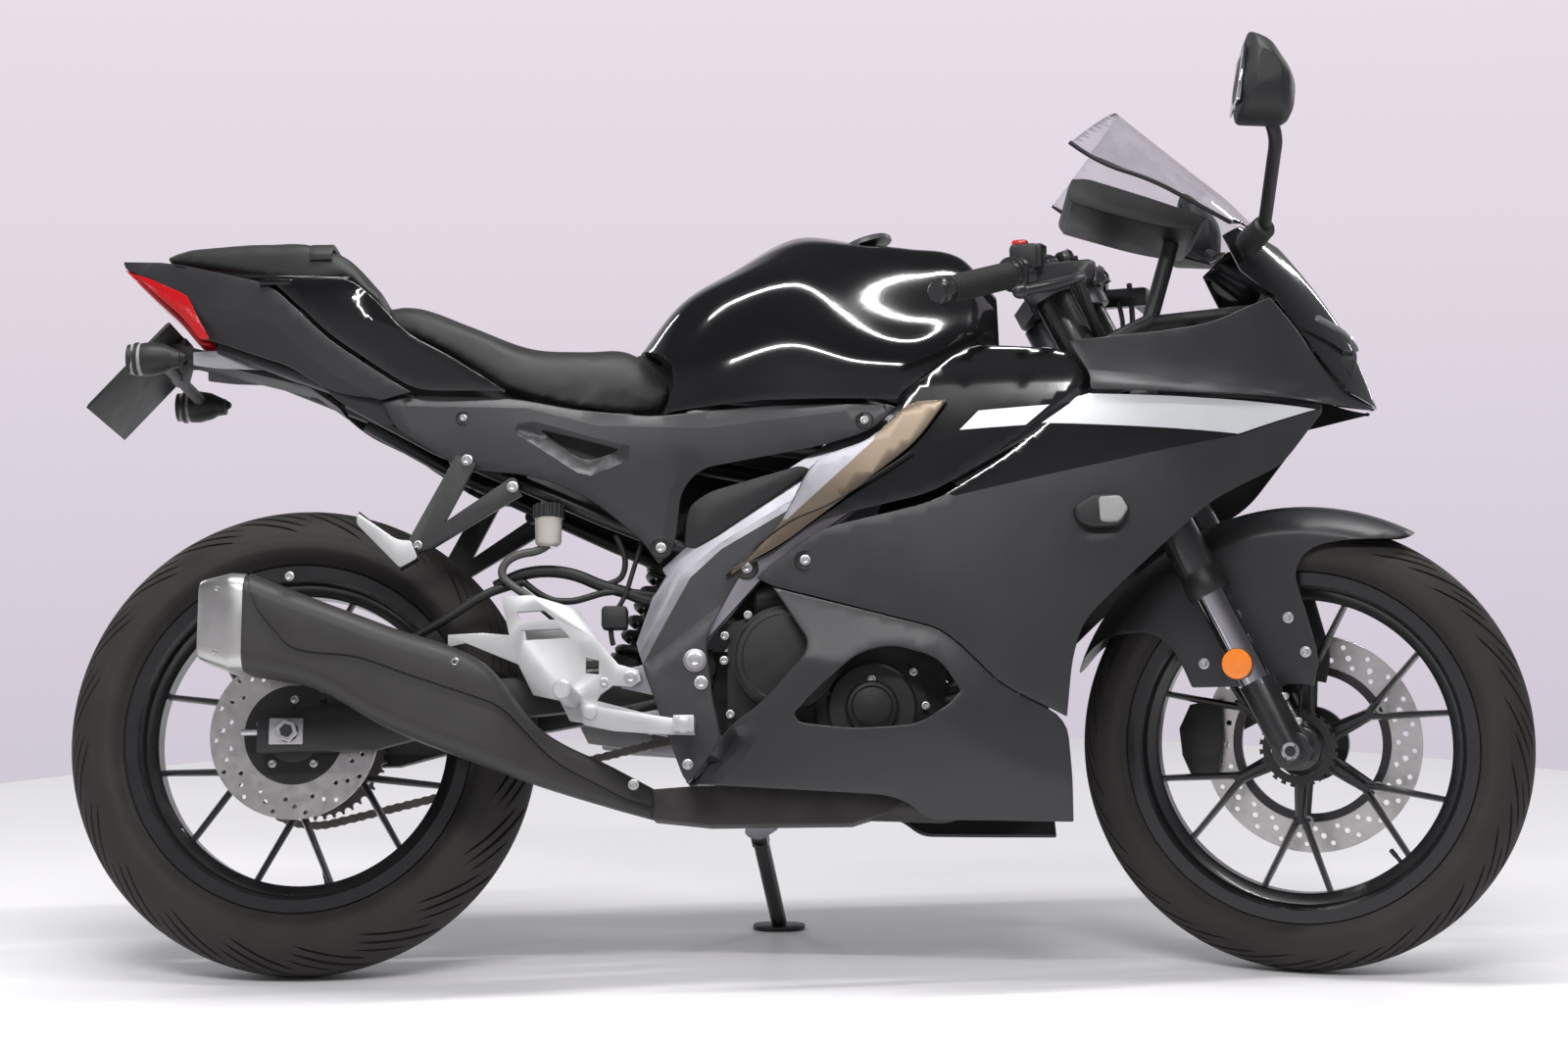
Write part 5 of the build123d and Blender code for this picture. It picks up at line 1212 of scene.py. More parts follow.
class MOTORCYCLE_OT_fork(bpy.types.Operator):
    """Fork legs, clamps, fender and the round reflectors"""
    bl_idname = "motorcycle.fork"
    bl_label = "Fork"

    def execute(self, context):
        for which, side in SIDES:
            dressed(f"fork_{which}", "fork_black", 1.6)
            steered(turned(f"fork_seal_{which}", on_leg(226, side), on_leg(260, side),
                [(0, 20.8), (0, 27.4), (3, 28.4), (20, 28.4), (23, 27.2), (34, 26.6), (34, 25.8)], 48),
                "hose_rubber")
            steered(turned(f"fork_slide_{which}", on_leg(99, side), on_leg(228, side),
                [(0, 20.6), (0, 20.9), (129, 20.9), (129, 20.6)], 48), "fork_chrome")
            steered(turned(f"fork_cap_{which}", on_leg(712, side), on_leg(730, side), [(0, 24), (4.5, 24.5),
                (6, 22), (6, 15), (12, 14), (13, 12), (13, 0)], 36), "clamp_alloy")
            across = Vector((0, 9, 0))
            spots = [disc_along("pinch", at - across, at + across, 5.5) for at in (on_leg(s, side, 22)
                for s in (30, 66))]
            steered(joined(f"fork_pinch_{which}", spots), "plated_steel")
            steered(turned(f"axle_end_{which}", (WHEELBASE, side * 112, FRONT_R), (WHEELBASE, side * 123.5,
                FRONT_R), [(0, 12.6), (9, 12.6), (11, 11.4), (11, 7), (6, 6), (6, 0)], 32), "plated_steel")
            x, z = 1262, 407
            steered(turned(f"reflector_holder_{which}", (x, side * 119, z), (x, side * 130, z),
                [(0, 0), (0, 18), (5, 20.5), (7, 20.5), (8, 19), (8, 0)], 40), "plastic_black")
            # The reflector's lens glows: painted light, as it is no lamp.
            steered(turned(f"reflector_{which}", (x, side * 126.8, z), (x, side * 135, z),
                [(0, 18.8), (1.5, 19.6), (3.4, 18.4), (4.4, 14), (4.8, 0)], 48), "glowing_orange_reflector")
        dressed("triple_clamps", "clamp_alloy", 1.8)
        self.fender()
        return {"FINISHED"}

    def fender(self):
        """Arch over the front tyre with wings beside it."""
        shape = [(1483, 572), (1440, 640), (1200, 640), (1000, 470), (1024, 392), (1045, 425), (1080, 447),
            (1138, 452), (1170, 425), (1190, 376), (1262, 376), (1296, 362), (1334, 358), (1346, 366),
            (1357, 410), (1329, 521), (1340, 545), (1362, 558), (1402, 563), (1461, 562)]
        half, outer = 58.8, FRONT_R + 21.0
        crown = [(-half, outer - 38), (-half + 2, outer - 31), (-half + 8, outer - 23), (-33, outer - 5.5),
            (-29, outer - 3.8), (-14, outer - 1)]
        crown += [(0, outer)] + [(-y, r) for y, r in crown[::-1]]
        line = [(-half, 84.0)] + [(-half, 84 + 24 * k) for k in range(1, 8)] + list(crown)
        line += [(half, 84 + 24 * k) for k in range(7, 0, -1)] + [(half, 84.0)]
        steered(edged(trimmed(outward(modify(lathe("fender", line, FRONT_AXLE, 120, closed=False),
            "SOLIDIFY", thickness=3.4, offset=-1.0)), softened(shape, tip=3)), 1.0, angle=50), "panel_grey",
            "front_fender")
        heads = []
        for side in (-1, 1):
            for x, z in ((1319, 464), (1340, 419), (1207, 407)):
                heads.append(bolt(x, side * (half - 0.2), z, side, 7.2))
            for x, z in ((1250, 468), (1237, 490)):
                heads.append(disc_along("boss", (x, side * (half - 0.4), z), (x, side * 78, z), 9,
                    edge=1.0))
        steered(joined("fender_bolts", heads), "plated_steel")


BAR_IN, BAR_OUT = Vector((1052, 104, 943)), Vector((951, 336, 888))


def on_bar(share, side):
    """Point of a handlebar's centre line, 0 at its inner end and 1 at its outer end."""
    spot = BAR_IN + (BAR_OUT - BAR_IN) * share
    return Vector((spot.x, side * spot.y, spot.z))


class MOTORCYCLE_OT_handlebars(bpy.types.Operator):
    """Clip-on bars with grips, levers, switches, cables and hoses"""
    bl_idname = "motorcycle.handlebars"
    bl_label = "Handlebars"

    def execute(self, context):
        for which, side in SIDES:
            dressed(f"handlebar_{which}", "fork_black", 1.8)
            ribs = [(0, 16.0), (0, 16.8)]
            for k in range(26):
                at = 4 + k * 4.7
                ribs += [(at, 16.9), (at + 0.8, 17.7), (at + 2.8, 17.7), (at + 3.6, 16.9)]
            ribs += [(129, 17.2), (131, 18.2), (133, 17.2), (133, 15.5)]
            steered(turned(f"grip_{which}", on_bar(0.475, side), on_bar(1.0, side), ribs, 40, 40),
                "grip_rubber")
            steered(turned(f"bar_end_{which}", on_bar(0.985, side), on_bar(1.2, side), [(0, 14), (0, 16),
                (3, 17), (14, 17), (18, 14.5), (23, 14.2), (24.5, 12), (24.5, 0)], 36), "fork_black")
            x, y, z = on_bar(0.35, side)
            steered(rounded_box(f"switch_{which}", (x + 2, y + side * 1.5, z + 17), (38, 38, 34), 6.0),
                "plastic_black")
            steered(rounded_box(f"master_{which}", (x + 56, y - side * 12, z - 3), (66, 25, 27), 6.5),
                "fork_black")
            line = [(x + 66, y - side * 6, z - 9), (x + 84, y + side * 26, z - 15), (x + 84, y + side * 66,
                z - 23), (x + 62, y + side * 118, z - 36), (x + 30, y + side * 150, z - 44)]
            lever = hose(f"lever_{which}", line, 6.3, 12)
            ball = turned("ball", (x + 36, y + side * 143, z - 42), (x + 24, y + side * 155, z - 46),
                [(0, 5.5), (3, 8), (8, 9.4), (13, 8.2), (16, 5), (17, 0)], 24)
            steered(joined(f"lever_{which}", [lever, ball]), "fork_black")
            if side < 0:
                steered(rounded_box("stop_button", (x - 5, y - 4, z + 36), (20, 17, 9), 3.4), "switch_red")
            else:
                steered(rounded_box("horn_button", (x - 18, y, z + 14), (7, 14, 11), 2.4), "plastic_black")
        runs = (("throttle_cable", 4.2, ((1058, -172, 946), (1070, -156, 912), (1082, -116, 872),
            (1092, -88, 826), (1088, -84, 790))), ("brake_hose", 5.0, ((1078, -172, 940), (1086, -160, 900),
            (1094, -128, 858), (1108, -100, 806), (1132, -90, 745))), ("clutch_cable", 4.0,
            ((1078, 172, 940), (1084, 158, 902), (1090, 126, 862), (1104, 96, 812), (1118, 88, 770))),
            ("switch_wires", 3.6, ((1058, 176, 926), (1070, 150, 900), (1080, 112, 866), (1088, 88, 820))))
        for name, radius, points in runs:
            steered(hose(name, points, radius), "hose_rubber")
        steered(turned("ignition_lock", on_leg(690, 0, -14), on_leg(716, 0, -14),
            [(0, 0), (0, 21), (20, 21), (23, 19), (23, 9), (21, 7.5), (21, 0)], 40), "fork_black")
        return {"FINISHED"}


# ---------------------------------------------------------------- frame and engine
# outlines, folds and regions seen from the side, (x, z)
SPAR_SHAPE = [(449, 420), (460, 455), (475, 490), (491, 517), (535, 556), (600, 597), (672, 640),
    (700, 650), (690, 600), (640, 560), (590, 520), (561, 469), (538, 425), (547, 350), (560, 290),
    (547, 256), (516, 240), (509, 249), (480, 326), (458, 389)]
SPAR_FOLD = [(456, 389), (487, 447), (519, 505), (559, 542), (649, 594), (700, 624)]
# The strip along the spar's upper edge faces up: it is given frame silver as a painted highlight, the rest
# of the skin the dark frame grey.
SPAR_STRIP = [(440, 400), (445, 430), (470, 500), (530, 570), (665, 660), (720, 670)]
SPAR_LIT_STRIP = SPAR_STRIP + SPAR_FOLD[::-1]
PLATE_FOLD = [(452, 386), (543, 458), (570, 476)]
PLATE_LOW = [(440, 376), *PLATE_FOLD, (600, 300), (560, 220), (480, 220)]


class MOTORCYCLE_OT_frame(bpy.types.Operator):
    """Frame spars, subframe, swingarm and side stand with their bolts"""
    bl_idname = "motorcycle.frame"
    bl_label = "Frame"

    def execute(self, context):
        dressed("main_frame", "frame_silver", 3.0)
        dressed("subframe", "tube_black", 1.0)
        dressed("swingarm", "cast_black", 3.5)
        dressed("side_stand", "tube_black", 1.2)
        heads = []
        for which, side in SIDES:
            # Spar skin in dark frame grey, its upward strip in frame silver as a painted highlight.
            panel(f"spar_skin_{which}", SPAR_SHAPE, lambda x, z: 129.5 + 0.035 * max(0.0, x - 540), side,
                "frame_grey", edge=2.0, wall=3.0, press=[(SPAR_LIT_STRIP, -7.0, 22.0, SPAR_FOLD),
                (PLATE_LOW, 5.0, 13.0, PLATE_FOLD)], also=[("frame_silver", SPAR_LIT_STRIP)])
            heads += bolts(side * 134.6, side, ((533, 367, 9), (516, 262, 7), (441, 372, 7)))
        heads += [bolt(525, side * 136, 396, side, 11, depth=5) for side in (-1, 1)]
        settle(joined("frame_bolts", heads), "plated_steel")
        for which, side in SIDES:
            nut = turned("axle_nut", (0, side * 127, REAR_R), (0, side * 134, REAR_R),
                [(0, 0), (0, 15), (6, 15), (7, 14), (7, 9.5), (5.9, 8.6), (5.9, 0)], 6, 20)
            plate = rounded_box("axle_block", (-2, side * 122.4, REAR_R), (44, 3.4, 34), 1.2)
            screw = disc_along("screw", (-22, side * 112, REAR_R), (-62, side * 112, REAR_R), 4)
            settle(joined(f"axle_fixing_{which}", [nut, plate, screw]), "plated_steel")
        return {"FINISHED"}


class MOTORCYCLE_OT_engine(bpy.types.Operator):
    """Engine block with its covers, the radiator, hoses and loom"""
    bl_idname = "motorcycle.engine"
    bl_label = "Engine"

    def execute(self, context):
        dressed("engine", "engine_black", 4.0)
        dressed("radiator", "tube_black", 1.2)
        settle(turned("clutch_cover", (642, -136, 398), (642, -146, 398), [(0, 0), (0, 66), (5, 66),
            (8.5, 62), (9.3, 57), (8.0, 54.5), (8.6, 52), (8.6, 0)], 72), "engine_black")
        x, z = ROUND_COVER
        settle(turned("round_cover", (x, -130, z), (x, -146, z), [(0, 0), (0, 34), (9, 34), (13, 31),
            (14, 27), (11.4, 25), (12.2, 22), (13.4, 0)], 56), "engine_black")
        settle(turned("round_cover_rim", (x, -121, z), (x, -131, z), [(0, 0), (0, 58), (6, 58), (9, 54.5),
            (9, 0)], 56), "engine_black")
        heads = [bolt(x, -118, z, -1, 5.6) for x, z in ((563, 430), (562, 398), (593, 457), (570, 328),
            (700, 352))]
        heads += [bolt(x, -129.6, z, -1, 5.4) for x, z in ((752, 371), (821, 336), (779, 304), (727, 300),
            (806, 380))]
        for k in range(7):
            x, z = on_circle(ROUND_COVER, 70, radians(10 + k * 360 / 7))
            heads.append(bolt(x, 124, z, 1, 5.6))
        settle(joined("engine_bolts", heads), "plated_steel")
        fins = []
        low, high = Vector((716, 0, 452)), Vector((800, 0, 640))
        turn = Matrix.Rotation(radians(-24), 3, "Y")
        for k in range(9):
            middle = low + (high - low) * k / 8 + Vector((62, 0, -22))
            fins.append(rounded_box("fin", tuple(middle), (146, 166, 3.2), 1.4, turn, 1))
        settle(joined("cylinder_fins", fins), "engine_black")
        plates = [rounded_box("row", (986 + 0.5 * k, 0, 630 - 5 * k), (5.0, 226, 1.4), 0.3, None, 1)
            for k in range(38)]
        settle(joined("radiator_rows", plates), "radiator_core")
        hoses = (("top_hose", 13, ((990, 86, 612), (950, 92, 640), (900, 70, 642), (850, 40, 640))),
            ("low_hose", 12, ((992, -86, 460), (962, -98, 420), (900, -92, 372), (842, -84, 356))),
            ("breather_hose", 8, ((262, -96, 500), (285, -99, 512), (310, -100, 519), (340, -100, 520),
            (370, -100, 514), (402, -100, 499), (434, -100, 491), (463, -99, 478), (520, -92, 470))),
            ("brake_pipe", 4.6, ((300, -104, 505), (327, -104, 481), (361, -104, 478), (381, -104, 483),
            (412, -103, 493), (463, -102, 489), (520, -98, 480))),
            ("arm_hose", 6, ((120, -104, 412), (181, -106, 446), (206, -107, 460), (244, -107, 486),
            (271, -106, 497), (300, -104, 505))), ("wire_loop", 4, ((420, -102, 566), (431, -102, 545),
            (433, -102, 521), (423, -102, 503), (398, -101, 500))), ("switch_wire", 3.4, ((455, -104, 560),
            (443, -106, 519), (431, -107, 478), (410, -110, 452), (418, -112, 420))))
        settle(hose("cup_hose", ((333, -118, 552), (322, -118, 543), (295, -118, 540), (276, -118, 529),
            (271, -118, 511), (287, -118, 497), (312, -118, 481), (345, -118, 452)), 5.6, 12), "hose_grey")
        for name, radius, points in hoses:
            settle(hose(name, points, radius, 12), "hose_rubber")
        settle(rounded_box("rear_switch", (420, -112, 455), (34, 26, 30), 5), "plastic_black")
        settle(turned("starter", (600, -86, 478), (700, -86, 478), [(0, 0), (0, 20), (4, 24), (70, 24),
            (74, 20), (92, 18), (92, 0)], 36), "engine_black")
        settle(rounded_box("throttle_body", (600, 0, 500), (90, 90, 70), 12), "plastic_black")
        settle(self.shock(), "tube_black")
        return {"FINISHED"}

    def shock(self):
        """Coil spring and damper between the swingarm and the frame."""
        a, b = Vector((430, 0, 392)), Vector((500, 0, 560))
        run = (b - a).normalized()
        aside = run.orthogonal().normalized()
        other = run.cross(aside)
        points = []
        for k in range(97):
            turn = 2 * pi * 6 * k / 96
            points.append(tuple(a + (b - a) * (0.12 + 0.7 * k / 96) + aside * 28 * cos(turn)
                + other * 28 * sin(turn)))
        coil = hose("coil", points, 5.0, 8, 2)
        body = turned("damper", a, b, [(0, 0), (0, 10), (10, 14), (16, 34), (22, 34), (24, 17), (140, 17),
            (142, 34), (150, 34), (152, 20), (182, 20), (182, 0)], 32)
        return joined("rear_shock", [body, coil])


# ---------------------------------------------------------------- exhaust
# x, y, z, half width and half height along the silencer
SILENCER = ((467.7, -58, 216, 20, 18), (420, -98, 233, 26, 24), (330, -148, 268, 34, 34),
    (262, -172, 320, 44, 62), (138, -182, 368, 47, 62), (45, -187, 411, 46, 54), (-40, -190, 437, 50, 62))
GUARD = [(-36, 520), (138, 470), (300, 420), (400, 330), (482, 260), (474, 213), (440, 219), (350, 262),
    (285, 331), (246, 344), (163, 371), (105, 393), (53, 396), (22, 402), (-28, 460)]


def rounded_ring(x, y, z, a, b, corner, count=10):
    ring = []
    for qy, qz, start in ((1, 1, 0), (-1, 1, 90), (-1, -1, 180), (1, -1, 270)):
        for k in range(count):
            turn = radians(start + 90 * k / (count - 1))
            ring.append((x, y + qy * (a - corner) + corner * cos(turn), z + qz * (b - corner)
                + corner * sin(turn)))
    return ring


def silencer_skin(name, grow):
    xs = [s[0] for s in SILENCER[::-1]]
    lines = [curve(xs, [s[k] for s in SILENCER[::-1]]) for k in range(1, 5)]
    rings = []
    for i in range(43):
        x = xs[0] + (xs[-1] - xs[0]) * i / 42
        y, z, a, b = (line(x) for line in lines)
        rings.append(rounded_ring(x, y, z, a + grow, b + grow, min(a, b) * 0.52 + grow))
    return loft(name, rings)


class MOTORCYCLE_OT_exhaust(bpy.types.Operator):
    """Collector, silencer with its heat guard and the steel end cap"""
    bl_idname = "motorcycle.exhaust"
    bl_label = "Exhaust"

    def execute(self, context):
        dressed("exhaust_collector", "collector_steel", 3.0)
        settle(edged(silencer_skin("silencer_shell", 0.0), 2.0, angle=60), "silencer_coat", "silencer")
        settle(edged(trimmed(combine(silencer_skin("guard_shell", 3.8), silencer_skin("core", 0.6),
            "DIFFERENCE"), softened(GUARD, tip=5), -420, -60), 1.2, angle=40), "silencer_coat",
            "silencer_guard")
        self.end_cap()
        heads = [bolt(446, -121, 238, -1, 7), bolt(20, -238.5, 492, -1, 6), bolt(228, -221, 384, -1, 6)]
        settle(joined("guard_bolts", heads), "plated_steel")
        return {"FINISHED"}

    def end_cap(self):
        """Folded steel cap with flat faces and a dark outlet."""
        rings = []
        for x, y, z, a, b, corner in ((-38.5, -190, 437, 47, 59, 24), (-38.5, -190, 437, 50.4, 62.4, 26),
                (-56, -190, 437.5, 50.4, 62.4, 22), (-60, -190, 438, 49, 61, 20), (-92, -190, 441, 39.5,
                51.5, 17), (-97, -190, 441, 37, 49, 16), (-98, -190, 441, 34, 46, 15), (-94, -190, 441, 31,
                43, 14)):
            rings.append(rounded_ring(x, y, z, a, b, corner, 6))
        cap = loft("silencer_cap", rings)
        hole = disc_along("hole", (-140, *OUTLET), (-84, *OUTLET), 17.0, 40, 0)
        combine(cap, hole, "DIFFERENCE")
        edged(cap, 0.9, angle=24)
        settle(cap, "end_cap_steel", "silencer_end_cap")
        settle(turned("outlet", (-94, *OUTLET), (-60, *OUTLET), [(0, 16.8), (-3.5, 18.2), (-4.2, 17.6),
            (-3.4, 15.2), (30, 15.2), (30, 0)], 40), "collector_steel")
        heads = [bolt(-72, -232.5, 437 + s * 40, -1, 4.5) for s in (-1, 1)]
        settle(joined("cap_rivets", heads), "end_cap_steel")


# ---------------------------------------------------------------- tank and seats
# x and the right half profile, (half width, height) from the top centre down
TANK = ((440, ((0, 822), (40, 816), (72, 792), (98, 756), (104, 722))),
    (500, ((0, 903), (58, 888), (94, 862), (122, 800), (130, 722))), (570, ((0, 951), (62, 930), (112, 897),
    (140, 812), (147, 731))), (655, ((0, 997), (61, 968), (119, 912), (151, 822), (153, 734))),
    (740, ((0, 990), (62, 962), (122, 862), (150, 800), (153, 733))),
    (810, ((0, 979), (64, 956), (118, 850), (146, 796), (148, 733))),
    (880, ((0, 962), (66, 944), (106, 862), (124, 812), (126, 733))), (926, ((0, 902), (60, 894), (88, 848),
    (100, 812), (102, 733))))
TANK_SHAPE = [(446, 828), (440, 1100), (950, 1100), (930, 806), (908, 803), (877, 806), (797, 746),
    (789, 735), (701, 736), (616, 735), (484, 725), (496, 762), (494, 790), (474, 811)]
RIDER = ((108, ((0, 893), (60, 892), (90, 882), (98, 862), (98, 842))),
    (160, ((0, 883), (70, 882), (102, 870), (114, 845), (114, 822))),
    (224, ((0, 856), (80, 855), (114, 842), (122, 815), (122, 785))),
    (303, ((0, 826), (76, 826), (106, 812), (116, 785), (116, 752))), (371, ((0, 825), (66, 824), (92, 806),
    (104, 775), (104, 737))), (430, ((0, 829), (54, 826), (80, 806), (92, 770), (92, 733))),
    (489, ((0, 797), (44, 791), (66, 780), (78, 765), (78, 742))))
RIDER_SHAPE = [(105, 840), (105, 900), (160, 900), (300, 840), (430, 840), (444, 825), (466, 808),
    (487, 788), (489, 766), (477, 735), (466, 731), (371, 735), (300, 752), (278, 758.5), (195, 813),
    (145, 838)]
PASSENGER = ((-205, ((0, 972), (34, 970), (44, 966), (44, 959))), (-165, ((0, 980), (44, 978), (58, 966),
    (58, 951))), (-15, ((0, 979), (70, 977), (86, 962), (86, 920.4))), (28, ((0, 967), (74, 965), (90, 950),
    (90, 920.4))), (58, ((0, 952), (76, 950), (92, 935), (92, 920.4))),
    (104, ((0, 903), (78, 901), (94, 888), (94, 874))))


class MOTORCYCLE_OT_tank(bpy.types.Operator):
    """Sculpted gloss tank with its filler cap"""
    bl_idname = "motorcycle.tank"
    bl_label = "Tank"

    def execute(self, context):
        settle(edged(trimmed(body_skin("tank_skin", TANK, 28, 72), TANK_SHAPE), 2.0, angle=40, segments=3,
            shade=40), "panel_black", "fuel_tank")
        settle(turned("filler_cap", (752, 0, 982), (748, 0, 994), [(0, 0), (0, 38), (5, 38), (7.5, 35.5),
            (8, 31), (6.6, 29.5), (6.6, 24), (8.4, 22), (8.4, 0)], 64), "clamp_alloy")
        return {"FINISHED"}


def swollen(piece, voxel, pressure, cap):
    """Foam pad: even mesh, blown up as cloth for a few steps, each point moved no further than the cap."""
    modify(piece, "REMESH", mode="VOXEL", voxel_size=voxel)
    before = [v.co.copy() for v in piece.data.vertices]
    choose(piece)
    cloth = piece.modifiers.new("foam", "CLOTH")
    cloth.settings.use_pressure = True
    cloth.settings.uniform_pressure_force = pressure
    cloth.settings.effector_weights.gravity = 0.0
    cloth.settings.quality = 5
    for frame_number in range(1, 21):
        bpy.context.scene.frame_set(frame_number)
    shown = piece.evaluated_get(bpy.context.evaluated_depsgraph_get())
    moved = [v.co.copy() for v in shown.data.vertices]
    piece.modifiers.remove(cloth)
    bpy.context.scene.frame_set(1)
    for vertex, old, new in zip(piece.data.vertices, before, moved):
        step = new - old
        vertex.co = old + step.normalized() * min(step.length, cap) if step.length > 1e-9 else old
    modify(piece, "SMOOTH", factor=0.5, iterations=4)
    return modify(piece, "SUBSURF", levels=1)


class MOTORCYCLE_OT_seats(bpy.types.Operator):
    """Both padded seats, blown up from their foam shapes, and a strap"""
    bl_idname = "motorcycle.seats"
    bl_label = "Seats"

    def execute(self, context):
        for name, stations, outline, node in (("rider_pad", RIDER, RIDER_SHAPE, "rider_seat"),
                ("passenger_pad", PASSENGER, None, "passenger_seat")):
            pad = body_skin(name, stations, 20, 60)
            if outline:
                trimmed(pad, outline)
            pad.data.transform(Matrix.Scale(0.001, 4))
            modify(pad, "DISPLACE", strength=-0.003, mid_level=0.0)
            swollen(pad, 0.005, 4.0, 0.003)
            pad.data.transform(Matrix.Scale(1000.0, 4))
            smooth(pad, 60)
            settle(pad, "seat_leather", node)
        strap = body_skin("strap", [(x, ((0, 975.5), (72, 974), (88, 959.5), (88, 948.5))) for x in (4,
            34)], 20, 3)
        core = body_skin("core", [(x, ((0, 968), (70, 967), (84, 955), (84, 940))) for x in (0, 38)], 20, 3)
        combine(strap, core, "DIFFERENCE")
        edged(strap, 0.8)
        settle(strap, "seat_leather")
        return {"FINISHED"}


# ---------------------------------------------------------------- tail
# half widths at the stations, one row for each height
TAIL_X = (-262, -190, -100, 0, 100, 200, 330)
TAIL_ROWS = ((690, (54, 64, 78, 92, 105, 115, 121)), (780, (58, 68, 84, 98, 112, 120, 124)),
    (860, (56, 68, 88, 105, 115, 121, 122)), (920, (50, 62, 84, 101, 110, 115, 116)),
    (985, (40, 52, 72, 88, 98, 104, 106)))
TAIL_SHAPE = [(-255, 959), (-190, 956), (-120, 935), (-47, 914), (37, 833), (104, 787), (149, 758.5),
    (108, 748.5), (98, 752), (56, 759), (16, 779), (-18, 802), (-128, 843), (-144, 848), (-160, 880),
    (-192, 900), (-210, 930), (-253, 953)]
TAIL_GLOSS = [(-45, 919), (60, 919), (100, 886), (141, 838), (191, 812), (276, 757), (156, 760), (108, 791),
    (40, 838)]
TAIL_FOLD = [(-175, 912), (-148, 893), (-79, 876), (-36, 854), (13, 810), (40, 788), (100, 752)]
TAIL_LOW = TAIL_FOLD + [(100, 730), (0, 760), (-140, 830), (-190, 890)]


class MOTORCYCLE_OT_tail(bpy.types.Operator):
    """Tail cowl with gloss sides, lamp, plate holder and indicators"""
    bl_idname = "motorcycle.tail"
    bl_label = "Tail"

    def execute(self, context):
        width = surface(TAIL_X, TAIL_ROWS)
        for which, side in SIDES:
            panel(f"tail_cowl_{which}", TAIL_SHAPE, width, side, "panel_grey", "tail_cowl", edge=1.6,
                press=[(TAIL_LOW, -15.0, 42.0, TAIL_FOLD)])
            panel(f"tail_gloss_{which}", TAIL_GLOSS, width, side, "panel_black", "tail_side_panels",
                edge=1.4, lift=0.6, press=[([(60, 950), (98, 860), (300, 770), (300, 950)], -4.0, 16.0,
                [(44, 842), (98, 858), (300, 770)])])
            panel(f"lens_side_{which}", [(-243, 942), (-221, 935), (-163, 906), (-152, 884), (-128, 841),
                (-143, 842), (-167, 875), (-205, 908)], width, side, "red_lens", lift=0.9, wall=1.6,
                edge=0.8)
            panel(f"under_tail_{which}", [(10, 788), (98, 762), (152, 757), (135, 722), (118, 716),
                (53, 748)], lambda x, z: width(x, z) - 12, side, "panel_grey", edge=1.4)
            settle(prism("stay", softened([(-158, 833), (-123, 835), (-87, 832), (-13, 806), (-123, 810),
                (-157, 815)], tip=2), side * 44, side * 46), "pale_plate")
            settle(hose(f"seat_trim_{which}", [(-184, side * 58, 949), (-133, side * 66, 935),
                (-40, side * 84, 926), (60, side * 91, 921)], 3.0, 12), "panel_black")
        settle(edged(prism("tail_deck", softened([(-256, 958.5), (-192, 957), (-172, 935), (-192, 900),
            (-211, 928), (-253, 949)], tip=2), -52, 52), 2.0), "panel_grey")
        # Near-black blocks in the gaps behind the tank, inside the tail, behind the engine and behind the
        # side cover's hole: painted shade where the machine's inside lies in shadow. Behind the cover's
        # hole the block stands for the recessed inner panel, painted as its shade.
        for name, outline, y_from, y_to in (("tank_gap_shade", [(435, 818), (450, 823), (498, 788), (506, 760),
                (492, 733), (462, 733), (474, 765), (466, 786)], -48, 48),
                ("tail_inside_shade", [(90, 800), (150, 752), (300, 744), (320, 756), (190, 806), (100, 880),
                (-30, 910), (30, 840)], -84, 84), ("engine_gap_shade", [(536, 302), (590, 302), (590, 420),
                (536, 420)], -42, 42), ("cover_hole_shade", [(300, 650), (440, 650), (440, 716), (300, 716)],
                -104, 104)):
            settle(prism(name, outline, y_from, y_to), "painted_shade_black")
        settle(edged(prism("seat_bridge", [(-60, 918), (58, 919), (62, 916), (58, 912), (-60, 911)], -100,
            100), 1.2), "panel_black")
        self.lamp()
        self.plate()
        return {"FINISHED"}

    def lamp(self):
        """Red lens wrapped round the rear edge of the tail."""
        outline = softened([(-254, 948), (-212, 926), (-194, 899), (-163, 879), (-146, 847), (-133, 842),
            (-150, 842), (-175, 873), (-202, 897), (-226, 920)], tip=1.5)
        settle(edged(prism("tail_lens", outline, -51, 51), 1.8, angle=40), "red_lens", "tail_light")

    def plate(self):
        dressed("plate_holder", "plastic_black", 1.4)
        low, high = Vector((-286, 0, 746)), Vector((-180, 0, 862))
        run = (high - low).normalized()
        back = Vector((-run.z, 0, run.x))
        turn = Matrix((run, Vector((0, 1, 0)), back)).transposed()
        middle = (low + high) / 2 + back * 1.4
        settle(rounded_box("blank_plate", tuple(middle), ((high - low).length - 6, 188, 1.6), 0.7, turn, 1),
            "plastic_black")
        heads = []
        for a in (-0.28, 0.28):
            for y in (-60, 60):
                at = middle + run * a * (high - low).length + back * 1
                heads.append(disc_along("rivet", (at.x, y, at.z), tuple(Vector((at.x, y, at.z))
                    + back * 2.4), 5.0))
        settle(joined("plate_rivets", heads), "plated_steel")
        settle(rounded_box("plate_lamp", (-190, 0, 852), (34, 46, 16), 4), "plastic_black")
        for which, side in SIDES:
            y = side * INDICATOR_Y
            settle(turned(f"indicator_pod_{which}", (-202, y, 800), (-140, y, 803), [(0, 0), (0, 21.6),
                (12, 22.4), (30, 18.5), (46, 10), (56, 4), (58, 0)], 40), "plastic_black")
            settle(turned(f"rear_indicator_{which}", (-196, y, 800), (-228, y, 800), [(0, 20.4), (10, 21.4),
                (19, 20.6), (24, 17), (27, 9), (27.6, 0)], 40), "clear_lens")
            settle(turned("indicator_rim", (-206, y, 800), (-212, y, 800), [(0, 21.0), (1, 22.6), (5, 22.6),
                (6, 21.2)], 40), "plastic_black")


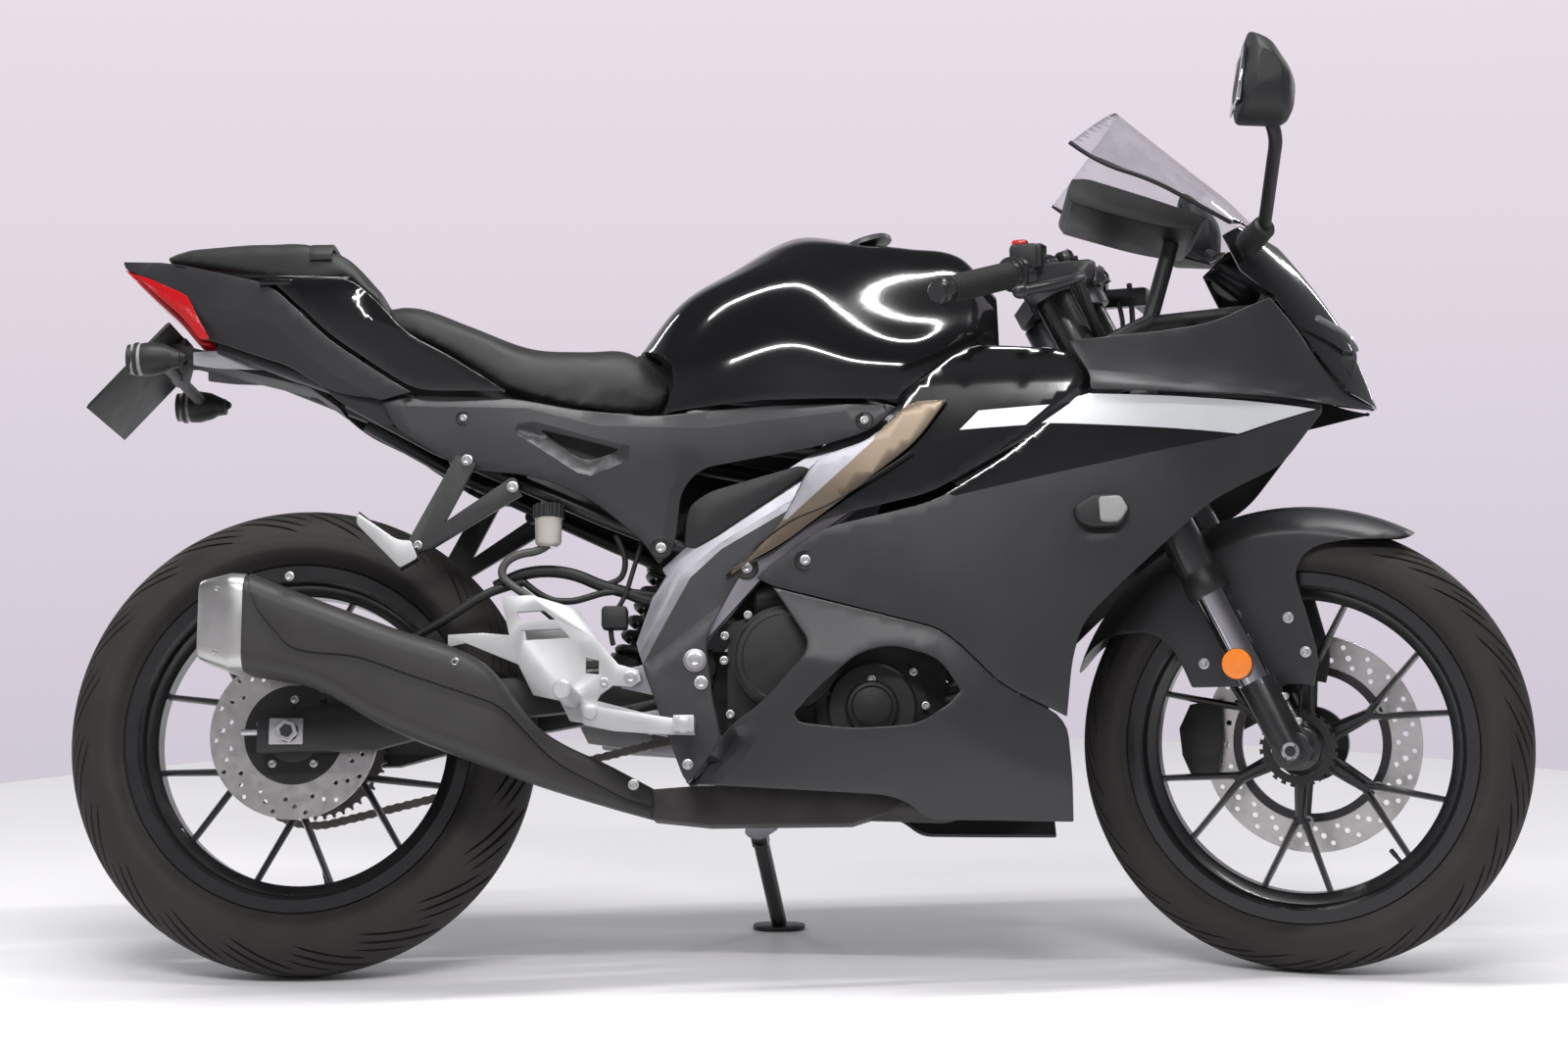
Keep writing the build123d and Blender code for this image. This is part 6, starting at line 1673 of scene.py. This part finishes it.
# ---------------------------------------------------------------- side panels
# half widths at the stations, one row for each height
COVER_X = (60, 200, 330, 470, 620, 820)
COVER_ROWS = ((500, (104, 114, 128, 134, 136, 136)), (600, (104, 114, 130, 138, 142, 144)),
    (680, (106, 116, 130, 142, 150, 154)), (770, (104, 114, 124, 138, 150, 156)))
COVER_SHAPE = [(109.5, 746.5), (154, 756), (281, 749), (320, 741), (371, 730), (468, 718), (616, 729),
    (769, 730), (788, 723), (755, 692), (688, 673), (531, 646), (507, 618), (499, 545), (478, 522),
    (455, 555), (388, 610), (320, 640), (217, 654), (130, 710)]
COVER_TOP = [(303, 733), (397, 706), (535, 699), (727, 719)]
COVER_HOLE = [(322, 703), (424, 674), (381, 659)]
RECESS = [(288, 712), (312, 715), (396, 689), (456, 674), (430, 655), (389, 639), (371, 644), (288, 700)]
FACET_SHAPE = [(511, 547), (514, 587), (520, 601), (543, 617), (661, 650), (678, 644), (551, 559),
    (524, 544)]
FAIRING_X = (500, 620, 760, 900, 1040, 1180, 1300, 1445)
FAIRING_ROWS = ((165, (132, 124, 116, 116, 102, 88, 76, 60)), (250, (138, 144, 150, 156, 142, 116, 96, 70)),
    (350, (138, 152, 170, 182, 174, 146, 118, 84)), (480, (138, 154, 176, 194, 194, 170, 136, 92)),
    (600, (138, 152, 174, 194, 200, 184, 148, 84)), (690, (136, 150, 168, 190, 197, 180, 134, 46)),
    (760, (134, 146, 162, 184, 190, 168, 116, 18)))
SEAM = [(605, 500), (626, 489), (837, 429), (866, 406), (915, 356), (998, 316)]
FAIRING_SHAPE = [SEAM[0], (618, 512), (687, 562), (766, 578), (833, 592), (921, 646), (1019, 727),
    (1034, 731), (1184, 729), (1350, 736), (1350, 726), (1285, 643), (1188, 591), (1124, 534), (1066, 481),
    (1020, 436), (1005, 388)] + SEAM[:0:-1]
LOWER_SHAPE = [(x, z - 1.5) for x, z in SEAM[1:]] + [(1004, 239), (1006, 186), (822, 189), (797, 210),
    (768, 220), (592, 231), (517, 236), (571, 309), (613, 338), (668, 400), (670, 417)]
LENS = [(653, 323), (681, 353), (736, 399), (778, 408), (837, 390), (863, 348), (848, 331), (810, 306),
    (726, 302), (659, 311)]
INNER_SHAPE = [(799, 744), (881, 803), (1006, 794), (1030, 760), (1028, 748), (921, 661), (833, 607),
    (766, 593), (687, 577), (620, 530), (596, 523), (640, 578), (679, 657), (754, 681), (792, 716)]
FIN_SHAPE = [(804, 729), (853, 728), (812, 673), (723, 606), (639, 545), (562, 505), (590, 523), (639, 577),
    (679, 656), (754, 679)]
GLOSS_LINE = [(680, 560.5), (690, 563), (860, 598), (1060, 640), (1232, 680), (1345, 728.5), (1352, 731)]
GLOSS_REGION = GLOSS_LINE + [(1400, 760), (1000, 780), (800, 660), (600, 600)]
STRIPE = [(1006, 714), (1019, 725.5), (1034, 729.5), (1184, 727.4), (1340, 727.5), (1228, 681), (972, 691)]
STRIPE_BACK = [(893, 713), (984, 718.5), (953, 692), (868, 688)]
FIN_FOLD = [(600, 538), (641, 574), (697, 592), (752, 625), (806, 660), (830, 690)]
COWL_LOW = [(514, 232), (563, 292), (618, 313), (589, 266), (544, 226)]
COWL_TOP = [*SEAM[:5], (1010, 300), (1010, 180), (500, 180), (560, 300)]


class MOTORCYCLE_OT_side_panels(bpy.types.Operator):
    """Side covers, fairings, inner panels, frame fins and the blank stripe"""
    bl_idname = "motorcycle.side_panels"
    bl_label = "Side panels"

    def execute(self, context):
        sizes = context.scene.motorcycle_sizes
        cover = surface(COVER_X, COVER_ROWS)
        fairing = surface(FAIRING_X, FAIRING_ROWS)
        inner = surface(FAIRING_X, [(z, [w - 14 for w in row]) for z, row in FAIRING_ROWS])
        fin = surface(FAIRING_X, [(z, [w - 6 for w in row]) for z, row in FAIRING_ROWS])
        for which, side in SIDES:
            panel(f"side_cover_skin_{which}", COVER_SHAPE, cover, side, "panel_grey", f"side_cover_{which}",
                holes=[COVER_HOLE], edge=2.2, press=[(RECESS, -9.0, 13.0, [*RECESS, RECESS[0]]),
                ([(60, 760), *COVER_TOP, (800, 732), (800, 760), (300, 800)], -5.0, 16.0,
                [(109, 742), *COVER_TOP]), ([(491, 500), (483, 537), (491, 611), (520, 660), (600, 600),
                (520, 500)], -4.0, 12.0, [(478, 520), (484, 560), (491, 611), (505, 640)])])
            panel(f"cover_facet_{which}", FACET_SHAPE, lambda x, z: cover(x, z) - 7, side, "plastic_black",
                edge=1.6, press=[(FACET_SHAPE, 5.0, 14.0)])
            panel(f"fairing_skin_{which}", FAIRING_SHAPE, fairing, side, "panel_grey",
                f"side_fairing_{which}", folds=[[p for p in GLOSS_LINE if inside(p, FAIRING_SHAPE)]],
                also=[("panel_black", GLOSS_REGION)], edge=1.5,
                press=[([(1010, 560), (1046, 596), (1082, 572), (1060, 540), (1020, 540)], -4.0, 12)])
            panel(f"lower_cowl_skin_{which}", LOWER_SHAPE, fairing, side, "panel_grey",
                f"lower_cowl_{which}", holes=[LENS], edge=2.2, press=[(COWL_TOP, 20.0, 80.0, SEAM),
                (COWL_LOW, -16.0, 25.0, [(544, 226), (589, 266), (618, 313)])])
            panel(f"inner_skin_{which}", INNER_SHAPE, inner, side, "panel_black", f"inner_panel_{which}",
                edge=1.3)
            panel(f"fin_skin_{which}", FIN_SHAPE, fin, side, "fin_bronze", f"frame_fin_{which}", edge=1.8,
                folds=[FIN_FOLD, [(757, 677), (645, 577)]],
                also=[("frame_silver", [(764, 690), (757, 677), (645, 577), (630, 585), (650, 690)])])
            # Thin near-black line along the fin's fold: painted shade of the crease.
            settle(hose(f"fin_fold_shade_{which}", [(x, side * (fin(x, z) + 0.2), z) for x, z in FIN_FOLD[:-1]],
                1.3, 8), "painted_shade_black")
            for name, outline, base in (("stripe", STRIPE, fairing), ("stripe_back", STRIPE_BACK, inner)):
                panel(f"{name}_{which}", outline, base, side, "stripe_silver", lift=0.5, wall=0.4, edge=0.0,
                    soft=False)
            self.indicator(which, side, fairing)
        heads, cups = [], []
        for side in (-1, 1):
            for x, z, radius, width in ((746, 706, sizes.bolt, cover), (481, 543, 8.5, cover),
                    (592, 517, 9, lambda x, z: 130), (668, 521, 8.5, fairing), (663, 257, 8, fairing),
                    (219, 722, 6, cover)):
                y = side * (width(x, z) - 0.6)
                heads.append(bolt(x, y + side * 0.8, z, side, radius * 0.8))
                cups.append(turned("cup", (x, y - side * 3, z), (x, y + side * 9, z),
                    [(0, 0), (0, radius * 1.7), (4.1, radius * 1.7), (4.6, radius * 1.55),
                    (3.7, radius * 1.3), (3.7, 0)], 36))
        settle(joined("panel_bolts", heads), "plated_steel")
        # The cups round the panel bolts are near black: painted shade in their recesses.
        settle(joined("bolt_recess_shade", cups), "painted_shade_black")
        return {"FINISHED"}

    def indicator(self, which, side, width):
        """Flush front indicator in its black bezel."""
        x, z = 1046, 572
        settle(edged(prism(f"indicator_bezel_{which}", softened([(1008, 578), (1030, 594), (1068, 596),
            (1082, 576), (1070, 554), (1030, 552), (1012, 562)], tip=6, reach=12), side * (width(x, z) - 8),
            side * (width(x, z) + 14)), 6.0, segments=4), "plastic_black")
        settle(edged(prism(f"front_indicator_{which}", softened([(1040, 590), (1068, 592), (1078, 575),
            (1066, 557), (1042, 558)], tip=5, reach=8), side * (width(x, z) + 6),
            side * (width(x, z) + 21)), 4.5, segments=4), "clear_lens")


# ---------------------------------------------------------------- front cowl, nose, screen, instruments
COWL_X = (990, 1100, 1210, 1300, 1370, 1410, 1442)
COWL_ROWS = ((725, (199, 196, 172, 132, 82, 44, 14)), (770, (186, 176, 150, 108, 58, 28, 8)),
    (830, (178, 164, 137, 99, 46, 18, 4)), (900, (168, 152, 126, 86, 32, 10, 2)))
COWL_SHAPE = [(1012, 804), (1131, 821), (1200, 836), (1286, 882), (1320, 846), (1358, 796), (1390, 764),
    (1436, 746), (1354, 739), (1184, 732), (1036, 734), (1036, 759), (1014, 796)]
# height and its plan line, (x, half width) from the side to the middle
NOSE_LEVELS = ((740, ((1290, 122), (1370, 76), (1425, 28), (1444, 0))),
    (790, ((1285, 112), (1350, 72), (1408, 26), (1428, 0))), (850, ((1270, 106), (1330, 70), (1384, 26),
    (1404, 0))), (900, ((1240, 112), (1300, 76), (1354, 28), (1374, 0))),
    (950, ((1206, 120), (1262, 84), (1316, 32), (1338, 0))), (1010, ((1160, 126), (1216, 90), (1268, 34),
    (1288, 0))))
NOSE_SHAPE = [(1294, 889), (1325, 850), (1362, 799), (1395, 764), (1438, 750), (1460, 750), (1460, 975),
    (1310, 975), (1256, 990), (1226, 966), (1248, 918)]
SCREEN_LEVELS = ((950, ((1244, 116), (1284, 82), (1314, 42), (1326, 0))),
    (1030, ((1128, 138), (1188, 104), (1238, 54), (1258, 0))), (1083, ((1018, 142), (1102, 106), (1172, 54),
    (1199, 0))), (1180, ((880, 132), (978, 92), (1056, 46), (1090, 0))))
SCREEN_SHAPE = [(1023, 1085), (1058, 1055), (1130, 1034), (1191, 1004), (1238, 985), (1256, 990.8),
    (1310, 975.8), (1345, 975.8), (1310, 1060), (1120, 1180), (1103, 1172)]


class MOTORCYCLE_OT_front(bpy.types.Operator):
    """Front cowl, nose with its lamps, windscreen and instruments"""
    bl_idname = "motorcycle.front"
    bl_label = "Front"

    def execute(self, context):
        cowl = surface(COWL_X, COWL_ROWS)
        for which, side in SIDES:
            panel(f"cowl_skin_{which}", COWL_SHAPE, cowl, side, "panel_grey", f"front_cowl_{which}",
                edge=1.8, press=[([(1000, 766), (1169, 755), (1319, 742), (1440, 738), (1440, 720),
                (1000, 720)], 5.0, 13.0, [(1010, 765), (1169, 755), (1319, 742), (1400, 739)])])
        settle(edged(trimmed(level_skin("nose_skin", NOSE_LEVELS, 4.0), NOSE_SHAPE), 1.6, angle=45),
            "panel_black", "nose_panel")
        settle(edged(trimmed(level_skin("screen_skin", SCREEN_LEVELS, 3.0, 30, 49), SCREEN_SHAPE), 0.8,
            angle=50), "smoke_glass", "windscreen")
        for which, side in SIDES:
            settle(hose(f"screen_rim_{which}", [(1022, side * 141, 1085), (1058, side * 141, 1056),
                (1130, side * 137, 1034), (1191, side * 120, 1004), (1238, side * 98, 985)], 3.0, 12),
                "plastic_black")
        self.lamps()
        self.instruments()
        return {"FINISHED"}

    def lamps(self):
        """Round projector low in the nose and two slim position lamps."""
        settle(turned("projector_shell", (1350, 0, 812), (1432, 0, 790), [(0, 0), (0, 34), (40, 36),
            (58, 33), (60, 29), (40, 27), (38, 0)], 56), "plastic_black")
        settle(turned("projector_lens", (1386, 0, 802), (1432, 0, 790), [(0, 27), (8, 26), (16, 20),
            (21, 10), (22, 0)], 48), "lamp_light")
        for which, side in SIDES:
            settle(hose(f"position_lamp_{which}", [(1352, side * 76, 858), (1382, side * 52, 850),
                (1406, side * 30, 838), (1412, side * 22, 826)], 4.5, 10), "lamp_dim")

    def instruments(self):
        dressed("dash_and_stay", "plastic_black", 1.4)
        # Shell round the instruments: a black part, painted near black as the shade under the screen.
        settle(edged(prism("dash_shell", softened([(1030, 1055), (1022, 1036), (1030, 1022), (1126, 993),
            (1192, 980), (1210, 1000), (1134, 1028), (1050, 1056)], tip=3), -74, 74), 5.0, segments=3),
            "painted_shade_black")
        turn = Matrix.Rotation(radians(-68), 3, "Y")
        settle(rounded_box("dash_glass", (1034, 0, 1042), (28, 128, 4), 1.5, turn), "screen_dark")


# ---------------------------------------------------------------- mirrors
MIRROR_SHAPE = ((1233, 1164), (1259, 1152), (1290, 1099), (1286, 1062), (1278, 1045), (1215, 1048),
    (1211, 1080), (1223, 1137))
# distance from the middle and size of the outline there
MIRROR_PLACES = ((276, 0.40), (284, 0.72), (298, 0.93), (318, 1.0), (338, 1.0), (356, 0.86), (368, 0.70),
    (377, 0.4))


class MOTORCYCLE_OT_mirrors(bpy.types.Operator):
    """Mirrors with their stems and glass"""
    bl_idname = "motorcycle.mirrors"
    bl_label = "Mirrors"

    def execute(self, context):
        outline = softened(MIRROR_SHAPE, sharp=80, reach=22, tip=8)
        middle = Vector((1250, 1102))
        for which, side in SIDES:
            rings = []
            for y, scale in MIRROR_PLACES:
                rings.append([(middle.x + scale * (x - middle.x), side * y,
                    middle.y + scale * (z - middle.y)) for x, z in outline])
            head = edged(loft("mirror_head", rings), 3.0, angle=40, segments=3)
            stem = hose("mirror_stem", [(1250, side * 300, 1080), (1272, side * 296, 1050),
                (1274, side * 230, 1018), (1276, side * 160, 982), (1276, side * 134, 966)], 9.0, 16)
            joint = turned("mirror_joint", (1278, side * 142, 968), (1250, side * 92, 946),
                [(0, 0), (0, 13), (4, 16), (40, 18), (50, 15), (56, 0)], 32)
            settle(joined(f"mirror_skin_{which}", [head, stem, joint]), "plastic_black", f"mirror_{which}")
            turn = Matrix.Rotation(radians(9), 3, "Y")
            settle(rounded_box(f"mirror_glass_{which}", (1219, side * 327, 1100), (4, 70, 74), 1.8, turn),
                "mirror_glass")
        return {"FINISHED"}


# ---------------------------------------------------------------- foot controls
class MOTORCYCLE_OT_foot_controls(bpy.types.Operator):
    """Rider brackets, passenger brackets, pegs, pedal and brake reservoir"""
    bl_idname = "motorcycle.foot_controls"
    bl_label = "Foot controls"

    def execute(self, context):
        heads = []
        for which, side in SIDES:
            dressed(f"peg_bracket_{which}", "alloy_bright", 2.0)
            dressed(f"passenger_peg_{which}", "cast_black", 2.0)
            settle(turned(f"rider_peg_{which}", (368, side * 139, 346), (361, side * 216, 350.5),
                [(0, 0), (0, 11), (4, 12.5), (6, 10.5), (12, 10.5)] + [(12 + k * 5 + d, r)
                for k in range(11) for d, r in ((0.5, 12.6), (3.2, 12.6), (3.8, 11.2))] + [(70, 12.6),
                (75, 12), (77, 9), (77, 0)], 28), "alloy_bright")
            settle(turned(f"lever_tip_{which}", (513, side * 150, 309), (513, side * 184, 309),
                [(0, 0), (0, 9.5)] + [(2 + k * 5 + d, r) for k in range(6) for d,
                r in ((0, 10.8), (3, 10.8), (3.6, 9.6))] + [(33, 10.4), (34, 8.5), (34, 0)], 28),
                "alloy_bright")
            settle(edged(prism(f"passenger_foot_{which}", softened([(90, 588), (88, 574), (146, 515),
                (169, 528), (160, 551), (142, 552)], tip=4), side * 141, side * 161), 3.0, segments=3),
                "alloy_bright")
            heads += bolts(side * 138.8, side, ((443, 374, 9), (465, 318, 8), (409, 368, 6)))
            heads += bolts(side * 141.8, side, ((228, 660, 7.5), (288, 624, 7.5), (166, 548, 6)))
        settle(joined("bracket_bolts", heads), "plated_steel")
        settle(turned("reservoir_cup", (333, -118, 548), (333, -118, 600), [(0, 0), (0, 11), (3, 15.5),
            (6, 17), (36, 17.6), (38, 18.4), (38, 0)], 40), "milky_plastic", "brake_reservoir")
        ribs = [on_circle((333, 0), 20.6 if k % 4 < 2 else 19.4, 2 * pi * k / 72) for k in range(72)]
        count = len(ribs)
        points = [(x, -118 + y, z) for z in (586, 604) for x, y in ribs]
        faces = [tuple(range(count))[::-1], tuple(range(count, 2 * count))] + prism_faces(count)[2:]
        lid = outward(from_points("reservoir_lid", points, faces))
        settle(smooth(bevelled(lid, 1.0), 20), "plastic_black")
        settle(hose("reservoir_stay", [(333, -118, 594), (340, -106, 606), (346, -98, 616)], 5.5),
            "tube_black")
        return {"FINISHED"}


# ---------------------------------------------------------------- panel and run
STEPS = (MOTORCYCLE_OT_stage, MOTORCYCLE_OT_tyres, MOTORCYCLE_OT_rims, MOTORCYCLE_OT_brakes,
    MOTORCYCLE_OT_chain, MOTORCYCLE_OT_fork, MOTORCYCLE_OT_handlebars, MOTORCYCLE_OT_frame,
    MOTORCYCLE_OT_engine, MOTORCYCLE_OT_exhaust, MOTORCYCLE_OT_tank, MOTORCYCLE_OT_seats,
    MOTORCYCLE_OT_tail, MOTORCYCLE_OT_side_panels, MOTORCYCLE_OT_front, MOTORCYCLE_OT_mirrors,
    MOTORCYCLE_OT_foot_controls)


class MOTORCYCLE_PT_sidebar(bpy.types.Panel):
    """Buttons that build the motorcycle piece by piece, and its settings"""
    bl_idname = "MOTORCYCLE_PT_sidebar"
    bl_label = "Sport motorcycle"
    bl_space_type = "VIEW_3D"
    bl_region_type = "UI"
    bl_category = "Motorcycle"

    def draw(self, context):
        column = self.layout.column(align=True)
        for step in STEPS:
            column.operator(step.bl_idname)
        for group in ("motorcycle_paint", "motorcycle_sizes", "motorcycle_stage"):
            box = self.layout.box()
            settings = getattr(context.scene, group)
            for name in settings.__annotations__:
                box.prop(settings, name)


GROUPS = (("motorcycle_paint", MotorcyclePaint), ("motorcycle_sizes", MotorcycleSizes), ("motorcycle_stage",
    MotorcycleStage))


def register():
    for name, group in GROUPS:
        bpy.utils.register_class(group)
        setattr(bpy.types.Scene, name, PointerProperty(type=group))
    for item in (*STEPS, MOTORCYCLE_PT_sidebar):
        bpy.utils.register_class(item)


def unregister():
    for item in (MOTORCYCLE_PT_sidebar, *STEPS[::-1]):
        bpy.utils.unregister_class(item)
    for name, group in GROUPS[::-1]:
        delattr(bpy.types.Scene, name)
        bpy.utils.unregister_class(group)


def main():
    register()
    make_finishes()
    for step in STEPS:
        area, name = step.bl_idname.split(".")
        getattr(getattr(bpy.ops, area), name)()


if __name__ == "__main__":
    main()
